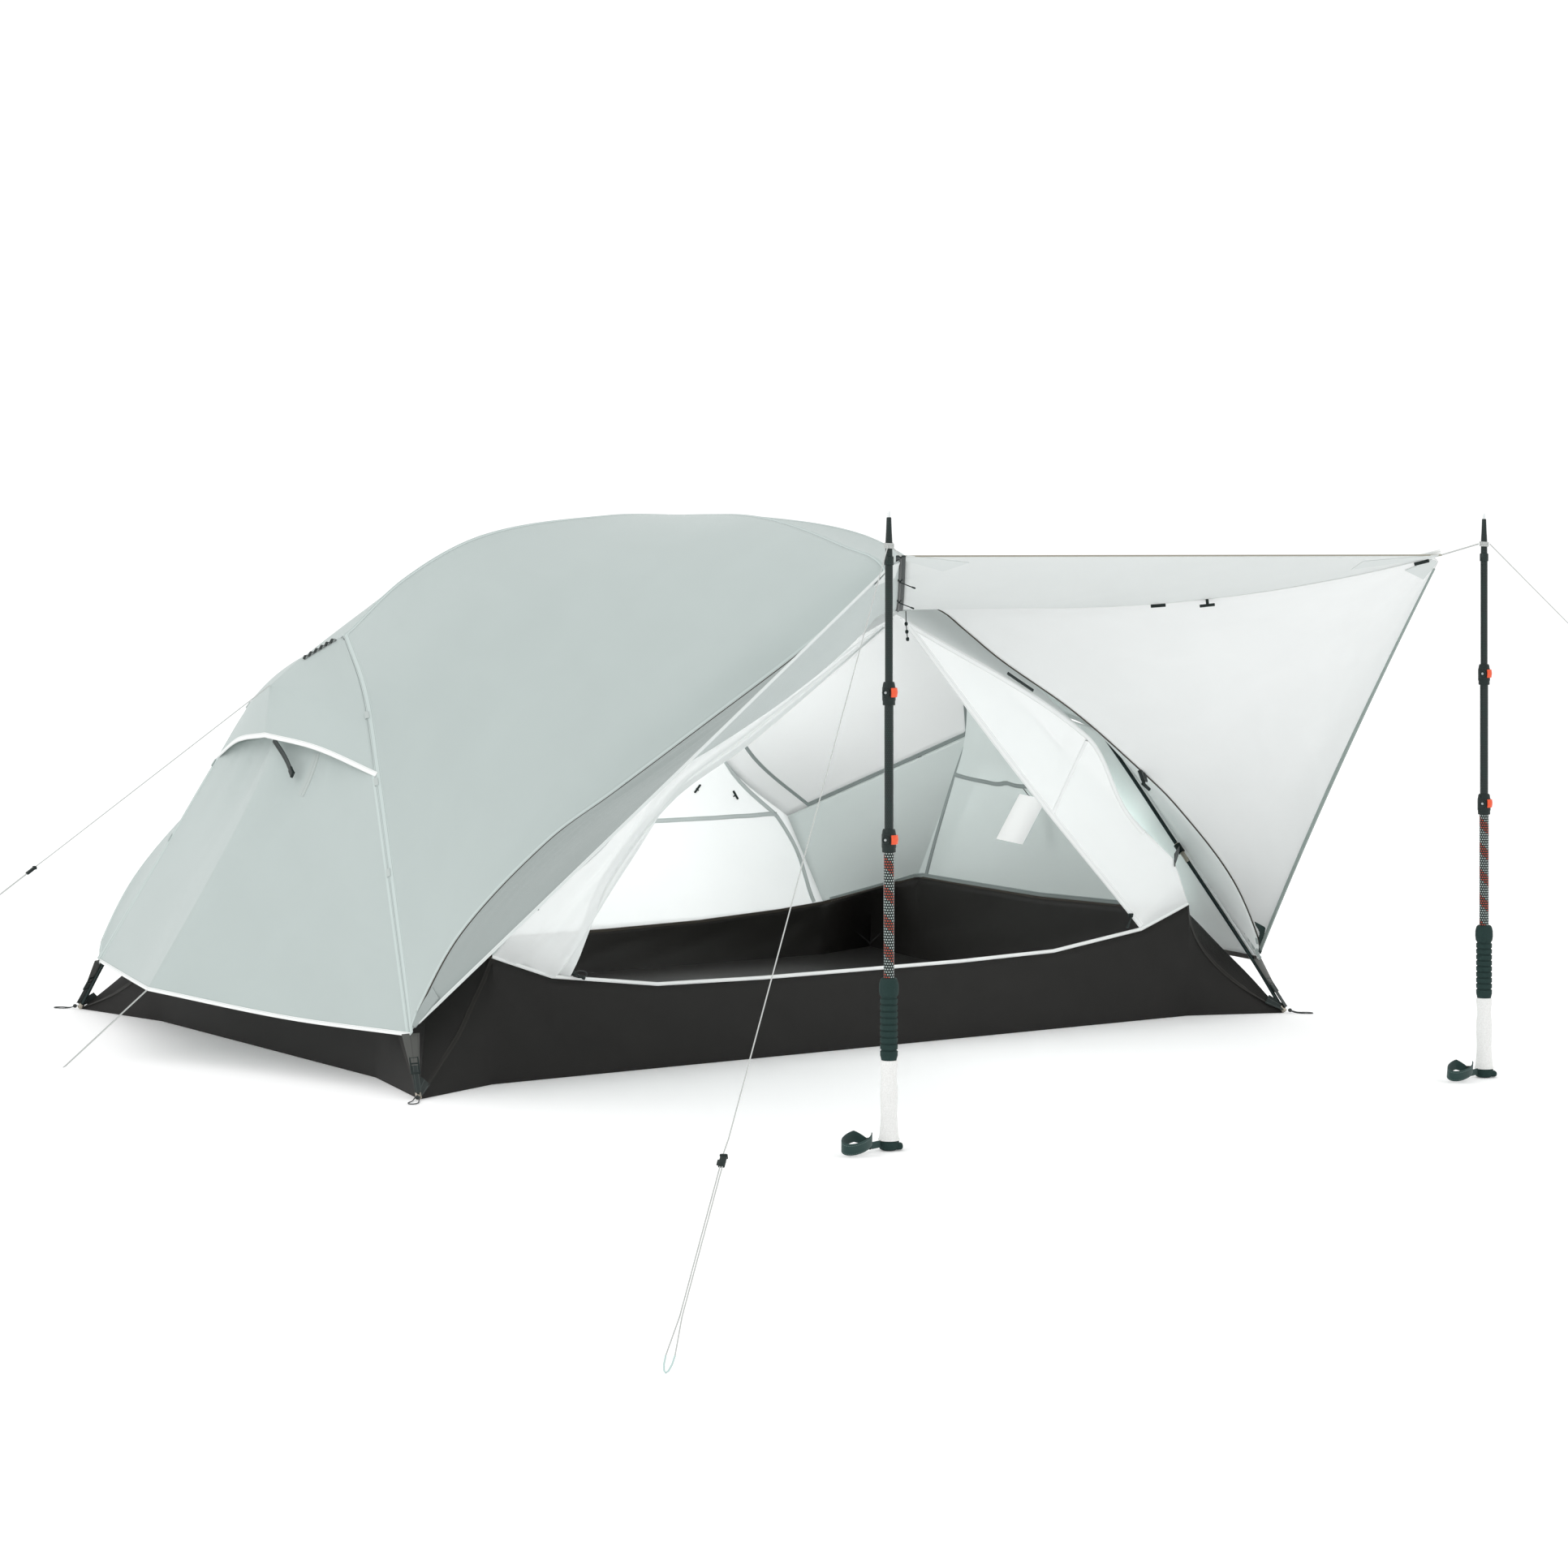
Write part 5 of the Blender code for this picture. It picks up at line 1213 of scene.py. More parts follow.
AWNING_SEAMS = {"left": awning_seam(AWNING_LEFT_CORNER), "right": awning_seam(AWNING_RIGHT_CORNER)}
AWNING_FRONT = straight(AWNING_LEFT_CORNER, AWNING_RIGHT_CORNER, 40)
for side, sx, corner in (("left", -1, AWNING_LEFT_CORNER), ("right", 1, AWNING_RIGHT_CORNER)):
    seam = flipped(DOOR_SEAM, sx)
    hem = straight(seam[-1], corner, 40)
    if side == "right":
        for k, p in enumerate(hem):
            p += AWNING_RIGHT_HEM_WAY.normalized() * (4 * AWNING_RIGHT_HEM_BOW * (k / 40) * (1 - k / 40))
    inward = (corner - DOOR_APEX).cross(seam[-1] - DOOR_APEX).normalized()
    inward = inward if inward.x * sx < 0 else -inward
    wide = length_of(seam)
    tall = max(length_of(hem), length_of(AWNING_SEAMS[side]))

    def side_point(u, v):
        """u runs from the apex down the door seam, v from that seam to the awning's corner."""
        u = trimmed(u, SEAM_GAP, AWNING_FOOT_TRIM, wide)
        v = trimmed(v, 2 * SEAM_GAP, AWNING_CORNER_TRIM, tall)
        point = coons(seam, [corner] * 2, AWNING_SEAMS[side], hem, u, v)
        inside = math.sin(math.pi * u) * math.sin(math.pi * v)
        if side == "left":
            point += inward * (AWNING_LEFT_BELLY * inside)
            strain = math.exp(-((u - 0.52) / 0.24) ** 2) * math.exp(-v / 0.11) * min(1, v * 20)
            short_wave, long_wave = (math.tau * v / wave for wave in AWNING_STRAIN_WAVES)
            fold = math.sin(short_wave + 7 * u) + 0.5 * math.sin(long_wave - 11 * u)
            point += inward * (AWNING_STRAIN_DEPTH * fold * strain)
        return point

    hem_look = PALE_PATCH if side == "left" else GREEN_BINDING
    hem_line = frames_across(side_point, ((1, 0.015), (1, 0.985)), AWNING_HEART, 90, (0.5, 0.5))
    seam_line = frames_across(side_point, ((0.02, 0), (0.995, 0)), AWNING_HEART, 90, (0.5, 0.5))
    foot_patch = frames_across(side_point, ((0.997, 0.003), (0.965, 0.034)), AWNING_HEART, 12)
    head_patch = frames_across(side_point, ((0.5, 0.995), (0.5, 0.94)), AWNING_HEART, 12)
    trims = [
        swept(f"awning_hem_{side}", hem_line, fold_over(0.004 if side == "left" else 0.0085), hem_look),
        swept(f"awning_seam_edge_{side}", seam_line, fold_over(0.0035, 0.001, 0.0006), BROWN_BINDING),
        # The left foot patch takes the awning walls' painted-shade cloth.
        swept(f"awning_foot_patch_{side}", tapered(foot_patch, 0.2, 1.0), centred(0.02, 0.0012, -0.0019),
              DARK_GREEN if side == "right" else DOOR_CLOTH_PAINTED_SHADE),
        swept(f"awning_head_patch_{side}", tapered(head_patch, 0.3, 1.0), centred(0.026, -0.0004, -0.0019),
              PALE_PATCH),
    ]
    # Outside in painted shade, inside in the lining's painted light or shade for this side.
    panel(
        f"awning_wall_{side}", side_point, (wide, tall), 72, 110, DOOR_CLOTH_PAINTED_SHADE, AWNING_LINING_LIT_AND_SHADED[side],
        "fly_cloth", "hung", [f"roof_panel_front_{side}"], heart=AWNING_HEART, replaces=[f"awning_side_{side}"],
        trims=trims,
    )
    at = along(seam, TIE_BACK_SHARE[side])
    ahead = heading(seam, TIE_BACK_SHARE[side])
    drop = Vector((0.1 * sx, -0.35, -0.93)).normalized()
    loop_route = smooth([at - ahead * 0.006, at + drop * 0.02 - ahead * 0.004, at + drop * 0.024,
                         at + drop * 0.02 + ahead * 0.004, at + ahead * 0.006], 20)
    swept(f"tie_back_loop_{side}", frames_along(loop_route, drop.cross(ahead)), TIE_BACK_BAND, DARK_WEBBING)
    bar = [at + drop * TOGGLE_DROP + ahead * (TOGGLE_LENGTH * k / 2) for k in (-1, -0.8, 0.8, 1)]
    tube(f"tie_back_toggle_{side}", bar, TOGGLE_RADIUS, MOULDED_BLACK, sides=5)
    tab_line = [along(seam, 0.245 + 0.055 * k / 8) + Vector((-0.003 * sx, 0.008, -0.011)) for k in range(9)]
    swept(f"door_seam_tab_{side}", frames_along(tab_line, (0, -1, 0)), webbing_band(0.003),
          DARK_WEBBING)
    cord_line = [at + drop * 0.022, at + drop * 0.032]
    tube(f"tie_back_cord_{side}", cord_line, TIE_BACK_CORD_RADIUS, DARK_CORD)

awning_wide = length_of(AWNING_FRONT)
awning_deep = length_of(AWNING_SEAMS["left"])


def awning_roof_point(u, v):
    """u runs from the left seam to the right one, v from the apex to the front edge."""
    u = trimmed(u, SEAM_GAP, SEAM_GAP, awning_wide)
    v = trimmed(v, AWNING_TOP_TRIM, 0, awning_deep)
    return coons([DOOR_APEX] * 2, AWNING_FRONT, AWNING_SEAMS["left"], AWNING_SEAMS["right"], u, v)


front_line = frames_along(AWNING_FRONT, (0, 0, 1))
left_line = frames_along(AWNING_SEAMS["left"][1:], (0, 0, 1))
right_line = frames_along(AWNING_SEAMS["right"][1:], (-0.767, -0.64, 0))
trims = [
    swept("awning_front_binding", front_line, fold_over(0.008, 0.0012, 0.001), KHAKI_BINDING),
    swept("awning_right_binding", right_line, flat_band(-0.002, 0.012, 0.0012, -0.0012), WHITE_BINDING),
    swept("awning_zip_tape", left_line, centred(0.0085, 0.0012, -0.0026), ZIP_TAPE),
]
for side, shares in (
    ("left", ((0.004, 0.995), (0.1, 0.93))),
    ("right", ((0.996, 0.995), (0.9, 0.93))),
):
    patch = tapered(frames_across(awning_roof_point, shares, AWNING_HEART, 12), 0.35, 1.0)
    trims.append(swept(f"awning_corner_patch_{side}", patch, centred(0.028, -0.0004, -0.0016), PALE_PATCH))
panel(
    "awning_top", awning_roof_point, (awning_wide, awning_deep), 48, 48, FLY_CLOTH, AWNING_LINING_LIT_AND_SHADED["top"],
    "fly_cloth", "stretched", ["tie_left", "tie_right"], heart=AWNING_HEART, replaces=["awning_roof"], trims=trims,
)
coil_line = [p - out * AWNING_COIL_DROP for p, beside, out in left_line]
tube("awning_zip_coil", coil_line, AWNING_COIL_RADIUS, DARK_CORD)
for number, share in enumerate((0.62, 0.84)):
    ahead = heading(coil_line, share)
    zip_slider(f"awning_zip_slider_{number}", along(coil_line, share), ahead, -UP, AWNING_PULL_WAY)
tail_top = along(coil_line, 0.2) + Vector((0.02, 0, -0.001))
tail = smooth([tail_top, tail_top + Vector((0.001, 0, -0.028)), tail_top + Vector((0.003, -0.002, -0.058))], 16)
for number, share in enumerate((0.45, 0.72, 0.97)):
    bead = ((0, -0.0042), (0.0026, -0.0034), (0.0036, 0), (0.0026, 0.0034), (0, 0.0042))
    finished(f"awning_zip_bead_{number}", turned(bead, along(tail, share), steps=16))
line = tube("awning_zip_tail", tail, CORD_RADIUS, DARK_CORD)
keeper = [tail_top + Vector((-0.022, -0.004, 0.0)), tail_top + Vector((0.008, 0.0, 0.001))]
swept("awning_zip_keeper", frames_along(straight(keeper[0], keeper[1], 8), (0, 0, 1)),
      centred(0.006, 0.0006, -0.0012), GREY_WEBBING)
for name, share, size in (
    ("back", 0.49, (0.03, 0.003, 0.007)),
    ("toggle", 0.58, (0.03, 0.007, 0.006)),
    ("front", 0.965, (0.03, 0.003, 0.007)),
):
    at = along(AWNING_SEAMS["right"], share)
    axes = three_ways(heading(AWNING_SEAMS["right"], share))
    drop = UP * (-0.0045 if name != "toggle" else -0.013)
    tab = [block(size, at + drop, axes, 0.0012)]
    if name == "toggle":
        tab.append(block((0.006, 0.003, 0.013), at - UP * 0.0062, axes, 0.0008))
    finished(f"awning_seam_{name}", joined(tab))


# Tub floor: heavy coated cloth, nearly black, that turns up into a wall all round. Its corners run out
# in pointed gussets to the pole feet, and the wall rises to a peak at each side of a corner.

TUB_HALF_LENGTH = 1.0176
TUB_HALF_WIDTH = 0.696
TUB_CORNER_INSET = 0.0026
TUB_SIDE_STATIONS = (0.0, 0.25, 0.5)
DOOR_FOOT = 0.742
FRONT_WALL = 0.161
FRONT_PEAK = 0.245
FRONT_RISE_POWER = 5
BACK_WALL = 0.1
BACK_PEAK = 0.13
END_WALL = 0.205
END_WALL_SAG = 0.012
PEAK_X = TUB_HALF_LENGTH - 0.1426
PEAK_Y = TUB_HALF_WIDTH - 0.205
TUB_CLOTH_THICKNESS = 0.0008
TUB_COLOUR = (0.0085, 0.0079, 0.0068)
TUB_STEPS = 8
TUB_WALL_CUT = (7.2, 0.2)
TUB_BASE_CUT = (2.2, 1.5)
TUB_UNEVENNESS = 0.0012
TUB_BELLY = 0.006
TUB_WAVE = 0.0025
TUB_CREASE = 0.0015


def tub_half():
    """The foot and the top of the wall, right half, from the front middle to the back middle."""
    bottom = []
    top = []
    for x in (*TUB_SIDE_STATIONS, DOOR_FOOT, PEAK_X):
        rise = (FRONT_PEAK - FRONT_WALL) * (x / PEAK_X) ** FRONT_RISE_POWER
        bottom.append(Vector((x, -TUB_HALF_WIDTH, 0)))
        top.append(Vector((x, -TUB_HALF_WIDTH, FRONT_WALL + rise)))
    for sy, peak in ((-1, FRONT_PEAK), (1, BACK_PEAK)):
        side_peak = Vector((PEAK_X, sy * TUB_HALF_WIDTH, peak))
        end_peak = Vector((TUB_HALF_LENGTH, sy * PEAK_Y, END_WALL))
        corner = Vector((FOOT_HALF_LENGTH - TUB_CORNER_INSET, sy * (FOOT_HALF_WIDTH - TUB_CORNER_INSET), 0))
        end_foot = Vector((TUB_HALF_LENGTH, sy * PEAK_Y, 0))
        stretch = [(corner, side_peak.lerp(end_peak, 0.5)), (end_foot, end_peak)]
        if sy > 0:
            bottom.append(Vector((TUB_HALF_LENGTH, 0, 0)))
            top.append(Vector((TUB_HALF_LENGTH, 0, END_WALL - END_WALL_SAG)))
            stretch.reverse()
        for low, high in stretch:
            bottom.append(low)
            top.append(high)
    for x in (PEAK_X, DOOR_FOOT, *TUB_SIDE_STATIONS[::-1]):
        bottom.append(Vector((x, TUB_HALF_WIDTH, 0)))
        top.append(Vector((x, TUB_HALF_WIDTH, BACK_WALL + (BACK_PEAK - BACK_WALL) * (x / PEAK_X) ** 3)))
    return bottom, top


half_bottom, half_top = tub_half()
TUB_BOTTOM = half_bottom + flipped(half_bottom[-2:0:-1], -1)
TUB_TOP = half_top + flipped(half_top[-2:0:-1], -1)
ring = len(TUB_BOTTOM)
bottom_ring = TUB_BOTTOM + TUB_BOTTOM[:1]
top_ring = TUB_TOP + TUB_TOP[:1]
# The tub's wide range from dark to light, moved by the crease noise, paints highlights and shade on its wrinkles.
TUB_CLOTH = cloth("tub_cloth", shade(TUB_COLOUR, 0.75), shade(TUB_COLOUR, 1.35), 0.62, crease_shade=1.0, depth=0.006,
                  sheen=0.01)
TUB_LINING = cloth("tub_lining", shade(TUB_COLOUR, 0.9), shade(TUB_COLOUR, 1.5), 0.45, crease_shade=1.0, depth=0.006,
                   sheen=0.03)
TUB_TAPE = sewn_tape("tub_seam_tape", shade(TUB_COLOUR, 1.9), shade(TUB_COLOUR, 4.0), (0.002, 0.008))


def wall_point(u, v):
    """u runs once round the tub from the front middle, v from the ground to the top of the wall."""
    u = u % 1.0
    low = along(bottom_ring, u)
    high = along(top_ring, u)
    ahead = along(bottom_ring, (u + 0.01) % 1.0) - along(bottom_ring, (u - 0.01) % 1.0)
    outward = ahead.normalized().cross(UP)
    turn = math.tau * u
    belly = TUB_BELLY + TUB_WAVE * math.sin(10 * turn) + TUB_CREASE * math.sin(27 * turn + 9 * v)
    return low.lerp(high, v) + outward * (math.sin(math.pi * v) * belly)


bm = bmesh.new()
weave = bm.loops.layers.uv.new("cut")
bmesh.ops.create_grid(bm, x_segments=ring * TUB_STEPS, y_segments=10, size=0.5, calc_uvs=True)
lay_cut(bm.faces, weave, TUB_WALL_CUT)
for v in bm.verts:
    v.co = wall_point(v.co.x + 0.5, v.co.y + 0.5)
sides = [
    bottom_ring[23:28] + bottom_ring[0:6],
    (bottom_ring[9:20])[::-1],
    (bottom_ring[19:24])[::-1],
    bottom_ring[5:10],
]
wall_faces = len(bm.faces)
made_floor = bmesh.ops.create_grid(bm, x_segments=10 * TUB_STEPS, y_segments=4 * TUB_STEPS, size=0.5, calc_uvs=True)
for v in made_floor["verts"]:
    u, w = v.co.x + 0.5, v.co.y + 0.5
    point = coons(sides[0], sides[1], sides[2], sides[3], u, w)
    inside = math.sin(math.pi * u) * math.sin(math.pi * w)
    point.z += TUB_UNEVENNESS * inside * (1 + math.sin(41 * u + 3) * math.sin(29 * w))
    v.co = point
bm.faces.ensure_lookup_table()
lay_cut(bm.faces[wall_faces:], weave, TUB_BASE_CUT)
bmesh.ops.remove_doubles(bm, verts=bm.verts, dist=5e-5)
bmesh.ops.recalc_face_normals(bm, faces=bm.faces)
if min(bm.faces, key=lambda f: f.calc_center_median().z).normal.z > 0:
    bmesh.ops.reverse_faces(bm, faces=bm.faces)
tub_area = sum(f.calc_area() for f in bm.faces)
tub = finished("tub", bm, TUB_CLOTH, replaces=["tub_floor"])
lined(tub, TUB_CLOTH_THICKNESS, TUB_LINING)

TUB_HEART = (0, 0, 0.1)
for top_station, foot_station in ((4, 5), (6, 5), (8, 9), (10, 9), (18, 19), (20, 19), (22, 23), (24, 23)):
    sloping = frames_across(wall_point, ((top_station / ring, 0.98), (foot_station / ring, 0.03)), TUB_HEART, 20)
    swept(f"tub_corner_seam_{top_station}", sloping, centred(0.005, 0.0009), TUB_TAPE)
for name, start, end, look in (
    ("front_right", 0, 4, WHITE_BINDING),
    ("right_end", 4, 10, BROWN_BINDING),
    ("back", 10, 18, BROWN_BINDING),
    ("left_end", 18, 24, BROWN_BINDING),
    ("front_left", 24, 28, WHITE_BINDING),
):
    rim = frames_across(wall_point, ((start / ring, 1), (end / ring, 1)), TUB_HEART, 96)
    swept(f"tub_rim_{name}", rim, centred(0.0036, 0.0015, -0.0023), look)


# Inner tent: thin white cloth that hangs under the fly from the poles and is sewn to the tub's wall.
# The right half of its front door is zipped shut, and the left half is open and hangs gathered.

INNER_DROP = 0.045
INNER_CORNER_INSET = 0.085
INNER_CORNER_SPREAD = 0.164
INNER_CORNER_HEIGHT = 0.574
INNER_APEX_DROP = 0.03
DOOR_ZIP_OFFSET = 0.008
DOOR_FOLD_DEPTH = 0.026
DOOR_FOLD_COUNT = 5
GATHERED_DOOR_EDGE = (
    (-0.3414, -0.77, 0.6366), (-0.5018, -0.752, 0.5408), (-0.5962, -0.735, 0.447), (-0.6544, -0.718, 0.357),
)
GATHERED_DOOR_FOOT = -0.704
INNER_SEAM_SHAPE = ((0, 0, 0), (0.654, 0.42, 0.48), (0.816, 0.71, 0.792), (1, 1, 1))
INNER_CLIP_PLACE = (0.912, 0.612, 0.842)
INNER_WHITE = (0.88, 0.9, 0.895)
END_WALL_GREY = (0.6, 0.66, 0.645)
INNER_HEART = (0, 0, 0.1)
CANOPY_CUT = (2.3, 2.05)
END_WALL_CUT = (1.75, 0.72)
BACK_WALL_CUT = (1.8, 0.78)
RIGHT_DOOR_CUT = (0.45, 1.02)
LEFT_DOOR_CUT = (0.62, 1.02)
CANOPY_REACH = (0.8, 1.0)
END_WALL_REACH = (0.8, 0.6)
BACK_WALL_REACH = (0.9, 0.75)
RIGHT_DOOR_REACH = 0.9
LEFT_DOOR_REACH = 0.8
END_WALL_WAIST = (
    (0.747, 0.718), (0.69, 0.628), (0.63, 0.551), (0.57, 0.491), (0.52, 0.452), (0.48, 0.452), (0.434, 0.487),
)
BACK_WAIST = (
    (0.975, 0.908), (0.929, 0.754), (0.879, 0.617), (0.846, 0.542), (0.812, 0.487), (0.762, 0.442), (0.71, 0.408),
)
INNER_CLOTH = cloth("inner_cloth", shade(INNER_WHITE, 0.97), shade(INNER_WHITE, 1.02), 0.7, grid=0.006, crease_shade=0.6,
                    depth=0.003, sheen=0.1, alpha=0.9, glow=0.07)
MESH_CLOTH = cloth("mesh_cloth", shade(INNER_WHITE, 0.9), shade(INNER_WHITE, 1.0), 0.75, grid=0.0032, crease_shade=0.4,
                   depth=0.003, sheen=0.1, alpha=0.82, glow=0.26)
SHEER_CLOTH = cloth("sheer_cloth", shade(INNER_WHITE, 0.94), shade(INNER_WHITE, 1.0), 0.75, grid=0.004, crease_shade=0.5,
                    depth=0.003, sheen=0.1, alpha=0.6, glow=0.17)
END_WALL_CLOTH = cloth("end_wall_cloth", shade(END_WALL_GREY, 0.95), shade(END_WALL_GREY, 1.06), 0.7, grid=0.006,
                       crease_shade=0.5, depth=0.003, alpha=0.9, glow=0.08)
INNER_TAPE = sewn_tape("inner_tape", (0.27, 0.315, 0.305), (0.14, 0.17, 0.165), (0.002, 0.008))
WHITE_TAPE = sewn_tape("white_tape", (0.86, 0.88, 0.875), (0.6, 0.63, 0.62), (0.002, 0.009))

lift = UP * SEAM_GAP
front_top = [p + lift for p in half_top[:5]]
end_front = [p + lift for p in (half_top[7], half_top[6], half_top[5], half_top[4])]
back_side = [p + lift for p in half_top[7:11]]
back_top = [p + lift for p in half_top[10:]]
inner_apex = DOOR_APEX - UP * INNER_APEX_DROP
side_peak = front_top[-1]
reach = side_peak - inner_apex
inner_clip = inner_apex + Vector([a * b for a, b in zip(reach, INNER_CLIP_PLACE)])
INNER_OUTLINE = shaped(inner_apex, inner_clip, INNER_SEAM_SHAPE, 40)
inner_knee = Vector((TUB_HALF_LENGTH - INNER_CORNER_INSET, -INNER_CORNER_SPREAD, INNER_CORNER_HEIGHT))
INNER_RIDGE = spaced(stand_off(ridge, Vector((0, 1, 0)), -INNER_DROP)[48:][::-1][1:], 40)
hub_inner = INNER_RIDGE[0]
inner_cross = stand_off(cross_line(30), Vector((1, 0, 0)), -INNER_DROP)
INNER_CROSS = smooth([INNER_RIDGE[-1]] + inner_cross[5:26:5] + [inner_apex], 40)
KNEE_LINE = straight(hub_inner, inner_knee, 20)[:-1] + straight(inner_knee, inner_clip, 20)


def inner_roof_point(u, v):
    """u runs from the left end to the right, v from the front edge over the ridge to the back edge."""
    across = 1 - abs(2 * u - 1)
    down = abs(2 * v - 1)
    across = trimmed(across, 2 * SEAM_GAP, 0, CANOPY_REACH[0])
    down = trimmed(down, 0, SEAM_GAP, CANOPY_REACH[1])
    point = coons(INNER_RIDGE, INNER_OUTLINE[::-1], KNEE_LINE, INNER_CROSS, across, down)
    return Vector((point.x if u > 0.5 else -point.x, point.y if v < 0.5 else -point.y, point.z))


INSIDE_TAPE = centred(0.0055, -0.0022, -0.0004)
canopy_trims = []
for name, shares, look in (
    ("right", ((0.997, 0.04), (0.997, 0.32)), INNER_TAPE),
    ("right_back", ((0.997, 0.66), (0.997, 0.97)), INNER_TAPE),
    ("left", ((0.003, 0.04), (0.003, 0.32)), INNER_TAPE),
    ("left_back", ((0.003, 0.66), (0.003, 0.97)), INNER_TAPE),
    ("back_right", ((0.995, 0.968), (0.88, 0.965)), INNER_TAPE),
    ("back_left", ((0.005, 0.968), (0.12, 0.965)), INNER_TAPE),
    ("ridge", ((0.1, 0.5), (0.9, 0.5)), WHITE_TAPE),
    ("cross", ((0.5, 0.06), (0.5, 0.94)), WHITE_TAPE),
):
    frames = frames_across(inner_roof_point, shares, INNER_HEART, 40)
    canopy_trims.append(swept(f"canopy_tape_{name}", frames, INSIDE_TAPE, look))
for number, (u, v) in enumerate(((0.32, 0.5), (0.68, 0.5), (0.5, 0.28), (0.5, 0.72))):
    at = inner_roof_point(u, v)
    hook = joined([
        block((0.012, 0.018, 0.01), at + UP * 0.007, three_ways((1, 0, 0)), 0.002),
        block((0.01, 0.004, 0.03), at + UP * 0.022, three_ways((1, 0, 0)), 0.0012),
    ])
    canopy_trims.append(finished(f"canopy_hook_{number}", hook))
panel(
    "inner_canopy", inner_roof_point, CANOPY_CUT, 96, 96, INNER_CLOTH, INNER_CLOTH, "inner_cloth", "hung",
    ["ridge_tube", "cross_tube"], heart=INNER_HEART, replaces=["inner_roof"], trims=canopy_trims,
)


def end_wall_point(u, v):
    """u runs from the front peak of the tub round the end to the back one, v from the tub to the canopy."""
    front = u < 0.5
    share = trimmed(abs(2 * u - 1), 0, SEAM_GAP, END_WALL_REACH[0])
    feet = end_front if front else [Vector((p.x, -p.y, p.z)) for p in back_side]
    low = straight(feet[0], feet[1], 20)[:-1] + spaced(feet[1:4], 20)
    middle = straight(low[0], hub_inner, 4)
    outer = straight(low[-1], inner_clip, 4)
    v = trimmed(v, 0, 2 * SEAM_GAP, END_WALL_REACH[1])
    point = coons(low, KNEE_LINE, middle, outer, share, v)
    return Vector((point.x, point.y if front else -point.y, point.z))


for side, sx in BOTH_SIDES:
    trims = []
    for name, shares in (
        ("across", END_WALL_WAIST),
        ("up", ((0.747, 0.99), (0.733, 0.02))),
        ("top", ((0.747, 0.975), (0.64, 0.94))),
        ("foot", ((0.02, 0.012), (0.98, 0.012))),
    ):
        frames = mirrored(frames_across(end_wall_point, shares, INNER_HEART, 48), sx)
        trims.append(swept(f"end_wall_tape_{name}_{side}", frames, INSIDE_TAPE, INNER_TAPE))
    panel(
        f"inner_end_wall_{side}", on_side(end_wall_point, sx), END_WALL_CUT, 80, 40,
        END_WALL_CLOTH, END_WALL_CLOTH, "inner_cloth", "hung", ["tub"], heart=INNER_HEART,
        replaces=[f"inner_end_{side}"], trims=trims,
    )

TAG_CLOTH = cloth("tag_cloth", (0.86, 0.87, 0.86), (0.91, 0.92, 0.91), 0.6, grid=0.002, depth=0.0004, glow=0.3)
TAG_LENGTH = 0.062
TAG_WIDTH = 0.118
TAG_DROP = Vector((-0.034, -0.034, -0.068))
TAG_CURL = 0.004
tag_hook = end_wall_point(0.46, 0.455)
tag_way = Vector((0.8, -0.55, -0.2)).normalized()
tag_down = Vector((-0.4, 0.274, -0.93)).normalized()
tag_frames = []
for k in range(17):
    across = (k / 16 - 0.5) * TAG_LENGTH
    point = tag_hook + TAG_DROP + tag_way * across
    bend = tag_way.cross(tag_down) * (TAG_CURL * math.cos(4 * k / 16))
    tag_frames.append((point + bend, tag_down, tag_down.cross(tag_way).normalized()))
tag_band = centred(TAG_WIDTH / 2, 0.0002, -0.0002)
tag = swept("inner_tag", tag_frames, tag_band, TAG_CLOTH)
tag_top = tag_frames[9][0] - tag_down * (TAG_WIDTH / 2 - 0.004)
tag_middle = tag_hook.lerp(tag_top, 0.5) - UP * 0.004
tag_loop = smooth([tag_hook - Vector((0.0008, 0, 0)), tag_middle, tag_top], 10)
tube("inner_tag_loop", tag_loop, 0.0009, DARK_CORD)

outline_back = flipped(INNER_OUTLINE, 1, -1)
back_low = spaced(back_top[:-6:-1], 40)
clip_back = Vector((inner_clip.x, -inner_clip.y, inner_clip.z))
back_middle = straight(back_low[0], outline_back[0], 6)
back_outer = straight(back_top[0], clip_back, 6)


def back_wall_point(u, v):
    """u runs from the left end to the right, v from the tub to the canopy's back edge."""
    share = trimmed(abs(2 * u - 1), 0, SEAM_GAP, BACK_WALL_REACH[0])
    v = trimmed(v, 0, SEAM_GAP, BACK_WALL_REACH[1])
    point = coons(back_low, outline_back, back_middle, back_outer, share, v)
    return Vector((point.x if u > 0.5 else -point.x, point.y, point.z))


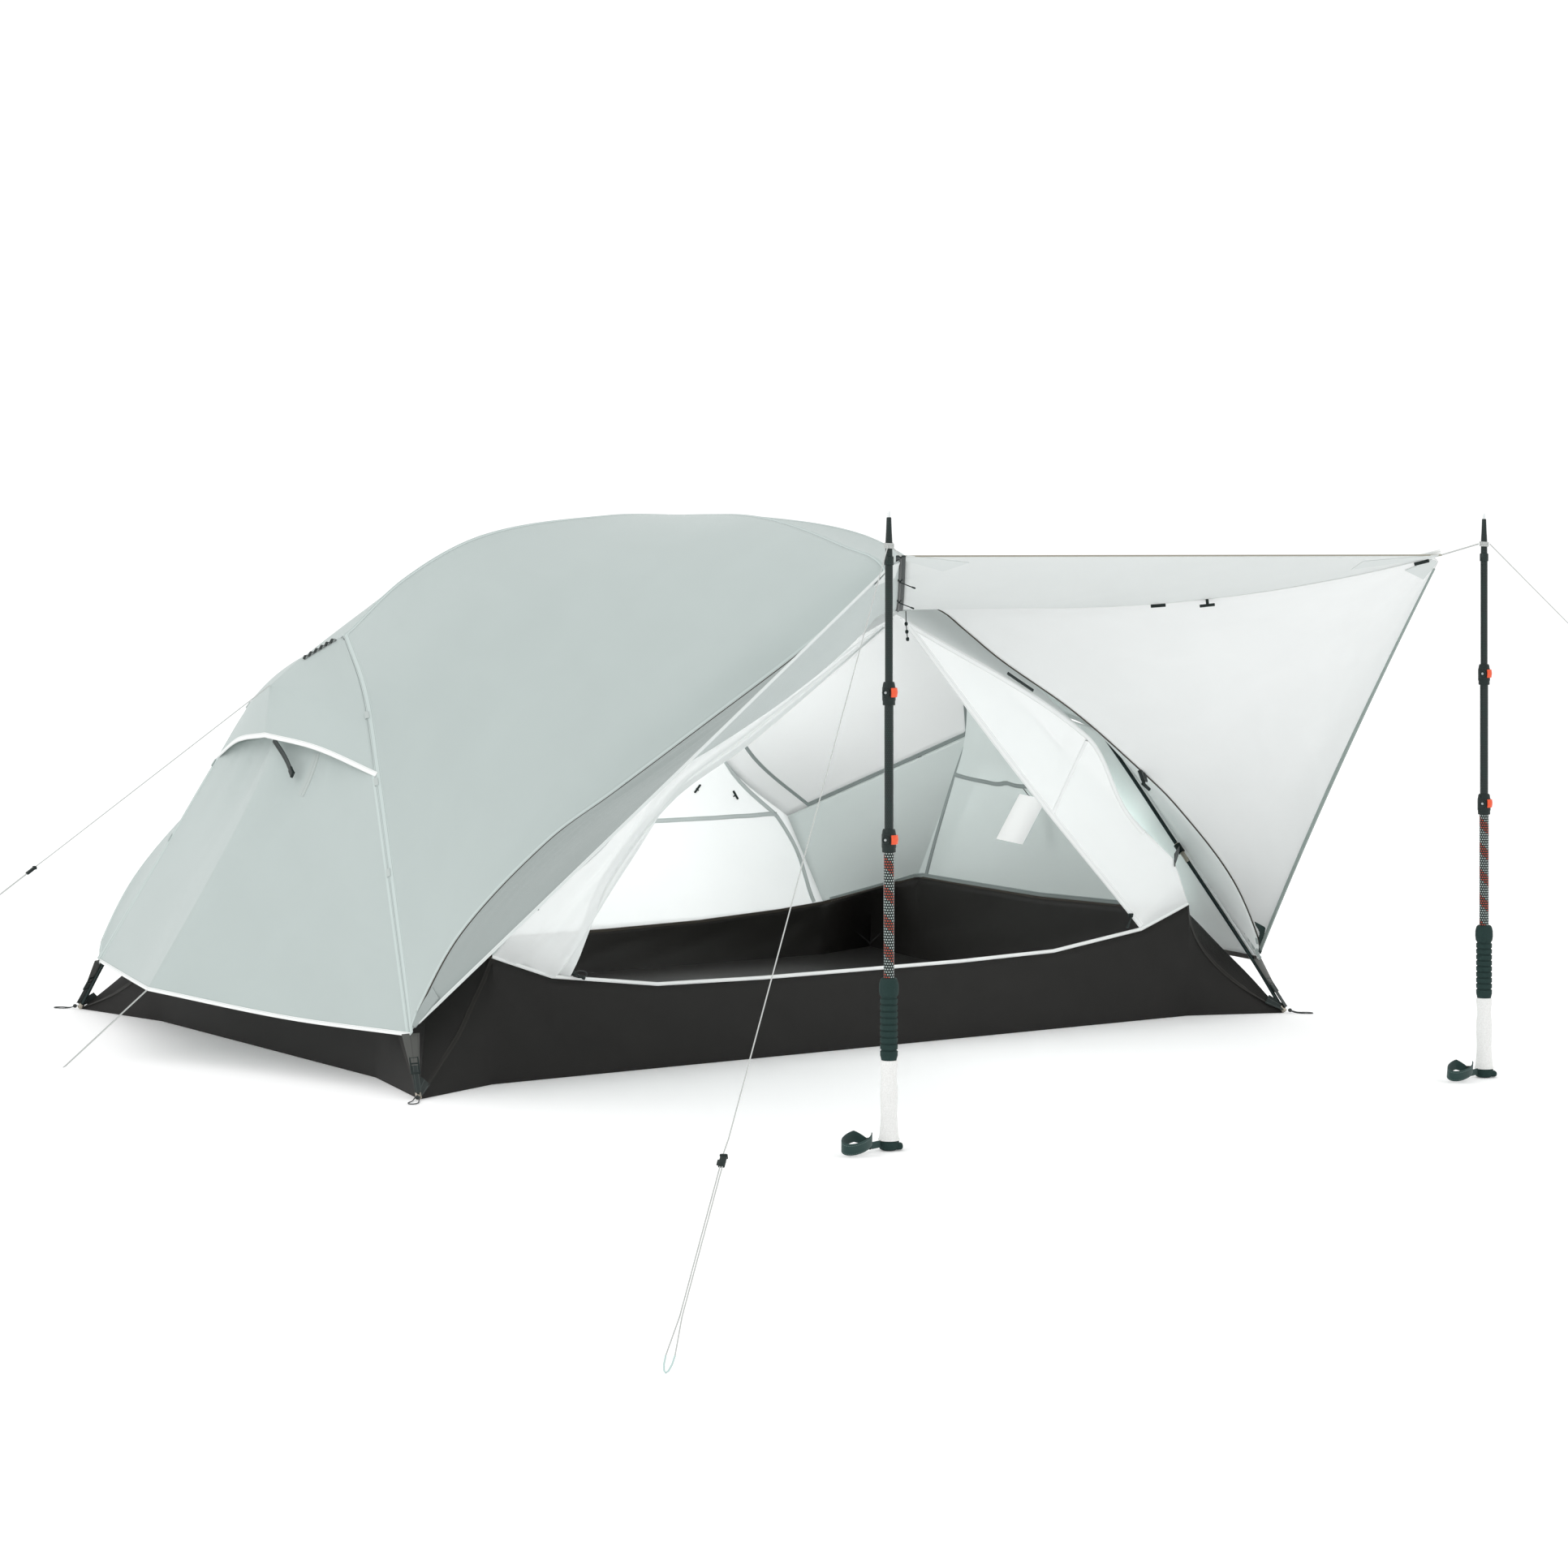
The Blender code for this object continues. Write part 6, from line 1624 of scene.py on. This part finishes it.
BACK_TAPE = sewn_tape("back_tape", (0.52, 0.57, 0.56), (0.36, 0.4, 0.39), (0.002, 0.009))
back_trims = []
for name, shares, look in (
    ("waist_right", BACK_WAIST, BACK_TAPE),
    ("waist_left", [(1 - u, v) for u, v in BACK_WAIST], BACK_TAPE),
    ("seam_right", ((0.885, 0.99), (0.974, 0.88), (0.985, 0.02)), BACK_TAPE),
    ("seam_left", ((0.115, 0.99), (0.026, 0.88), (0.015, 0.02)), BACK_TAPE),
    ("zip", ((0.5, 0.03), (0.5, 0.97)), WHITE_TAPE),
):
    frames = frames_across(back_wall_point, shares, INNER_HEART, 48)
    back_trims.append(swept(f"back_wall_tape_{name}", frames, INSIDE_TAPE, look))
for number, (u, v, tilt) in enumerate((
    (0.891, 0.79, 1.0), (0.802, 0.617, -0.85), (0.109, 0.79, -1.0), (0.198, 0.617, 0.85),
)):
    at, beside, out = frames_across(back_wall_point, ((u, v), (u + 0.001, v)), INNER_HEART, 2)[1]
    bar = Matrix.Rotation(tilt, 3, "Y") @ Vector((1, 0, 0))
    axes = (bar, out.cross(bar).normalized(), out)
    toggle = joined([
        block((0.026, 0.005, 0.0055), at - out * 0.005, axes, 0.002),
        block((0.0035, 0.009, 0.0016), at - out * 0.0022 + axes[1] * 0.002, axes, 0.0006),
    ])
    back_trims.append(finished(f"back_wall_toggle_{number}", toggle))
panel(
    "inner_back_wall", back_wall_point, BACK_WALL_CUT, 80, 40, MESH_CLOTH, MESH_CLOTH, "inner_cloth", "hung",
    ["tub"], heart=INNER_HEART, replaces=["inner_back"], trims=back_trims,
)

door_foot = front_top[3]
zip_top = inner_apex + Vector((DOOR_ZIP_OFFSET, 0, -DOOR_ZIP_OFFSET))
zip_waist = zip_top.lerp(door_foot, 0.5) + Vector((0, DOOR_ZIP_OFFSET / 2, -DOOR_ZIP_OFFSET))
ZIP_LINE = smooth([zip_top, zip_waist, door_foot], 40)
door_outer = [zip_top] + INNER_OUTLINE[1:] + [side_peak]


def right_door_point(u, v):
    """u runs from the zip to the canopy's edge, v from the apex to the tub."""
    u = trimmed(u, SEAM_GAP, SEAM_GAP, RIGHT_DOOR_REACH)
    return coons([zip_top] * 2, [door_foot, side_peak], ZIP_LINE, door_outer, u, v)


zip_frames = frames_across(right_door_point, ((0, 0.03), (0, 0.995)), INNER_HEART, 90, (0.5, 0.6))
outer_frames = frames_across(right_door_point, ((1, 0.03), (1, 0.86)), INNER_HEART, 60, (0.5, 0.6))
door_waist = ((0.05, 0.617), (0.483, 0.6), (0.955, 0.583))
waist_frames = frames_across(right_door_point, door_waist, INNER_HEART, 40, (0.5, 0.6))
trims = [
    swept("right_flap_zip", zip_frames, flat_band(-0.0012, 0.011, 0.001, -0.0018), WHITE_TAPE),
    swept("right_flap_edge", outer_frames, flat_band(0.0002, 0.01, 0.0008, -0.0016), WHITE_TAPE),
    swept("right_flap_waist", waist_frames, centred(0.0045, 0.0008, -0.0016), WHITE_TAPE),
]
panel(
    "inner_flap_right", right_door_point, RIGHT_DOOR_CUT, 30, 60, SHEER_CLOTH, SHEER_CLOTH, "inner_cloth", "hung",
    ["inner_canopy"], heart=INNER_HEART, replaces=["inner_door_right"], trims=trims,
)
at, beside, out = zip_frames[86]
zip_slider("right_flap_slider", at + out * 0.0022, Vector((1, 0, 0)), out, Vector((-0.5, -0.1, -0.8)).normalized())

CLIP_SHARE = 0.63
clip_on_leg = along(leg, CLIP_SHARE)
strap_frames = tapered(frames_along(straight(inner_clip, clip_on_leg, 12), (-0.5, -0.85, 0)), 1.8, 0.7)
for side, sx in BOTH_SIDES:
    swept(f"corner_clip_strap_{side}", mirrored(strap_frames, sx), webbing_band(0.008),
          DARK_WEBBING)
clip_way = heading(leg, CLIP_SHARE)
hook = turned(((0.0045, -0.011), (0.0078, -0.011), (0.0078, 0.011), (0.0045, 0.011)), clip_on_leg, clip_way, 24)
for side, sx in BOTH_SIDES:
    copy = hook.copy()
    bmesh.ops.scale(copy, verts=copy.verts, vec=(sx, 1, 1))
    bmesh.ops.recalc_face_normals(copy, faces=copy.faces)
    finished(f"corner_clip_{side}", copy)
hook.free()

left_peak, left_foot = flipped([side_peak, Vector((DOOR_FOOT, door_foot.y, door_foot.z))], -1)
left_corner = Vector((GATHERED_DOOR_FOOT, -TUB_HALF_WIDTH, front_top[3].z))
GATHERED_EDGE = smooth([flipped([zip_top], -1)[0], *GATHERED_DOOR_EDGE, left_corner], 40)
gathered_foot = straight(left_peak, left_foot, 20) + straight(left_foot, left_corner, 20)[1:]
gathered_outer = flipped(door_outer, -1)


def left_door_point(u, v):
    """u runs from the canopy's edge to the open edge, v from the apex to the tub."""
    u = trimmed(u, SEAM_GAP, 0, LEFT_DOOR_REACH)
    point = coons([GATHERED_EDGE[0]] * 2, gathered_foot, gathered_outer, GATHERED_EDGE, u, v)
    wave = math.sin(DOOR_FOLD_COUNT * math.pi * u) * u
    fine = math.sin(11 * math.pi * u + 2 * v) * u * 0.42
    point.y -= 2 * DOOR_FOLD_DEPTH * v * (1 - 0.72 * v) * (wave + fine)
    return point


edge_frames = frames_across(left_door_point, ((1, 0.03), (1, 0.99)), INNER_HEART, 90, (0.5, 0.6))
trims = [swept("left_flap_zip", edge_frames, flat_band(-0.0012, 0.009, 0.001, -0.0018), WHITE_TAPE)]
panel(
    "inner_flap_left", left_door_point, LEFT_DOOR_CUT, 72, 60, SHEER_CLOTH, SHEER_CLOTH, "inner_cloth", "gathered",
    ["inner_canopy"], heart=INNER_HEART, replaces=["inner_door_left"], trims=trims,
)
at = left_corner + Vector((0.004, -0.006, 0.004))
loop = smooth([at, at + Vector((0.018, -0.002, 0.003)), at + Vector((0.032, -0.002, -0.004)),
               at + Vector((0.018, -0.002, -0.01)), at + Vector((0.002, -0.001, -0.006))], 30)
tube("left_flap_pull", loop, 0.0013, DARK_CORD)
zip_slider("left_flap_slider", at, Vector((1, 0, 0)), Vector((0, -1, 0)), Vector((0.9, 0, -0.43)))


# Corners: webbing from the fly and from the tub meets at each pole foot, where a ladder-lock buckle
# tightens it. The pole ends in a metal ferrule, and a cord loop lies on the ground for a stake.

FOOT = Vector((FOOT_HALF_LENGTH, -FOOT_HALF_WIDTH, 0))
STAKE_LOOP = ((0, 0.004, 0), (0.018, 0.006, 0.0052), (0.042, 0.009, 0.0055), (0.054, 0, 0.0055),
              (0.042, -0.009, 0.0055), (0.018, -0.006, 0.0052), (0, -0.004, 0))
GUSSET_CLOTH = sewn_tape("gusset_cloth", (0.085, 0.088, 0.082), (0.05, 0.052, 0.048))
FACING = Vector((0.35, -0.94, 0.0))
OUT_WAY = Vector((0.66, -0.75, 0)).normalized()
STAKE_LOOP_RADIUS = 0.0011
FOOT_FERRULE_RADIUS = 0.006
BUCKLE_SHARE = 0.52
lock_at = FLY_CORNER.lerp(FOOT + UP * 0.012, BUCKLE_SHARE)
down = straight(FLY_CORNER + Vector((-0.002, 0.002, 0.004)), lock_at, 10)
lower = straight(lock_at, FOOT + Vector((0.002, -0.002, 0.014)), 10)
low_strap = straight(FOOT + Vector((-0.028, 0.026, 0.03)), FOOT + Vector((0.001, -0.001, 0.01)), 8)
gusset_frames = tapered(frames_along(down, FACING), 1.9, 1.0)
webbing_frames = frames_along(lower, FACING)
tub_frames = tapered(frames_along(low_strap, FACING), 1.5, 0.9)
bead = ((0, -0.0042), (0.0032, -0.0034), (0.0044, 0), (0.0032, 0.0034), (0, 0.0042))
for side, sx, sy in FOUR_SIDES:
    turn = Vector((sx, sy, 1))
    swept(f"corner_gusset_{side}", mirrored(gusset_frames, sx, sy), webbing_band(0.009), GUSSET_CLOTH)
    swept(f"corner_webbing_{side}", mirrored(webbing_frames, sx, sy), webbing_band(0.0065), DARK_WEBBING)
    way = (lower[-1] - lower[0]).normalized()
    axes = tuple(axis * turn for axis in three_ways(way, FACING))
    centre = lock_at * turn
    bars = [block((0.0032, 0.018, 0.0036), centre + axes[0] * x, axes, 0.001) for x in (-0.0164, -0.004, 0.0164)]
    bars += [block((0.036, 0.0028, 0.004), centre + axes[1] * y, axes, 0.001) for y in (-0.0076, 0.0076)]
    finished(f"corner_buckle_{side}", joined(bars))
    leg_foot = [leg_inside[-1].lerp(leg_inside[-2], share) * turn for share in (0, 0.16, 0.8)]
    tube(f"foot_ferrule_{side}", leg_foot, FOOT_FERRULE_RADIUS, FERRULE_METAL, sides=5)
    swept(f"tub_corner_webbing_{side}", mirrored(tub_frames, sx, sy), webbing_band(0.008), DARK_WEBBING)
    beside = OUT_WAY.cross(UP)
    base = FOOT + OUT_WAY * 0.008 + UP * 0.007
    loop = [base + OUT_WAY * ahead + beside * aside - UP * low for ahead, aside, low in STAKE_LOOP]
    loop = flipped(smooth(loop, 36), sx, sy)
    line = tube(f"stake_loop_{side}", loop, STAKE_LOOP_RADIUS, DARK_CORD)
    knot_at = (base + OUT_WAY * 0.004 - UP * 0.001) * turn
    knot = turned(bead, knot_at, OUT_WAY * turn, 18)
    knot = finished(f"stake_loop_knot_{side}", knot, DARK_CORD)


# Trekking poles: three carbon sections that slide into each other, held by two lever clamps. They stand
# grip down. Each has a cork grip with a soft cap, a ribbed foam sleeve and a webbing wrist strap.

GRIP_LENGTH = 0.154
GRIP_HEAD_RADIUS = 0.018
FOAM_LENGTH = 0.141
UPPER_SHAFT_RADIUS = 0.009
UPPER_SHAFT_FOOT = 0.0203
UPPER_SHAFT_TOP = 0.51
SHAFT_WALL = 0.0008
SLIDE_GAP = 0.0003
MIDDLE_SHAFT_RADIUS = 0.0079
MIDDLE_SHAFT_FOOT = 0.36
MIDDLE_SHAFT_TOP = 0.762
TIP_SHAFT_RADIUS = 0.0068
TIP_SHAFT_FOOT = 0.6
TIP_COLLAR_HEIGHT = 1.002
TIP_HEIGHT = 1.095
CLAMP_LENGTH = 0.04
CLAMP_WALL = 0.004
SCREW_WAY = Vector((-0.825, -0.565, 0))
LEVER_HEIGHT = 0.016
LEVER_THICKNESS = 0.0026
LEVER_SWEEP = math.radians(130)
LEVER_HINGE_ANGLE = math.radians(-110)
STRAP_LOOP_LENGTH = 0.058
STRAP_LOOP_WIDTH = 0.034
STRAP_NECK = Vector((-0.04, -0.006, 0))
STRAP_WIDTH = 0.022
STRAP_STEPS = 110
STRAP_LEAN = Vector((0.565, 0.825, 0))


def dots_group():
    """Staggered rows of round dots wrapped on a shaft, and a slow spiral that picks their colour."""
    group, start, split, end = cut_group("shaft_dots", ("Around", "Pitch", "Size", "Spiral"), ("Dot", "Band"))
    turn = maths(group, "DIVIDE", ("ARCTAN2", split.outputs["Y"], split.outputs["X"]), math.tau)
    rows = maths(group, "DIVIDE", split.outputs["Z"], start.outputs["Pitch"])
    odd = maths(group, "MULTIPLY", ("MODULO", ("FLOOR", rows), 2.0), 0.5)
    across = maths(group, "ADD", ("MULTIPLY", turn, start.outputs["Around"]), odd)
    a = maths(group, "SUBTRACT", ("FRACT", across), 0.5)
    b = maths(group, "SUBTRACT", ("FRACT", rows), 0.5)
    far = maths(group, "ADD", ("MULTIPLY", a, a), ("MULTIPLY", b, b))
    group.links.new(maths(group, "LESS_THAN", far, start.outputs["Size"]), end.inputs["Dot"])
    spiral = maths(group, "ADD", turn, ("DIVIDE", split.outputs["Z"], start.outputs["Spiral"]))
    group.links.new(maths(group, "FRACT", spiral), end.inputs["Band"])
    return group


SHAFT_DOTS = dots_group()


def tube_wall(radius, foot, top):
    """The profile of an open tube's wall, as (radius, height)."""
    bore = radius - SHAFT_WALL
    return (bore, foot), (radius, foot), (radius, top), (bore, top)


def dotted_shaft(name, at, around, pitch, size, colours, spiral):
    """Dark carbon with a coat of lacquer and printed dots, centred on the pole's own axis."""
    made = plain_finish(name, (0.01, 0.02, 0.018), 0.3, coat=0.12)
    tree = made.node_tree
    where = tree.nodes.new("ShaderNodeTexCoord")
    centred = tree.nodes.new("ShaderNodeMapping")
    centred.inputs["Location"].default_value = (-at.x, -at.y, 0)
    dots = tree.nodes.new("ShaderNodeGroup")
    dots.node_tree = SHAFT_DOTS
    fill(dots, {"Around": around, "Pitch": pitch, "Size": size, "Spiral": spiral})
    ramp = tree.nodes.new("ShaderNodeValToRGB")
    ramp.color_ramp.interpolation = "CONSTANT"
    ramp.color_ramp.elements.remove(ramp.color_ramp.elements[1])
    for number, colour in enumerate(colours):
        stop = ramp.color_ramp.elements[0] if number == 0 else ramp.color_ramp.elements.new(number / len(colours))
        stop.color = (*colour, 1)
    grain = grain_node(tree, (0.004, 0.009, 0.008), (0.012, 0.022, 0.02), 420)
    tone = tree.nodes.new("ShaderNodeMix")
    tone.data_type = "RGBA"
    for a, b in (
        (where.outputs["Object"], centred.inputs["Vector"]),
        (centred.outputs["Vector"], dots.inputs["Vector"]),
        (dots.outputs["Band"], ramp.inputs["Fac"]),
        (dots.outputs["Dot"], tone.inputs["Factor"]),
        (grain.outputs["Color"], tone.inputs["A"]),
        (ramp.outputs["Color"], tone.inputs["B"]),
        (tone.outputs["Result"], tree.nodes["Principled BSDF"].inputs["Base Color"]),
    ):
        tree.links.new(a, b)
    relief(made, grain.outputs["Height"], 0.00003)
    return made


RED, GREEN, PALE, SMOKE = (0.6, 0.07, 0.028), (0.015, 0.06, 0.05), (0.5, 0.58, 0.56), (0.03, 0.045, 0.043)
CORK = grained("cork_grip", (0.66, 0.66, 0.64), (0.92, 0.93, 0.92), 420, 0.8, 0.0006)
FOAM = grained("foam_green", (0.008, 0.022, 0.02), (0.022, 0.048, 0.044), 700, 0.85, 0.0003)
STRAP_WEBBING = sewn_tape("strap_webbing", (0.02, 0.05, 0.046), (0.09, 0.14, 0.13), (0.003, 0.019))
LEVER_RED = grained("lever_red", (0.7, 0.075, 0.028), (0.86, 0.13, 0.05), 200, 0.38, 0.00005)
CARBIDE = grained("carbide_tip", (0.62, 0.65, 0.65), (0.86, 0.89, 0.89), 300, 0.3, 0.00008, 0.6)
SCREW_METAL = grained("screw_metal", (0.3, 0.32, 0.32), (0.52, 0.55, 0.55), 500, 0.3, 0.00005, 0.9)

for side, at in (("left", POLE_LEFT_PLACE), ("right", POLE_RIGHT_PLACE)):
    middle_body = f"pole_middle_{side}"
    tip_body = f"pole_tip_{side}"
    shaft_bore = UPPER_SHAFT_RADIUS + SLIDE_GAP
    grip = (
        (0.01, 0.017), (0.0163, 0.017), (0.0172, 0.02), (0.016, 0.03), (0.0146, 0.045), (0.014, 0.06),
        (0.0146, 0.078), (0.0152, 0.092), (0.015, 0.105), (0.0136, 0.118), (0.0131, 0.127), (0.0142, 0.138),
        (0.015, 0.147), (0.0148, 0.152), (0.0138, GRIP_LENGTH), (shaft_bore, GRIP_LENGTH), (shaft_bore, 0.021),
        (0.01, 0.02),
    )
    finished(f"cork_grip_{side}", turned(grip, at), CORK, replaces=[f"grip_{side}"])
    cap = ((0, 0), (0.011, 0), (0.0158, 0.0022), (0.0178, 0.0072), (0.018, 0.012), (0.017, 0.0166), (0, 0.0166))
    beak_axes = three_ways((0.82, -0.57, 0))
    beak = block((0.024, 0.02, 0.011), at + beak_axes[0] * 0.012 + UP * 0.0068, beak_axes, 0.0045)
    finished(f"grip_cap_{side}", joined([turned(cap, at), beak]), FOAM)
    band = ((0.0166, 0.0168), (0.0183, 0.0172), (0.0186, 0.0186), (0.0183, 0.02), (0.0166, 0.0204))
    finished(f"grip_cap_band_{side}", turned(band, at), CORK)
    foam = [(shaft_bore, GRIP_LENGTH + SLIDE_GAP), (0.0132, GRIP_LENGTH + SLIDE_GAP), (0.014, GRIP_LENGTH + 0.004)]
    for rib in range(9):
        low = GRIP_LENGTH + 0.008 + rib * 0.0112
        foam += [(0.0151, low), (0.0153, low + 0.0076), (0.0134, low + 0.0088), (0.0134, low + 0.0104)]
    foam += [
        (0.016, GRIP_LENGTH + 0.112), (0.017, GRIP_LENGTH + 0.12), (0.0168, GRIP_LENGTH + 0.13),
        (0.0148, GRIP_LENGTH + 0.138), (0.0122, GRIP_LENGTH + FOAM_LENGTH), (shaft_bore, GRIP_LENGTH + FOAM_LENGTH),
    ]
    finished(f"foam_sleeve_{side}", turned(foam, at), FOAM, replaces=[f"foam_grip_{side}"])
    upper = tube_wall(UPPER_SHAFT_RADIUS, UPPER_SHAFT_FOOT, UPPER_SHAFT_TOP)
    look = dotted_shaft(f"upper_shaft_{side}", at, 13, 0.0046, 0.058, (PALE, RED, RED, PALE, PALE), 0.05)
    finished(f"shaft_upper_{side}", turned(upper, at), look, replaces=[f"upper_shaft_{side}"])
    middle = tube_wall(MIDDLE_SHAFT_RADIUS, MIDDLE_SHAFT_FOOT, MIDDLE_SHAFT_TOP)
    look = dotted_shaft(f"middle_shaft_{side}", at, 15, 0.0034, 0.035, (SMOKE, GREEN, SMOKE), 0.06)
    finished(f"shaft_middle_{side}", turned(middle, at), look, middle_body, [f"middle_shaft_{side}"])
    r = TIP_SHAFT_RADIUS
    collar = TIP_COLLAR_HEIGHT
    tip = (
        (0, TIP_SHAFT_FOOT), (r, TIP_SHAFT_FOOT), (r, collar), (r + 0.0014, collar + 0.0006),
        (r + 0.0016, collar + 0.002), (r + 0.0016, collar + 0.014), (r + 0.0008, collar + 0.0155),
        (r - 0.0005, collar + 0.016), (r - 0.0008, TIE_HEIGHT + 0.008), (0.005, TIE_HEIGHT + 0.026),
        (0.0042, TIP_HEIGHT - 0.0115), (0.0036, TIP_HEIGHT - 0.0105), (0, TIP_HEIGHT - 0.0105),
    )
    look = dotted_shaft(f"tip_shaft_{side}", at, 13, 0.0034, 0.03, (SMOKE, GREEN, SMOKE), 0.06)
    finished(f"shaft_tip_{side}", turned(tip, at), look, tip_body, [f"tip_section_{side}"])
    point = ((0, TIP_HEIGHT - 0.011), (0.0026, TIP_HEIGHT - 0.011), (0.0026, TIP_HEIGHT - 0.004),
             (0.0018, TIP_HEIGHT), (0, TIP_HEIGHT - 0.0012))
    finished(f"carbide_point_{side}", turned(point, at, steps=24), CARBIDE, tip_body)
    for level, base, inner_radius, body in (
        ("lower", UPPER_SHAFT_TOP + SLIDE_GAP, MIDDLE_SHAFT_RADIUS, TENT),
        ("upper", MIDDLE_SHAFT_TOP + SLIDE_GAP, TIP_SHAFT_RADIUS, middle_body),
    ):
        outer = inner_radius + CLAMP_WALL
        ribbed = outer + 0.0008
        clear = inner_radius + SLIDE_GAP
        top = base + CLAMP_LENGTH
        profile = (
            (clear, base), (outer - 0.0006, base), (outer, base + 0.0006), (outer, base + 0.007),
            (ribbed, base + 0.009), (ribbed, top - 0.01), (outer, top - 0.0075), (outer - 0.0006, top - 0.003),
            (outer - 0.0018, top), (clear, top),
        )
        middle_height = base + CLAMP_LENGTH * 0.55
        screw_at = at + UP * middle_height
        knob = (
            (0, outer - 0.001), (0.0034, outer - 0.001), (0.0034, outer + 0.002), (0.0058, outer + 0.0026),
            (0.0064, outer + 0.0034), (0.0064, outer + 0.0066), (0.0056, outer + 0.0074), (0.0044, outer + 0.007),
            (0.004, outer + 0.006), (0, outer + 0.006),
        )
        ear = block((0.006, 0.011, 0.02), screw_at + SCREW_WAY * (outer + 0.0002), three_ways(SCREW_WAY), 0.0018)
        finished(
            f"clamp_body_{level}_{side}", joined([turned(profile, at), turned(knob, screw_at, SCREW_WAY, 20), ear]),
            body=body, replaces=[f"clamp_{level}_{side}"],
        )
        screw = ((0, outer + 0.0058), (0.0022, outer + 0.0058), (0.0022, outer + 0.0068), (0, outer + 0.0068))
        finished(f"clamp_screw_{level}_{side}", turned(screw, screw_at, SCREW_WAY, 18), SCREW_METAL,
                 body)
        mid = ribbed + 0.0006 + LEVER_THICKNESS / 2
        bm = bmesh.new()
        bmesh.ops.create_grid(bm, x_segments=32, y_segments=8, size=0.5)
        for v in bm.verts:
            share = v.co.x + 0.5
            angle = LEVER_HINGE_ANGLE + LEVER_SWEEP * share
            radius = mid + 0.0052 * max(0.0, (share - 0.8) / 0.2) ** 1.6
            radius += 0.0005 * math.cos(math.pi * v.co.y * 2)
            height = v.co.y * LEVER_HEIGHT * (1.0 - 0.34 * max(0.0, share - 0.5) / 0.5)
            height -= 0.0018 * max(0.0, share - 0.6) / 0.4
            v.co = at + Vector((radius * math.cos(angle), radius * math.sin(angle), middle_height + height))
        lever = finished(f"lever_arm_{level}_{side}", bm, LEVER_RED, f"lever_{level}_{side}_part",
                         [f"lever_{level}_{side}"])
        wall = lever.modifiers.new("thickness", "SOLIDIFY")
        wall.thickness = LEVER_THICKNESS
        wall.offset = 0
        edge = lever.modifiers.new("edge", "BEVEL")
        edge.width = 0.0006
        edge.segments = 2

    start = at + Vector((-GRIP_HEAD_RADIUS - 0.0006, 0, 0))
    neck = at + STRAP_NECK
    loop_centre = neck - Vector((STRAP_LOOP_LENGTH * 0.6, STRAP_LOOP_WIDTH * 0.12, 0))
    path = [start, start.lerp(neck, 0.5), neck]
    for k in range(41):
        angle = math.radians(12) + math.radians(330) * k / 40
        across = Vector((STRAP_LOOP_LENGTH * math.cos(angle), STRAP_LOOP_WIDTH * math.sin(angle), 0)) / 2
        path.append(loop_centre + across)
    strap_frames = []
    strap_line = spaced(path, STRAP_STEPS)
    for k, p in enumerate(strap_line):
        share = k / STRAP_STEPS
        loop_part = min(1.0, max(0.0, (share - 0.14) * 5))
        width = 0.55 + 0.45 * loop_part
        rise = loop_part * (0.45 * (STRAP_LEAN.dot(p - loop_centre) + STRAP_LOOP_WIDTH / 2) + 0.002)
        upright = (UP - STRAP_LEAN * 0.4 * loop_part).normalized()
        ahead = (strap_line[min(k + 1, STRAP_STEPS)] - strap_line[max(k - 1, 0)]).normalized()
        centre = p + UP * (0.0012 + STRAP_WIDTH / 2 + rise)
        strap_frames.append((centre, upright * width, ahead.cross(upright).normalized()))
    strap = swept(f"hand_strap_{side}", strap_frames, centred(STRAP_WIDTH / 2, 0.0009, -0.0009),
                  STRAP_WEBBING, replaces=[f"wrist_strap_{side}"])
    lock_way = (strap_line[22] - strap_line[18]).normalized()
    buckle = block((0.01, 0.0045, 0.02), strap_frames[20][0], three_ways(lock_way), 0.0012)
    finished(f"strap_buckle_{side}", buckle)

low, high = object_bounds()
